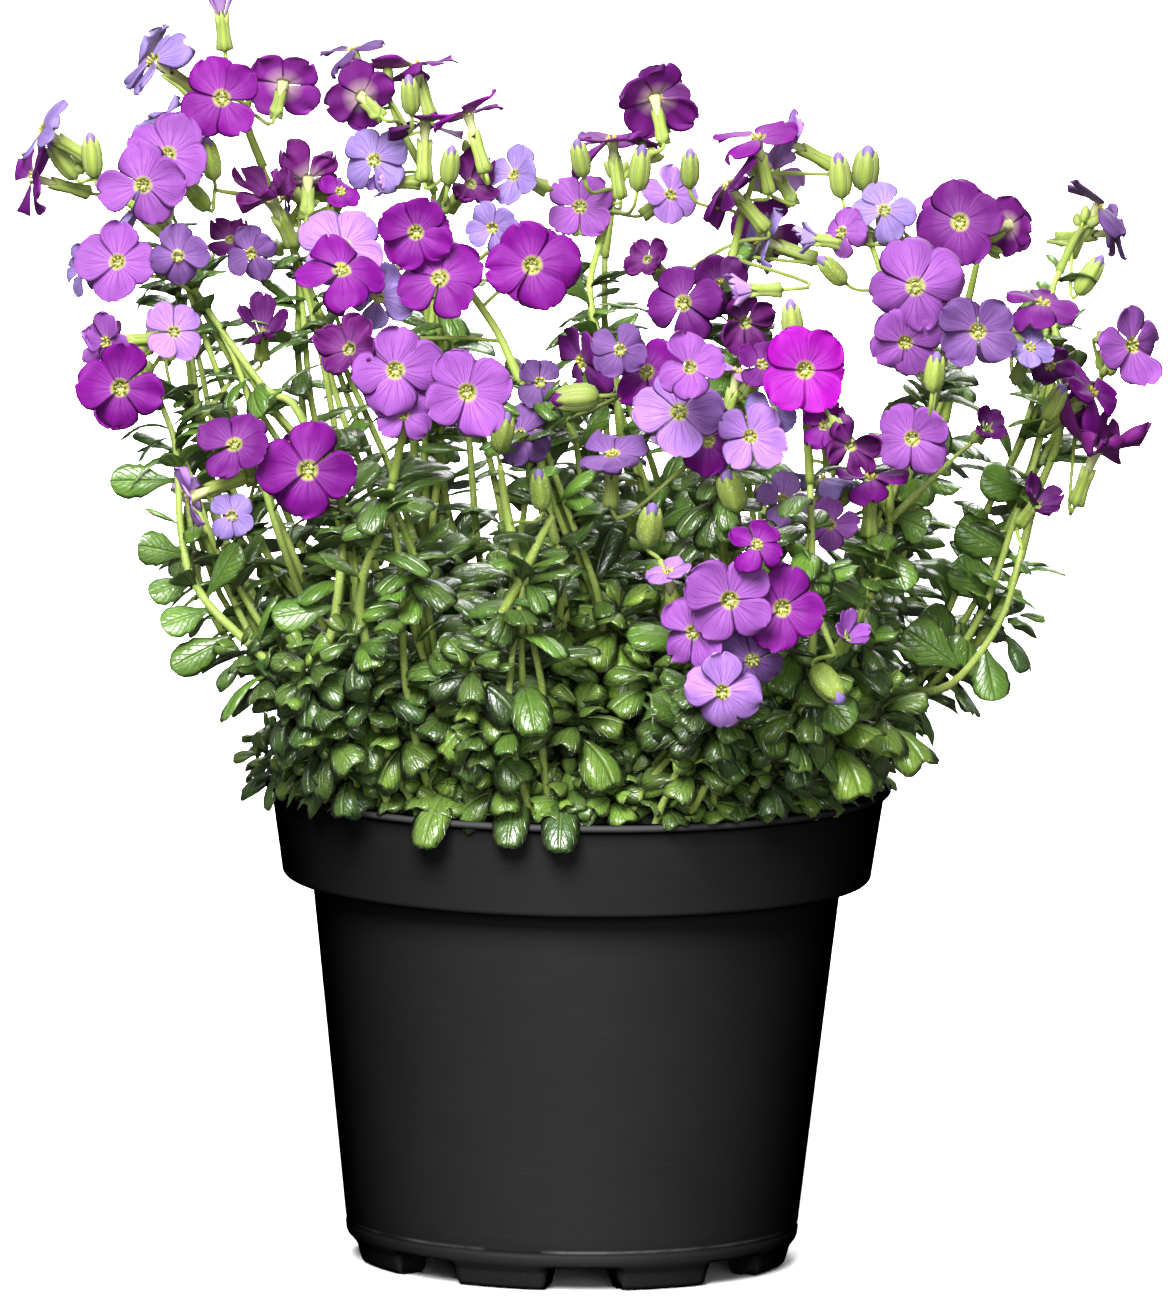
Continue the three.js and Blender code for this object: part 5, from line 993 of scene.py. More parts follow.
def leaf_grid(base, along, upper, length, width, arch, fold, outline, columns):
    """Leaves as (leaves, rows, columns, 3). Along a leaf its half width follows the toothed
    outline. It arches away from its upper side with the square of the way along, and its
    margins bend down with the square of the way across, with a groove along the midrib."""
    at, half = (np.array(values) for values in outline)
    side = unit(np.cross(upper, along))
    face = np.cross(along, side)
    across = np.linspace(-1, 1, columns)[None, None]
    share = at[None, :, None]
    length, width, arch, fold = (value.reshape(-1, 1, 1) for value in (length, width, arch, fold))
    forward = length * share * (1 - 0.35 * arch * share ** 2)
    sideways = width / 2 * half[None, :, None] * across
    drop = (-arch * length * share ** 2 - fold * width * half[None, :, None] * across ** 2
            - 0.04 * width * np.exp(-(across / 0.22) ** 2) * half[None, :, None])
    return (base[:, None, None] + forward[..., None] * along[:, None, None]
            + sideways[..., None] * side[:, None, None] + drop[..., None] * face[:, None, None])


def add_leaves(skin, rows, small, part=0):
    """Adds a batch of leaves, with the small or the large outline. A row has a leaf's base, the
    ways along it and up from it, length, width, arch, fold and tone."""
    *values, tones = (np.array(column) for column in zip(*rows))
    if small:
        add_blades(skin, leaf_grid(*values, (SMALL_LEAF_AT, SMALL_LEAF_HALF), 5), 0.45, tones, part)
    else:
        add_blades(skin, leaf_grid(*values, (LEAF_AT, LEAF_HALF), 9), 0.5, tones, part)


# Materials: node trees worked on object coordinates, the surface place and the tone

PALE_PETAL = (0.84, 0.42, 0.96)
VEIN_TINT = (0.42, 0.22, 0.52)
MOTTLE_TINT = (0.74, 0.62, 0.8)
THROAT_YELLOW = (0.50, 0.52, 0.12)
PETAL_UNDERSIDE = (0.7, 0.56, 0.5)
STREAK_TINT = (0.62, 0.72, 0.5)
PURPLE_FLUSH = (0.30, 0.12, 0.16)
SEPAL_MARGIN = (0.55, 0.62, 0.26)
SEPAL_SEAM = (0.12, 0.19, 0.035)
SEPAL_FOOT = (0.17, 0.28, 0.04)
CALYX_HAIR = (0.46, 0.56, 0.20)
LEAF_PATCH_TINT = (0.55, 0.66, 0.5)
LEAF_VEIN = (0.30, 0.42, 0.12)
LEAF_HAIR = (0.42, 0.52, 0.26)
LEAF_RIM = (0.30, 0.42, 0.16)
LEAF_UNDERSIDE = (0.16, 0.24, 0.08)
# Tint of the painted shade at a leaf's foot
LEAF_FOOT_PAINTED_SHADE = (0.25, 0.3, 0.25)
STEM_STREAK_TINT = (0.66, 0.74, 0.5)
STEM_HAIR = (0.62, 0.70, 0.34)
# Pale grey of the painted highlights along the pot's lip and band edges
PAINTED_EDGE_HIGHLIGHT = (0.42, 0.42, 0.43)
# Tint of the pot's coat: painted shade that blackens the wall where it is seen at a slant
SLANT_PAINTED_SHADE_TINT = (0.36, 0.356, 0.36, 1.0)
DUST = (0.12, 0.10, 0.08)
PEAT_FIBRE = (0.09, 0.052, 0.03)
PEAT_SPECK = (0.35, 0.28, 0.2)
# Near-black painted shade inside the cushion, and the brown mixed into it
CORE_PAINTED_SHADE = (0.008, 0.014, 0.005)
CORE_BROWN = (0.03, 0.028, 0.012)


class Nodes:
    """A material's node tree, with short ways to add and join nodes. place gives the object
    coordinates, and colour is the base colour as far as it is worked out."""

    def __init__(self, name):
        self.material = bpy.data.materials.new(name)
        self.material.use_nodes = True
        self.tree = self.material.node_tree
        self.tree.nodes.clear()
        self.shader = self.add("ShaderNodeBsdfPrincipled")
        output = self.add("ShaderNodeOutputMaterial")
        self.feed(output.inputs["Surface"], self.shader.outputs["BSDF"])
        self.place = self.add("ShaderNodeTexCoord").outputs["Object"]
        self.colour = None

    def feed(self, socket, value):
        """Joins a socket to another one, or sets it to a number, a colour or a vector."""
        if isinstance(value, bpy.types.NodeSocket):
            self.tree.links.new(value, socket)
        elif socket.type == "RGBA":
            socket.default_value = (*value[:3], 1.0)
        else:
            socket.default_value = value

    def add(self, kind, settings=None, **inputs):
        """Adds a node, with its settings and with what feeds its inputs."""
        node = self.tree.nodes.new(kind)
        for key, value in (settings or {}).items():
            setattr(node, key, value)
        for key, value in inputs.items():
            self.feed(node.inputs[key.replace("_", " ")], value)
        return node

    def noise(self, scale, detail, vector=None):
        """Cloudy noise from 0 to 1, on the object coordinates where no vector is given."""
        node = self.add("ShaderNodeTexNoise", Vector=vector or self.place, Scale=scale, Detail=detail,
                        Roughness=0.55)
        return node.outputs["Fac"]

    def stretched(self, vector, scale):
        """A place multiplied by a scale for each axis."""
        return self.add("ShaderNodeMapping", Vector=vector, Scale=scale).outputs["Vector"]

    def ramp(self, value, low, high):
        """Value from low to high taken to 0 to 1, held at the ends."""
        node = self.add("ShaderNodeMapRange", {"clamp": True}, Value=value, From_Min=low, From_Max=high)
        return node.outputs["Result"]

    def math(self, operation, *values):
        """One sum of sockets and numbers."""
        node = self.add("ShaderNodeMath", {"operation": operation})
        for socket, value in zip(node.inputs, values):
            self.feed(socket, value)
        return node.outputs["Value"]

    def times(self, a, b):
        """One value multiplied by another."""
        return self.math("MULTIPLY", a, b)

    def apart(self, value, middle):
        """How far a value lies from the middle."""
        return self.math("ABSOLUTE", self.math("SUBTRACT", value, middle))

    def mix(self, share, a, b, blend="MIX"):
        """Colour a turned into b by the share; each is a socket or a colour."""
        node = self.add("ShaderNodeMix", {"data_type": "RGBA", "blend_type": blend}, Factor=share)
        self.feed(node.inputs[6], a)
        self.feed(node.inputs[7], b)
        return node.outputs[2]

    def tinted(self, colour, tint):
        """The colour multiplied by a tint."""
        return self.mix(1.0, colour, tint, "MULTIPLY")

    def lay(self, other, mask, strength=None):
        """Turns the base colour into another one by a mask, or by a mask times a strength."""
        share = mask if strength is None else self.times(mask, strength)
        self.colour = self.mix(share, self.colour, other)

    def lay_tint(self, tint, mask, strength=None):
        """Multiplies the base colour by a tint, by a mask or by a mask times a strength."""
        self.lay(self.tinted(self.colour, tint), mask, strength)

    def split(self, vector):
        """The parts of a vector."""
        return self.add("ShaderNodeSeparateXYZ", Vector=vector).outputs

    def surface_place(self):
        """A surface's own map, and its across and along sockets."""
        uv = self.add("ShaderNodeUVMap", {"uv_map": "place"}).outputs["UV"]
        parts = self.split(uv)
        return uv, parts["X"], parts["Y"]

    def tone(self):
        """A piece's tone, and the mark in its fourth number."""
        node = self.add("ShaderNodeAttribute", {"attribute_name": "tone", "attribute_type": "GEOMETRY"})
        return node.outputs["Color"], node.outputs["Alpha"]

    def bump(self, height, distance, strength):
        """Lets the surface look raised by a height."""
        node = self.add("ShaderNodeBump", Height=height, Strength=strength, Distance=distance)
        self.feed(self.shader.inputs["Normal"], node.outputs["Normal"])

    def roughness(self, value, low, high):
        """Lets the roughness run from low to high with a value from 0 to 1."""
        node = self.add("ShaderNodeMapRange", Value=value, To_Min=low, To_Max=high)
        self.feed(self.shader.inputs["Roughness"], node.outputs["Result"])

    def finish(self, **values):
        """Joins the base colour, sets the shader's own values and gives the material."""
        self.feed(self.shader.inputs["Base Color"], self.colour)
        for key, value in values.items():
            self.feed(self.shader.inputs[key.replace("_", " ")], value)
        return self.material


def petal_finish():
    """Soft petal: its tone, paler towards the throat, with fine darker veins that fan to the
    rim, a yellow-green throat, a paler underside and soft cloudy changes."""
    nodes = Nodes("petal")
    tone, upper = nodes.tone()
    uv, _, along = nodes.surface_place()
    veins = nodes.noise(1.0, 2.0, nodes.stretched(uv, (30.0, 1.3, 1.0)))
    reach = nodes.times(nodes.ramp(veins, 0.5, 0.62), nodes.ramp(along, 0.95, 0.2))
    lighter = nodes.mix(0.6, tone, tone, "SCREEN")
    pale = nodes.mix(0.22, lighter, PALE_PETAL)
    nodes.colour = tone
    nodes.lay(pale, nodes.ramp(along, 0.45, 0.12), 0.42)
    nodes.lay(nodes.tinted(tone, VEIN_TINT), reach, 0.85)
    nodes.lay_tint(MOTTLE_TINT, nodes.ramp(nodes.noise(260.0, 3.0), 0.35, 0.75), 0.35)
    nodes.lay(pale, nodes.ramp(along, 0.88, 1.0), 0.25)
    nodes.lay(THROAT_YELLOW, nodes.ramp(along, 0.12, 0.05))
    under = nodes.mix(nodes.times(nodes.ramp(along, 0.35, 0.05), 0.5), lighter, PETAL_UNDERSIDE)
    nodes.colour = nodes.mix(upper, under, nodes.colour)
    nodes.bump(veins, 0.00012, 0.5)
    return nodes.finish(Roughness=0.6, Subsurface_Weight=0.15, Subsurface_Scale=0.0006,
                        Subsurface_Radius=(1.0, 0.3, 1.0), Specular_IOR_Level=0.2)


def green_finish():
    """Calyx, pedicel and rachis: the tone with a streaky change along it and a purple flush,
    and a felt of short hairs as fine bump and sheen. Where the tone marks sepals, they have pale
    margins with a dark seam between, and grow paler to their tips."""
    nodes = Nodes("calyx_green")
    tone, stalk = nodes.tone()
    sepals = nodes.math("SUBTRACT", 1.0, stalk)
    uv, across, along = nodes.surface_place()
    seam = nodes.apart(nodes.math("FRACT", nodes.times(across, 4.0)), 0.5)
    streak = nodes.ramp(nodes.noise(1.0, 2.0, nodes.stretched(uv, (14.0, 2.0, 1.0))), 0.35, 0.7)
    nodes.colour = tone
    nodes.lay_tint(STREAK_TINT, streak, 0.35)
    nodes.lay(PURPLE_FLUSH, nodes.ramp(nodes.noise(140.0, 2.0), 0.56, 0.8), 0.25)
    margin = nodes.math("MAXIMUM", nodes.ramp(seam, 0.22, 0.1), nodes.ramp(along, 0.7, 1.0))
    nodes.lay(SEPAL_MARGIN, nodes.times(margin, sepals), 0.35)
    groove = nodes.times(nodes.ramp(seam, 0.07, 0.0), sepals)
    nodes.lay(SEPAL_SEAM, groove, 0.5)
    nodes.lay(SEPAL_FOOT, nodes.times(nodes.ramp(along, 0.5, 0.05), sepals), 0.4)
    felt = nodes.noise(2600.0, 2.0)
    nodes.lay(CALYX_HAIR, nodes.ramp(felt, 0.6, 0.72), 0.45)
    nodes.bump(nodes.math("SUBTRACT", felt, groove), 0.00015, 0.7)
    return nodes.finish(Roughness=0.55, Subsurface_Weight=0.1, Subsurface_Scale=0.0008,
                        Sheen_Weight=0.08)


def leaf_finish(name):
    """Leaf: its tone, a pale midrib and side veins, darker between them, painted shade towards its
    foot where it lies under other leaves, a paler underside, a scatter of white hairs and a soft gloss."""
    nodes = Nodes(name)
    tone, upper = nodes.tone()
    _, across, along = nodes.surface_place()
    off = nodes.apart(across, 0.5)
    slope = nodes.math("SUBTRACT", nodes.times(along, 7.0), nodes.times(off, 6.0))
    ridge = nodes.apart(nodes.math("FRACT", slope), 0.5)
    side_vein = nodes.times(nodes.ramp(ridge, 0.1, 0.0), 0.45)
    vein = nodes.math("MAXIMUM", nodes.ramp(off, 0.07, 0.015), side_vein)
    patch = nodes.noise(160.0, 4.0)
    nodes.colour = tone
    nodes.lay_tint(LEAF_PATCH_TINT, nodes.ramp(patch, 0.3, 0.72))
    nodes.lay(nodes.mix(0.5, tone, LEAF_VEIN), vein, 0.22)
    nodes.lay(LEAF_HAIR, nodes.ramp(nodes.noise(2300.0, 2.0), 0.6, 0.7), 0.4)
    rim = nodes.math("MAXIMUM", nodes.ramp(off, 0.455, 0.5), nodes.ramp(along, 0.965, 1.0))
    nodes.lay(LEAF_RIM, rim, 0.45)
    nodes.colour = nodes.mix(upper, nodes.mix(0.25, tone, LEAF_UNDERSIDE), nodes.colour)
    # Painted shade: the leaf grows darker towards its foot, where the leaves of a rosette overlap
    nodes.lay_tint(LEAF_FOOT_PAINTED_SHADE, nodes.ramp(along, 0.5, 0.0), 0.75)
    nodes.roughness(patch, 0.24, 0.42)
    crinkle = nodes.noise(900.0, 3.0)
    relief = nodes.math("ADD", nodes.times(patch, 0.6), nodes.times(crinkle, 0.7))
    nodes.bump(nodes.math("SUBTRACT", relief, vein), 0.0004, 0.8)
    return nodes.finish(Subsurface_Weight=0.06, Subsurface_Scale=0.0008, Sheen_Weight=0.02,
                        IOR=1.55, Specular_IOR_Level=1.0)


def stem_finish():
    """Stem: pale green to straw, streaked along, with a felt of white hairs."""
    nodes = Nodes("stem")
    nodes.colour = nodes.tone()[0]
    streak = nodes.noise(260.0, 3.0, nodes.stretched(nodes.place, (1.0, 1.0, 0.18)))
    nodes.lay_tint(STEM_STREAK_TINT, nodes.ramp(streak, 0.3, 0.72))
    felt = nodes.noise(2400.0, 2.0)
    nodes.lay(STEM_HAIR, nodes.ramp(felt, 0.55, 0.68), 0.6)
    nodes.bump(felt, 0.00012, 0.8)
    return nodes.finish(Roughness=0.55, Sheen_Weight=0.08)


def pot_finish(settings):
    """Matte black moulded plastic: fine scratches round the wall, cloudy wear, a painted highlight
    along the lip's edge and a broken one along the band above the foot, and dust near the foot. It
    has a broad soft gloss, and a dark tinted coat paints shade that makes it blacker where it is seen at a
    slant."""
    nodes = Nodes("pot_plastic")
    brushed = nodes.noise(1100.0, 4.0, nodes.stretched(nodes.place, (0.14, 0.14, 2.0)))
    cloud = nodes.noise(55.0, 5.0)
    grain = nodes.noise(2200.0, 2.0)
    nodes.colour = tuple(settings.pot_colour)
    lighter = tuple(min(1.0, value * 1.9 + 0.004) for value in settings.pot_colour)
    nodes.lay(lighter, nodes.ramp(cloud, 0.35, 0.75), 0.2)
    nodes.lay(lighter, nodes.ramp(brushed, 0.52, 0.75), 0.28)
    height = nodes.split(nodes.place)["Z"]
    # Painted highlight: a thin pale line along the band above the foot, broken by the cloud, and a fainter
    # one along the lip's edge
    band_highlight_offset = nodes.apart(height, (BAND_HEIGHT + 0.55) * MM)
    band_painted_highlight = nodes.times(nodes.ramp(band_highlight_offset, 0.0004, 0.0001), nodes.ramp(cloud, 0.42, 0.6))
    lip_painted_highlight = nodes.ramp(height, (POT_HEIGHT - 1.4) * MM, (POT_HEIGHT - 0.6) * MM)
    nodes.lay(PAINTED_EDGE_HIGHLIGHT, nodes.math("MAXIMUM", band_painted_highlight, nodes.times(lip_painted_highlight, 0.35)))
    nodes.lay(DUST, nodes.times(nodes.ramp(height, 0.008, 0.0), nodes.ramp(grain, 0.5, 0.7)), 0.35)
    nodes.roughness(cloud, 0.68, 0.8)
    nodes.bump(nodes.math("ADD", brushed, nodes.times(grain, 0.5)), 0.0001, 0.2)
    # The dark tinted coat paints shade: the wall grows darker where it is seen at a slant
    return nodes.finish(Coat_Weight=1.0, Coat_IOR=1.0, Coat_Roughness=0.6, Coat_Tint=SLANT_PAINTED_SHADE_TINT,
                        Specular_IOR_Level=0.8)


def soil_finish(settings):
    """Moist peat: dark crumbs, brown fibres and a few pale specks."""
    nodes = Nodes("peat")
    crumb = nodes.add("ShaderNodeTexVoronoi", Vector=nodes.place, Scale=420.0)
    fibre = nodes.noise(700.0, 4.0, nodes.stretched(nodes.place, (1.0, 0.3, 1.0)))
    nodes.colour = tuple(settings.soil_colour)
    nodes.lay(PEAT_FIBRE, nodes.ramp(fibre, 0.35, 0.7))
    nodes.lay(PEAT_SPECK, nodes.ramp(nodes.noise(1500.0, 1.0), 0.68, 0.74), 0.6)
    nodes.bump(nodes.math("ADD", crumb.outputs["Distance"], fibre), 0.0008, 0.8)
    return nodes.finish(Roughness=0.95)


def painted_shade_core_finish():
    """Painted shade inside the cushion: a near-black sheet, dark green to brown, standing for old leaves
    and shoots in deep shade.
    """
    nodes = Nodes("cushion_core_painted_shade")
    patch = nodes.noise(220.0, 4.0)
    # Painted shade: the core is near black, standing for the deep shade among old leaves and shoots
    nodes.colour = CORE_PAINTED_SHADE
    nodes.lay(CORE_BROWN, nodes.ramp(patch, 0.35, 0.7))
    nodes.bump(patch, 0.002, 1.0)
    return nodes.finish(Roughness=0.9)


def floor_finish(settings):
    """Plain pale floor."""
    nodes = Nodes("floor")
    nodes.colour = tuple(settings.floor_colour)
    nodes.lay(tuple(0.9 * value for value in settings.floor_colour), nodes.noise(40.0, 2.0), 0.04)
    return nodes.finish(Roughness=0.8)


# Settings that a user can change

GREEN_PART, PETAL_PART, LEAF_PART = 0, 1, 2

TONES = {
    "light": (0.42, 0.215, 0.63),
    "light_blue": (0.29, 0.21, 0.51),
    "blue_violet": (0.18, 0.082, 0.28),
    "violet": (0.305, 0.088, 0.41),
    "magenta": (0.20, 0.005, 0.245),
    "pink": (0.36, 0.003, 0.39),
    "purple": (0.15, 0.012, 0.19),
    # dark and dusky are partly the blooms' own deeper colour, partly painted shade for purple and violet
    # blooms that stand in shade
    "dark": (0.088, 0.005, 0.108),
    "dusky": (0.125, 0.058, 0.20),
    "withered": (0.125, 0.010, 0.135),
    "bud": (0.29, 0.19, 0.46),
}


def measure(name, description, default, **more):
    """A number that a user can change."""
    return bpy.props.FloatProperty(name=name, description=description, default=default, **more)


def number(name, description, default, least):
    """A whole number that a user can change."""
    return bpy.props.IntProperty(name=name, description=description, default=default, min=least)


def colour(name, description, default):
    """A colour that a user can change."""
    return bpy.props.FloatVectorProperty(
        name=name, description=description, default=default, subtype="COLOR")


class AubrietaPotSettings(bpy.types.PropertyGroup):
    """Size and colours of the pot and its soil."""
    height: measure("Height", "From the floor to the top of the lip, mm", POT_HEIGHT)
    lip_radius: measure("Lip radius", "Outer radius of the lip, mm", LIP_RADIUS)
    sides: number("Sides", "Points round the pot", 256, 32)
    pot_colour: colour("Pot colour", "Colour of the plastic", (0.030, 0.0295, 0.0305))
    soil_colour: colour("Soil colour", "Colour of the moist peat", (0.020, 0.012, 0.008))


class AubrietaCushionSettings(bpy.types.PropertyGroup):
    """Rosettes of the leaf cushion."""
    rosettes: number("Rosettes", "Leafy shoots over the dome", 132, 1)
    fringe: number("Fringe", "Leafy shoots round the lip", 38, 1)
    leaf_length: measure("Leaf length", "Length of the largest leaves, mm", 10.0)
    old_colour: colour("Old leaf", "Colour of grown leaves", (0.036, 0.094, 0.020))
    young_colour: colour("Young leaf", "Colour of young leaves", (0.27, 0.42, 0.05))


class AubrietaStemSettings(bpy.types.PropertyGroup):
    """Flowering stems and their leaves."""
    girth: measure("Girth", "Share of the laid-out stem radius", 1.0, subtype="FACTOR")
    side_shoots: number("Side shoots", "Thinner stems beside each stem", 5, 0)
    leaf_spacing: measure("Leaf spacing", "Mean distance of the leaves along a stem, mm", 7.5)
    stem_colour: colour("Stem colour", "Colour of the stems", (0.40, 0.51, 0.10))
    leaf_colour: colour("Leaf colour", "Colour of the stem leaves", (0.12, 0.235, 0.026))


class AubrietaBloomSettings(bpy.types.PropertyGroup):
    """Blooms, calyces and buds."""
    petal_thickness: measure("Petal thickness", "Thickness of a petal, mm", 0.28)
    pedicel_radius: measure("Pedicel radius", "Radius of a bloom's stalk, mm", 0.42)
    ripple: measure("Ripple", "Wave of the petal rims, as a share of the radius", 0.035,
                    subtype="FACTOR")
    calyx_tone: colour("Calyx", "Colour of calyces and pedicels", (0.33, 0.43, 0.07))
    claw_tone: colour("Claws", "Colour of the corolla tube", (0.62, 0.66, 0.30))
    anther_tone: colour("Anthers", "Colour of the anthers", (0.60, 0.55, 0.08))


class AubrietaStageSettings(bpy.types.PropertyGroup):
    """Floor and light."""
    floor_colour: colour("Floor", "Colour of the floor", (0.95, 0.95, 0.95))
    key_power: measure("Key light", "Power of the front left light", 80.0, unit="POWER")
    fill_power: measure("Fill light", "Power of the light in front", 16.0, unit="POWER")
    back_power: measure("Back light", "Power of the light behind, on the plant", 26.0, unit="POWER")
    floor_power: measure("Floor light", "Power of the light behind, over the floor", 70.0,
                         unit="POWER")
    sky: measure("Sky", "Strength of the light from all sides", 0.1)


# Pieces

COLLAR_ROUND = 1.2
BAND_ROUND = 0.8
NOTCH_EDGE = math.radians(1.3)


def beside(radius, height, spots, foot=0):
    """Profile points that lie so much out and up from a corner; foot is 1 where a notch lifts."""
    return [(radius + out, height + up, foot) for out, up in spots]


def stretch(start, end, shares):
    """Profile points at shares of the straight line between two points."""
    (radius, height), (end_radius, end_height) = start, end
    return [(radius + (end_radius - radius) * t, height + (end_height - height) * t, 0) for t in shares]


def bend(radius, height, size, degrees):
    """Profile points on an arc about a centre."""
    return [(radius + size * math.cos(t), height + size * math.sin(t), 0) for t in np.radians(degrees)]


def pot_profile(settings):
    """The pot's half section from the underside's middle, out round the foot, up the wall and
    collar, over the rolled lip and down inside to the floor: radius, height, and 1 where a
    drainage notch lifts the foot."""
    top, roll = settings.height, LIP_DROP / 2
    collar_foot = COLLAR_FOOT_HEIGHT - COLLAR_ROUND
    inner_collar, inner_wall = COLLAR_FOOT_RADIUS - WALL, BODY_TOP_RADIUS - WALL
    return np.array([
        *beside(0, UNDERSIDE_HEIGHT, ((0.02, 0), (18, 0), (30, 0), (FOOT_INNER_RADIUS - 0.9, 0))),
        *beside(FOOT_INNER_RADIUS, 0, (
            (-0.4, UNDERSIDE_HEIGHT - 0.4), (0, 2.6), (0.1, 0.6), (0.5, 0), (2.5, 0)), 1),
        *beside(FOOT_RADIUS, 0, (
            (-0.6, 0), (-0.05, 0.25), (0.15, 0.8), (0.5, 2), (0.75, 3), (0.95, 3.5), (1.7, 4.5)), 1),
        (BODY_FOOT_RADIUS - 0.15, 5.2, 0),
        *beside(BODY_FOOT_RADIUS, BAND_HEIGHT, (
            (-0.02, -0.7), (-0.12, -0.35), (-0.3, 0), (-0.12, 0.35), (0, BAND_ROUND))),
        *stretch((BODY_FOOT_RADIUS, BAND_HEIGHT + BAND_ROUND),
                 (BODY_TOP_RADIUS, collar_foot - BAND_ROUND), np.linspace(0.04, 0.98, 14)),
        *beside(BODY_TOP_RADIUS, collar_foot, ((0.1, -0.3), (0.6, 0))),
        (COLLAR_FOOT_RADIUS - 2 * COLLAR_ROUND, collar_foot, 0),
        *bend(COLLAR_FOOT_RADIUS - COLLAR_ROUND, COLLAR_FOOT_HEIGHT, COLLAR_ROUND, np.linspace(-90, 0, 7)),
        *stretch((COLLAR_FOOT_RADIUS, COLLAR_FOOT_HEIGHT), (COLLAR_TOP_RADIUS, top - LIP_DROP),
                 np.linspace(0.08, 0.97, 6)),
        *beside(COLLAR_TOP_RADIUS, top - LIP_DROP, ((0.1, -0.15), (0.45, 0))),
        *bend(settings.lip_radius - roll, top - roll, roll, np.linspace(-90, 90, 9)),
        *beside(COLLAR_TOP_RADIUS - WALL, top, ((0.4, 0), (0, -0.3))),
        *beside(inner_collar, COLLAR_FOOT_HEIGHT, ((0, 1), (-1, 0.6))),
        *beside(inner_wall, COLLAR_FOOT_HEIGHT, ((0, 0.4), (-0.3, -0.6))),
        (BODY_FOOT_RADIUS - WALL, FLOOR_HEIGHT + 1, 0), (30, FLOOR_HEIGHT, 0), (0.02, FLOOR_HEIGHT, 0)])


def build_pot(settings):
    """The pot: its half section turned round the axis. In each notch the foot's points are
    lifted to the underside, and the notch widens outwards."""
    radius, height, foot = pot_profile(settings).T
    bearing = bearings(settings.sides)
    place = (bearing + math.pi / 2 - NOTCH_TURN) % (TAU / NOTCHES)
    off = np.minimum(place, TAU / NOTCHES - place)
    half = NOTCH_HALF_ANGLE * (0.85 + 0.03 * (radius - FOOT_INNER_RADIUS))
    inside = np.clip((half[:, None] - off[None]) / NOTCH_EDGE + 0.5, 0, 1)
    lift = (inside ** 2 * (3 - 2 * inside)) * foot[:, None]
    top = np.maximum(height, UNDERSIDE_HEIGHT - 0.05)
    rings = turned(radius, bearing, height[:, None] + lift * (top - height)[:, None])
    skin = Skin()
    add_rings(skin, rings, ((0, 0, UNDERSIDE_HEIGHT), (0, 0, FLOOR_HEIGHT)))
    pot = skin.build("pot_shell", [pot_finish(settings)])
    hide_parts("pot")


SOIL_GAP = 0.4
SOIL_SINK, SOIL_LUMPS, SOIL_FADE = 1.2, 1.3, 3.0
SOIL_SIDES, SOIL_RINGS = 160, 44


def lumps(x, y, seed):
    """Soft lumps from -1 to 1: the sum of eight waves of random direction and length."""
    rng = np.random.default_rng(seed)
    total = np.zeros_like(x)
    for strength in np.linspace(1.0, 0.35, 8):
        turn, length, phase = rng.uniform(0, TAU), rng.uniform(3, 16), rng.uniform(0, 6)
        total = total + strength * np.sin(
            TAU * (x * math.cos(turn) + y * math.sin(turn)) / length + phase)
    return total / 4


def build_soil(settings):
    """The soil: a lumpy top that falls off to the pot's wall, over a plug that fills the pot."""
    gap = SOIL_GAP
    wall = COLLAR_FOOT_RADIUS - WALL - gap
    plug = [(0.05, FLOOR_HEIGHT + gap), (BODY_FOOT_RADIUS - WALL - 2 * gap, FLOOR_HEIGHT + 1 + gap),
            (BODY_TOP_RADIUS - WALL - 2 * gap, COLLAR_FOOT_HEIGHT + gap),
            (wall - gap, COLLAR_FOOT_HEIGHT + 1 + gap)]
    top = [(wall * share, SOIL_TOP - SOIL_SINK) for share in np.linspace(1, 0.001, SOIL_RINGS)]
    radius, height = np.array(plug + top).T
    rings = turned(radius, bearings(SOIL_SIDES), np.repeat(height[:, None], SOIL_SIDES, axis=1))
    upper = rings[len(plug):]
    fade = np.clip((wall - radius[len(plug):]) / SOIL_FADE, 0, 1)[:, None]
    upper[..., 2] += lumps(upper[..., 0], upper[..., 1], 5) * SOIL_LUMPS * fade
    skin = Skin()
    add_rings(skin, rings, ((0, 0, FLOOR_HEIGHT + gap), (0, 0, rings[-1, :, 2].mean())))
    soil = skin.build("peat_soil", [soil_finish(settings)])
    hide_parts("soil")


DOME_TOP = ((55, 98), (50, 110), (37, 121), (19, 127), (0, 124))
CORE_SINK = 6.0
CORE_FOOT_RADIUS = 53.0
CORE_LUMPS = 1.8
CORE_SIDES, CORE_RINGS = 64, 16


def dome_section(share):
    """Radius and height of the cushion's dome: share 0 at the rim and 1 at the top."""
    radii, heights = zip(*DOME_TOP)
    at = np.linspace(0, 1, len(DOME_TOP))
    return np.interp(share, at, radii), np.interp(share, at, heights)


def dome_radius(height):
    """The dome's radius at a height."""
    radii, heights = zip(*DOME_TOP[:-1])
    return np.interp(height, heights, radii)


def add_core(skin):
    """The cushion's inside: a lumpy dome a little below the leaves, dark with painted shade."""
    radius, height = dome_section(np.linspace(0, 1, CORE_RINGS))
    radius = np.maximum(np.append(CORE_FOOT_RADIUS, radius - 2.0), 0.3)
    height = np.append(SOIL_TOP + 0.5, height - CORE_SINK)
    rings = turned(radius, bearings(CORE_SIDES), np.repeat(height[:, None], CORE_SIDES, axis=1))
    rings[2:, :, 2] += CORE_LUMPS * lumps(rings[..., 0], rings[..., 1], 9)[2:]
    add_rings(skin, rings, ((0, 0, SOIL_TOP + 0.5), (0, 0, rings[-1, :, 2].mean())), part=1)


def leaf_green(settings, young):
    """The cushion's leaf colour between old and young."""
    return np.asarray(settings.old_colour) * (1 - young) + np.asarray(settings.young_colour) * young


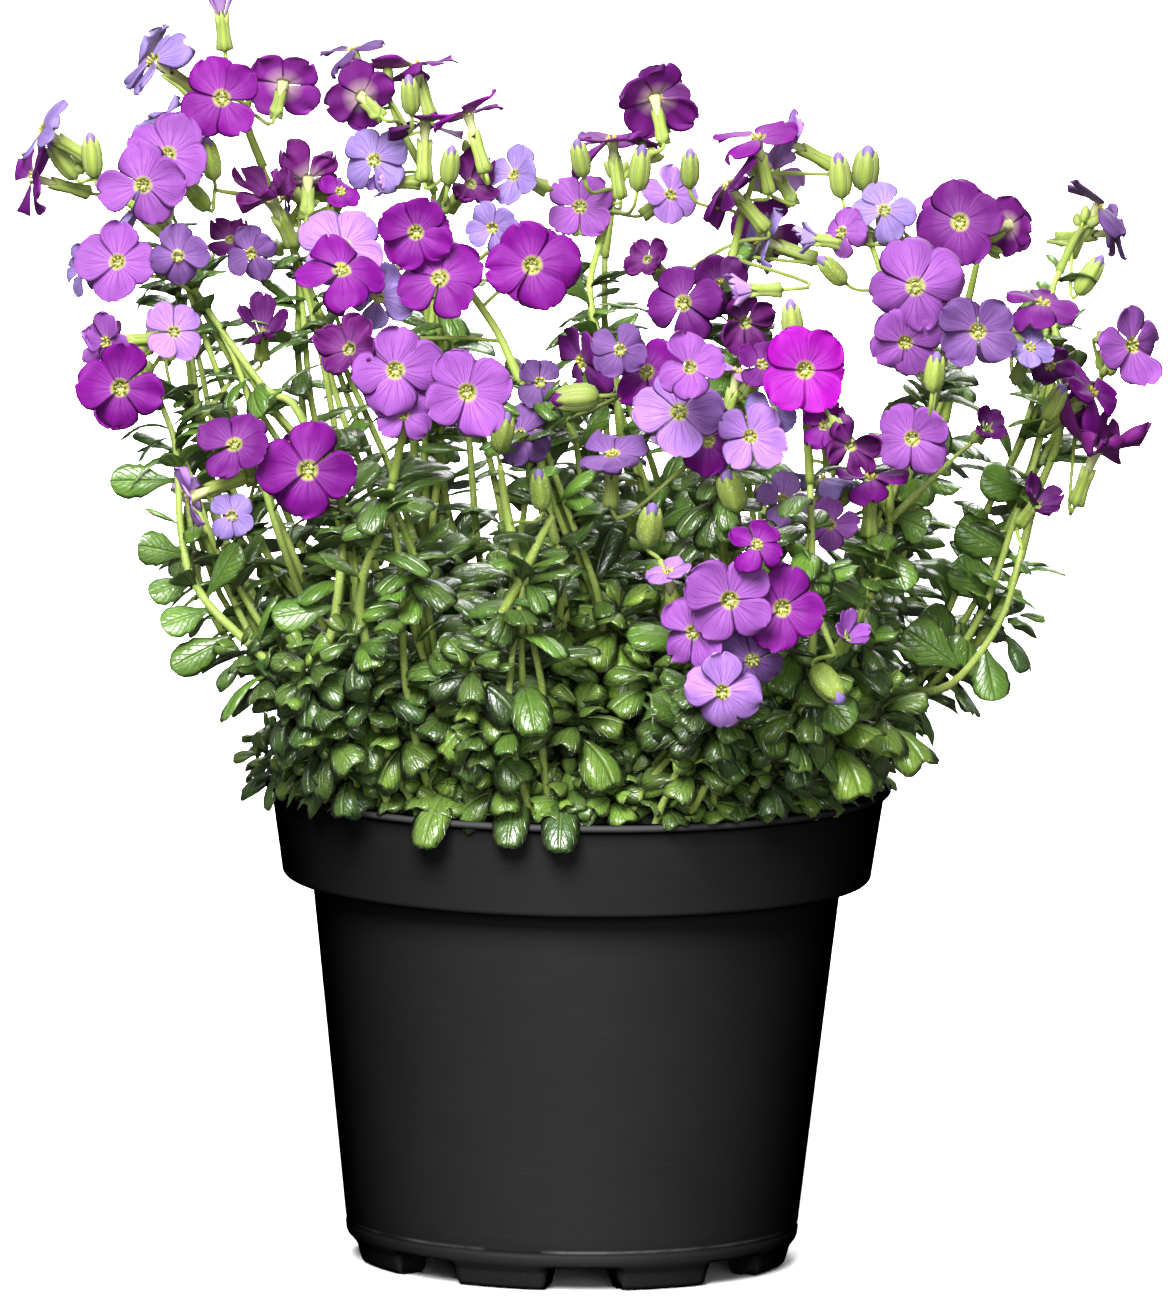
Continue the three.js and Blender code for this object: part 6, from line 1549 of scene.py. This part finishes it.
def rosette(centre, shoot, leaves, size, settings, draw, young):
    """Leaves of one shoot as rows of numbers. Each leaf turns by the golden angle; outer ones
    are lower on the shoot, longer and more bent back."""
    first, second = cross_axes(shoot)
    turn = TAU * draw()
    rows = []
    for k in range(leaves):
        age = (k + 0.6) / leaves
        out = spoke(first, second, turn + k * GOLDEN_ANGLE + 0.3 * (draw() - 0.5))
        lean = math.radians(12 + 72 * age ** 0.8 + 16 * (draw() - 0.5))
        along = shoot * math.cos(lean) + out * math.sin(lean)
        upper = shoot * math.sin(lean) - out * math.cos(lean)
        length = settings.leaf_length * size * (0.36 + 0.64 * age ** 0.7) * (0.9 + 0.2 * draw())
        base = centre - shoot * (7.5 * age * size) + out * 0.5
        fresh = np.asarray(settings.young_colour) * 1.1
        tone = leaf_green(settings, young) * age ** 0.35 + fresh * (1 - age ** 0.35)
        rows.append((base, along, upper, length, length * (0.78 + 0.16 * draw()),
                     0.2 + 0.3 * age + 0.2 * draw(), 0.26 + 0.16 * draw(),
                     shaded(tone, 0.42, draw)))
    return rows


LIFT_STEPS = 6


def clears_pot(row):
    """Whether a leaf stays above the pot's lip or outside it."""
    base, along, length = row[0], row[1], row[3]
    spots = [base + along * length * share - np.array((0, 0, row[5] * length * share ** 2))
             for share in (0.35, 0.7, 1.0)]
    return all(spot[2] > POT_HEIGHT + 0.8 or math.hypot(spot[0], spot[1]) > LIP_RADIUS + 1.0
               for spot in spots)


def lifted(row):
    """The leaf turned up in small steps until it clears the pot, or None where it can't."""
    for _ in range(LIFT_STEPS):
        if clears_pot(row):
            return row
        along = unit(row[1] + 0.22 * UP)
        upper = unit(row[2] - along * (row[2] @ along))
        row = (row[0], along, upper, *row[3:])
    return None


# Shoots that stand out of the cushion: pixel of the tip, depth, size and how young they are
TALL_SHOOTS = (
    (620, 600, -44, 1.0, 0.9), (545, 640, -50, 0.95, 0.3), (470, 640, -46, 0.95, 0.5),
    (410, 650, -44, 0.95, 0.2), (365, 700, -46, 0.9, 0.4), (690, 560, -36, 0.9, 0.5),
    (835, 700, -50, 1.1, 0.9), (880, 690, -40, 1.0, 0.6), (780, 640, -48, 0.95, 0.3),
    (580, 700, -58, 1.0, 0.5), (650, 660, -52, 0.95, 0.3), (500, 570, -20, 0.9, 0.3),
    (430, 590, -16, 0.9, 0.2), (600, 550, -6, 0.9, 0.3), (740, 590, -20, 0.9, 0.4),
    (820, 620, -14, 0.95, 0.4), (560, 520, 20, 0.9, 0.3), (690, 520, 22, 0.9, 0.2),
    (345, 640, -30, 0.9, 0.2), (380, 590, -8, 0.9, 0.1), (455, 545, 8, 0.9, 0.2),
    (520, 535, 4, 0.9, 0.1), (610, 505, 14, 0.9, 0.2), (650, 550, -8, 0.95, 0.1),
    (700, 575, -22, 0.95, 0.3), (755, 550, 2, 0.9, 0.1), (790, 590, -6, 0.9, 0.3),
    (840, 650, -24, 0.95, 0.2), (500, 610, -34, 0.95, 0.2), (430, 560, 24, 0.9, 0.1),
)

# Leaves that hang over the lip: bearing in degrees, length, width and how young they are
HANGING_LEAVES = ((-117, 16.5, 7.8, 0.6), (-102, 15.0, 7.2, 0.2), (-93, 15.8, 7.4, 0.1))
FOOT_ROSETTE_HEIGHTS = (98.0, 104.0, 110.0, 116.0, 122.0)
FOOT_MARGIN = 8.0
HIGHEST_SHARE = 0.97
SHOOT_SOURCE = (0, 0, 70)
FRINGE_RADIUS, LEFT_BULGE = 56.5, 5.5


def hanging_leaf(angle, length, width, young, settings, draw):
    """A leaf that arches over the lip and hangs in front of the collar."""
    out = level(angle)
    along = unit(out - 0.12 * UP)
    upper = unit(UP - along * along[2])
    green = shaded(leaf_green(settings, young), 0.1, draw)
    return (out * 52 + 97.5 * UP, along, upper, length, width, 0.55, 0.2, green)


def foot_rosettes(routes, settings, draw):
    """Rosettes up the lowest stretch of each stem, where it stands out of the cushion."""
    rows = []
    for route in routes:
        path = smooth_path(route)
        heights = path[:, 2]
        for height in FOOT_ROSETTE_HEIGHTS:
            spot = path[int(np.argmin(np.abs(heights - height - 4 * draw())))]
            away = math.hypot(spot[0], spot[1])
            if away < dome_radius(height) - FOOT_MARGIN:
                continue
            out = np.array((spot[0] / away, spot[1] / away, 0.0))
            shoot = unit(out + np.array((0.4 * draw() - 0.2, 0.4 * draw() - 0.2, 1.0 + 0.5 * draw())))
            rows += rosette(spot + out * 3.5 + shoot * 3, shoot, 8, 0.8 + 0.25 * draw(), settings,
                            draw, 0.6 * draw() ** 2)
    return rows


def build_cushion(settings, stems):
    """The leaf cushion: a dark core of painted shade, rosettes spread by the golden angle over the dome
    and up the feet of the stems, taller shoots, and a fringe that reaches over the lip."""
    draw = random_source(21)
    groups = {"front": [], "back": [], "rim": [], "feet": []}

    def keep(rows, name=None):
        """Puts the leaves that clear the pot in a group: front or back where none is named."""
        for row in filter(None, map(lifted, rows)):
            groups[name or ("front" if row[0][1] < 0 else "back")].append(row)

    for i in range(settings.rosettes):
        share = (1 - math.sqrt((i + 0.5) / settings.rosettes)) * HIGHEST_SHARE
        radius, height = dome_section(share)
        centre = radius * level(i * GOLDEN_ANGLE) + height * UP
        shoot = unit(unit(centre - SHOOT_SOURCE) + 0.35 * np.array((draw() - 0.5, draw() - 0.5, 0.4)))
        centre = centre + shoot * (4.5 * draw() - 1.5)
        keep(rosette(centre, shoot, 9 + int(4 * draw()), 0.75 + 0.4 * draw(), settings, draw,
                     0.75 * draw() ** 2))
    for i in range(settings.fringe):
        angle = TAU * (i + 0.6 * draw()) / settings.fringe
        edge = FRINGE_RADIUS + LEFT_BULGE * math.exp(-((angle - math.pi) / 0.5) ** 2)
        centre = edge * level(angle) + (95 + 4 * draw()) * UP
        shoot = unit(level(angle) + (0.5 + 0.5 * draw()) * UP)
        keep(rosette(centre, shoot, 9 + int(3 * draw()), 0.75 + 0.3 * draw(), settings, draw,
                     0.5 * draw()), "rim")
    for bearing, length, width, young in HANGING_LEAVES:
        groups["rim"].append(hanging_leaf(math.radians(bearing), length, width, young, settings, draw))
    for px, py, depth, size, young in TALL_SHOOTS:
        centre = photo_point(px, py, depth)
        shoot = unit(np.array((0.3 * (draw() - 0.5), -0.35, 1.0)))
        keep(rosette(centre, shoot, 12, 1.15 * size, settings, draw, young))
    keep(foot_rosettes([routes[0] for routes, _ in stems.values()], settings, draw), "feet")
    leaf = leaf_finish("cushion_leaf")
    core = painted_shade_core_finish()
    for name, rows in groups.items():
        skin = Skin()
        add_leaves(skin, rows, True)
        if name == "front":
            add_core(skin)
        piece = skin.build(f"cushion_leaves_{name}", [leaf, core])
        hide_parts("leaf_cushion")


def nearest_on_routes(routes, target):
    """The point of the routes nearest to the target, out of 13 on each stretch."""
    spots = np.vstack([steps_between(start, end, 12)
                       for route in routes for start, end in zip(route[:-1], route[1:])])
    return spots[int(np.argmin(np.linalg.norm(spots - target, axis=1)))]


LEAF_SWING = -3
HAIRS_PER_MM = 5
HAIR_THICKNESS = 0.05
HAIR_TONE = (0.50, 0.58, 0.32)


def stem_leaf_row(routes, leaf, settings, draw):
    """One stem leaf as a row of numbers, from its base on the stem to its tip's pixel."""
    base = nearest_on_routes(routes, photo_point(*leaf.base, leaf.depth))
    along = photo_point(*leaf.tip, leaf.depth + LEAF_SWING) - base
    length = np.linalg.norm(along)
    along = along / length
    up = unit(UP - along * along[2])
    upper = unit(up * (1 - leaf.turn) + np.array((0.0, -leaf.turn, 0.0)))
    green = np.asarray(settings.leaf_colour) * (0.7 + 0.8 * draw())
    return (base, along, upper, length, leaf.width, 0.16, 0.12 + 0.12 * draw(),
            shaded(green, 0.1, draw))


def add_hairs(skin, path, radii, draw, length=0.45):
    """Adds short hairs along a stem: three-sided spikes that stand off it in random bearings."""
    whole = ways_along(path)
    count = int(whole[-1] * HAIRS_PER_MM)
    if count < 1:
        return
    rng = np.random.default_rng(int(draw() * 1e6))
    spots = rng.uniform(0, whole[-1], count)
    centre = np.stack([np.interp(spots, whole, path[:, axis]) for axis in range(3)], 1)
    radius = np.interp(spots, whole, np.broadcast_to(radii, len(path)))
    along, first, second = ring_frames(path)
    index = np.minimum(np.searchsorted(whole, spots), len(path) - 1)
    bearing = rng.uniform(0, TAU, count)
    out = first[index] * np.cos(bearing)[:, None] + second[index] * np.sin(bearing)[:, None]
    out = unit(out + along[index] * rng.uniform(-0.4, 0.5, count)[:, None])
    side = unit(np.cross(out, along[index]))
    other = np.cross(out, side)
    foot = centre + out * (radius * 0.9)[:, None]
    corners = [foot + HAIR_THICKNESS * spoke(side, other, turn) for turn in bearings(3)]
    tip = centre + out * (radius + length * rng.uniform(0.6, 1.2, count))[:, None]
    points = np.stack((*corners, tip), 1).reshape(-1, 3)
    faces = np.array(((0, 1, 3), (1, 2, 3), (2, 0, 3), (2, 1, 0)))
    faces = (faces[None] + 4 * np.arange(count)[:, None, None]).reshape(-1, 3)
    tones = np.tile((*HAIR_TONE, 1.0), (len(points), 1))
    skin.add(points, np.zeros((len(points), 2)), tones, [faces])


LEAFY_FROM, LEAFY_TO = 108.0, 194.0
FARTHEST_FOOT = 47.0
STEM_TAPER = 0.42
BRANCH_GIRTH = 0.85
SHOOT_RADII = (0.85, 0.55)


def side_shoot_path(path, draw):
    """A thinner stem beside a stem: it starts some millimetres off at the soil, bows out on its
    own bearing by the sine of the way, and joins the stem near its top."""
    bearing, bow = TAU * draw(), TAU * draw()
    foot = path[0] + level(bearing) * (7 + 8 * draw())
    foot[:2] *= min(1.0, FARTHEST_FOOT / math.hypot(foot[0], foot[1]))
    off = foot - path[0]
    end = int(len(path) * (0.7 + 0.25 * draw()))
    share = (np.arange(end) / (end - 1))[:, None]
    sway = level(bow) * (2.5 + 3.5 * draw())
    start, finish = path[0], path[end - 1]
    straight = start + (finish - start) * share
    return ((path[:end] * 0.55 + straight * 0.45) + off * (1 - share) ** 1.3
            + sway * np.sin(math.pi * share) ** 2)


def shoot_leaves(path, settings, draw, spacing):
    """Small leaves along a stem's leafy stretch, turned by the golden angle from one to the
    next, as rows of numbers."""
    along_path, first, second = ring_frames(path)
    whole = ways_along(path)
    spot, bearing, rows = 0.0, 6.3 * draw(), []
    while spot < whole[-1]:
        spot += spacing * (0.6 + 0.8 * draw())
        bearing += 2.4 + 0.5 * (draw() - 0.5)
        k = min(int(np.searchsorted(whole, spot)), len(path) - 1)
        if not LEAFY_FROM < path[k][2] < LEAFY_TO:
            continue
        out = spoke(first[k], second[k], bearing)
        rise = 0.3 + 1.7 * draw()
        along = unit(out + along_path[k] * rise)
        upper = unit(along_path[k] - out * rise)
        upper = unit(upper - along * (upper @ along))
        rank = 0.35 * (path[k][2] - LEAFY_FROM) / (LEAFY_TO - LEAFY_FROM)
        length = (7.0 + 5.0 * draw()) * (1.15 - rank)
        # The stem leaves' brightness differs at random; the darkest ones are painted shade for leaves deep
        # among the stems
        green = np.asarray(settings.leaf_colour) * (0.3 + 1.2 * draw())
        rows.append((path[k] + out * 0.4, along, upper, length, length * (0.5 + 0.22 * draw()),
                     0.2 + 0.8 * draw(), 0.15 + 0.2 * draw(), shaded(green, 0.12, draw)))
    return rows


def build_stems(settings, bloom_settings, placed):
    """One piece for each flowering stem: its routes as smooth tapering tubes with short hairs,
    its leaves and its buds."""
    stem_material, leaf_material = stem_finish(), leaf_finish("stem_leaf")
    petal_material = petal_finish()
    draw = random_source(33)
    for stem in STEMS:
        routes, buds = placed[stem.name]
        skin, leaves = Skin(), []
        for number, route in enumerate(routes):
            path = smooth_path(route)
            share = np.linspace(0, 1, len(path))
            radii = settings.girth * stem.radius * (1 - STEM_TAPER * share)
            if number > 0:
                radii = radii * BRANCH_GIRTH
            add_tube(skin, path, radii, 10, shaded(settings.stem_colour, 0.15, draw))
            add_hairs(skin, path, radii, draw)
            if number > 0:
                continue
            leaves += shoot_leaves(path, settings, draw, settings.leaf_spacing)
            for _ in range(settings.side_shoots):
                shoot = side_shoot_path(path, draw)
                slim = np.linspace(*SHOOT_RADII, len(shoot))
                add_tube(skin, shoot, slim, 8, shaded(settings.stem_colour, 0.25, draw))
                leaves += shoot_leaves(shoot, settings, draw, settings.leaf_spacing)
        for bud in buds:
            add_bud(skin, bud, bloom_settings, draw)
        large = [stem_leaf_row(routes, StemLeaf(*row), settings, draw)
                 for row in STEM_LEAVES.get(stem.name, ())]
        for rows, small in ((large, False), (leaves, True)):
            if rows:
                add_leaves(skin, rows, small, LEAF_PART)
        piece = skin.build(f"flowering_stem_{stem.name}", [stem_material, petal_material, leaf_material])
        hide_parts(f"stem_{stem.name}")


RACHIS_OVERLAP = 1.2
RACHIS_FOOT_RADIUS, RACHIS_TAPER = 0.95, 0.35


def build_racemes(settings, placed):
    """One piece for each raceme: its rachis, pedicels, calyces, blooms and buds."""
    green, petal = green_finish(), petal_finish()
    draw = random_source(47)
    for name, (route, flowers, buds) in placed.items():
        skin = Skin()
        path = smooth_path(route)
        path = np.vstack((path[0] - unit(path[1] - path[0]) * RACHIS_OVERLAP, path))
        radii = RACHIS_FOOT_RADIUS - RACHIS_TAPER * np.linspace(0, 1, len(path))
        add_tube(skin, path, radii, 8, shaded(settings.calyx_tone, 0.12, draw), GREEN_PART)
        add_hairs(skin, path, radii, draw, 0.4)
        add_tiny_buds(skin, path[-1], unit(path[-1] - path[-2]), settings, draw)
        for flower in flowers:
            add_bloom(skin, flower, settings, draw)
        for bud in buds:
            add_bud(skin, bud, settings, draw)
        piece = skin.build(f"blooms_{name}", [green, petal])
        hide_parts(f"raceme_{name}")


# Stage

def add_area(name, place, aim_at, size, power, spread=180.0):
    """A square lamp that faces a point; spread is the full angle of its beam, in degrees."""
    lamp = bpy.data.lights.new(name, "AREA")
    lamp.size = size
    lamp.spread = math.radians(spread)
    lamp.energy = power
    holder = place_object(name, lamp)
    holder.location = place
    aim = Matrix.Translation(aim_at).translation - holder.location
    holder.rotation_mode = "QUATERNION"
    holder.rotation_quaternion = aim.to_track_quat("-Z", "Y")


def build_world(strength):
    """Light of so much strength from all sides, and a white backdrop that only the camera sees."""
    world = bpy.data.worlds.new("studio")
    world.use_nodes = True
    nodes, join = world.node_tree.nodes, world.node_tree.links.new
    light = nodes["Background"]
    backdrop = nodes.new("ShaderNodeBackground")
    for background in (light, backdrop):
        background.inputs["Color"].default_value = (1.0, 1.0, 1.0, 1.0)
    light.inputs["Strength"].default_value = strength
    seen = nodes.new("ShaderNodeLightPath")
    choice = nodes.new("ShaderNodeMixShader")
    join(seen.outputs["Is Camera Ray"], choice.inputs[0])
    join(light.outputs[0], choice.inputs[1])
    join(backdrop.outputs[0], choice.inputs[2])
    join(choice.outputs[0], nodes["World Output"].inputs["Surface"])
    bpy.context.scene.world = world


def build_camera():
    """The camera of the photograph: its place, tilt, roll and viewing angle."""
    camera = bpy.data.cameras.new("photo_camera")
    camera.sensor_width = SENSOR_MM
    camera.lens = VIEW_FOCAL / VIEW_LONG_SIDE * SENSOR_MM
    camera.clip_start, camera.clip_end = 0.1, 30.0
    holder = place_object("photo_camera", camera)
    across = np.array((1.0, 0.0, 0.0))
    upward = np.array((0.0, math.sin(VIEW_TILT), math.cos(VIEW_TILT)))
    right = across * math.cos(VIEW_ROLL) + upward * math.sin(VIEW_ROLL)
    up = upward * math.cos(VIEW_ROLL) - across * math.sin(VIEW_ROLL)
    axes = Matrix((right, up, np.cross(right, up))).transposed().to_4x4()
    holder.matrix_world = Matrix.Translation(VIEW_EYE * MM) @ axes
    bpy.context.scene.camera = holder


def build_stage(settings):
    """A pale floor that ends where it is still lit to white, a white backdrop past it, a soft lamp
    at the front left, weaker ones at the front right and behind, light from all sides, and the
    camera of the photograph. The floor throws no light back, which keeps the shadows deep."""
    side, front, back, under = 0.45, -0.9, 2.4, -0.0002
    corners = ((-side, front, under), (side, front, under), (side, back, under), (-side, back, under))
    mesh = bpy.data.meshes.new("floor")
    mesh.from_pydata(corners, [], [(0, 1, 2, 3)])
    floor = place_object("floor", mesh)
    mesh.materials.append(floor_finish(settings))
    floor.visible_diffuse = False
    floor.visible_glossy = False
    plant = (0.0, 0.0, 0.12)
    add_area("key_lamp", (-0.35, -1.5, 1.35), plant, 0.9, settings.key_power)
    add_area("fill_lamp", (0.35, -2.4, 0.5), plant, 0.8, settings.fill_power)
    add_area("back_lamp", (0.6, 2.0, 1.1), plant, 1.0, settings.back_power)
    add_area("floor_lamp", (0.0, 1.6, 1.6), (0.0, 1.3, 0.0), 1.0, settings.floor_power, 70.0)
    build_world(settings.sky)
    bpy.context.scene.view_settings.view_transform = "Standard"
    build_camera()


# Operators, panel and run

PLACED = {}


def placed():
    """The layout, worked out once."""
    if not PLACED:
        PLACED["racemes"], PLACED["stems"] = layout()
    return PLACED


class AUBRIETA_OT_pot(bpy.types.Operator):
    """Build the nursery pot"""
    bl_idname = "aubrieta.pot"
    bl_label = "Pot"

    def execute(self, context):
        build_pot(context.scene.aubrieta_pot)
        return {"FINISHED"}


class AUBRIETA_OT_soil(bpy.types.Operator):
    """Build the peat soil"""
    bl_idname = "aubrieta.soil"
    bl_label = "Soil"

    def execute(self, context):
        build_soil(context.scene.aubrieta_pot)
        return {"FINISHED"}


class AUBRIETA_OT_cushion(bpy.types.Operator):
    """Build the leaf cushion"""
    bl_idname = "aubrieta.cushion"
    bl_label = "Leaf cushion"

    def execute(self, context):
        build_cushion(context.scene.aubrieta_cushion, placed()["stems"])
        return {"FINISHED"}


class AUBRIETA_OT_stems(bpy.types.Operator):
    """Build the flowering stems with their leaves"""
    bl_idname = "aubrieta.stems"
    bl_label = "Flowering stems"

    def execute(self, context):
        scene = context.scene
        build_stems(scene.aubrieta_stems, scene.aubrieta_blooms, placed()["stems"])
        return {"FINISHED"}


class AUBRIETA_OT_racemes(bpy.types.Operator):
    """Build the racemes with their blooms and buds"""
    bl_idname = "aubrieta.racemes"
    bl_label = "Racemes"

    def execute(self, context):
        build_racemes(context.scene.aubrieta_blooms, placed()["racemes"])
        return {"FINISHED"}


class AUBRIETA_OT_stage(bpy.types.Operator):
    """Build the floor, lights and camera"""
    bl_idname = "aubrieta.stage"
    bl_label = "Stage"

    def execute(self, context):
        build_stage(context.scene.aubrieta_stage)
        return {"FINISHED"}


class AUBRIETA_PT_panel(bpy.types.Panel):
    """Lists the pieces of the plant"""
    bl_idname = "AUBRIETA_PT_panel"
    bl_label = "Potted aubrieta"
    bl_space_type = "VIEW_3D"
    bl_region_type = "UI"
    bl_category = "Aubrieta"

    def draw(self, context):
        for operator in OPERATORS:
            self.layout.operator(operator.bl_idname)
        for group in SETTINGS:
            box = self.layout.box()
            settings = getattr(context.scene, group)
            for key in settings.bl_rna.properties.keys():
                if key not in ("rna_type", "name"):
                    box.prop(settings, key)


OPERATORS = (
    AUBRIETA_OT_stage, AUBRIETA_OT_pot, AUBRIETA_OT_soil, AUBRIETA_OT_cushion,
    AUBRIETA_OT_stems, AUBRIETA_OT_racemes)
SETTINGS = {
    "aubrieta_pot": AubrietaPotSettings,
    "aubrieta_cushion": AubrietaCushionSettings,
    "aubrieta_stems": AubrietaStemSettings,
    "aubrieta_blooms": AubrietaBloomSettings,
    "aubrieta_stage": AubrietaStageSettings,
}


def register():
    """Registers the settings, the operators and the panel."""
    for group, settings in SETTINGS.items():
        bpy.utils.register_class(settings)
        setattr(bpy.types.Scene, group, bpy.props.PointerProperty(type=settings))
    for operator in OPERATORS:
        bpy.utils.register_class(operator)
    bpy.utils.register_class(AUBRIETA_PT_panel)


def unregister():
    """Takes the panel, the operators and the settings out again."""
    bpy.utils.unregister_class(AUBRIETA_PT_panel)
    for operator in reversed(OPERATORS):
        bpy.utils.unregister_class(operator)
    for group, settings in SETTINGS.items():
        delattr(bpy.types.Scene, group)
        bpy.utils.unregister_class(settings)


def main():
    """Builds everything in order."""
    register()
    bpy.ops.aubrieta.stage()
    bpy.ops.aubrieta.pot()
    bpy.ops.aubrieta.soil()
    bpy.ops.aubrieta.cushion()
    bpy.ops.aubrieta.stems()
    bpy.ops.aubrieta.racemes()


if __name__ == "__main__":
    main()
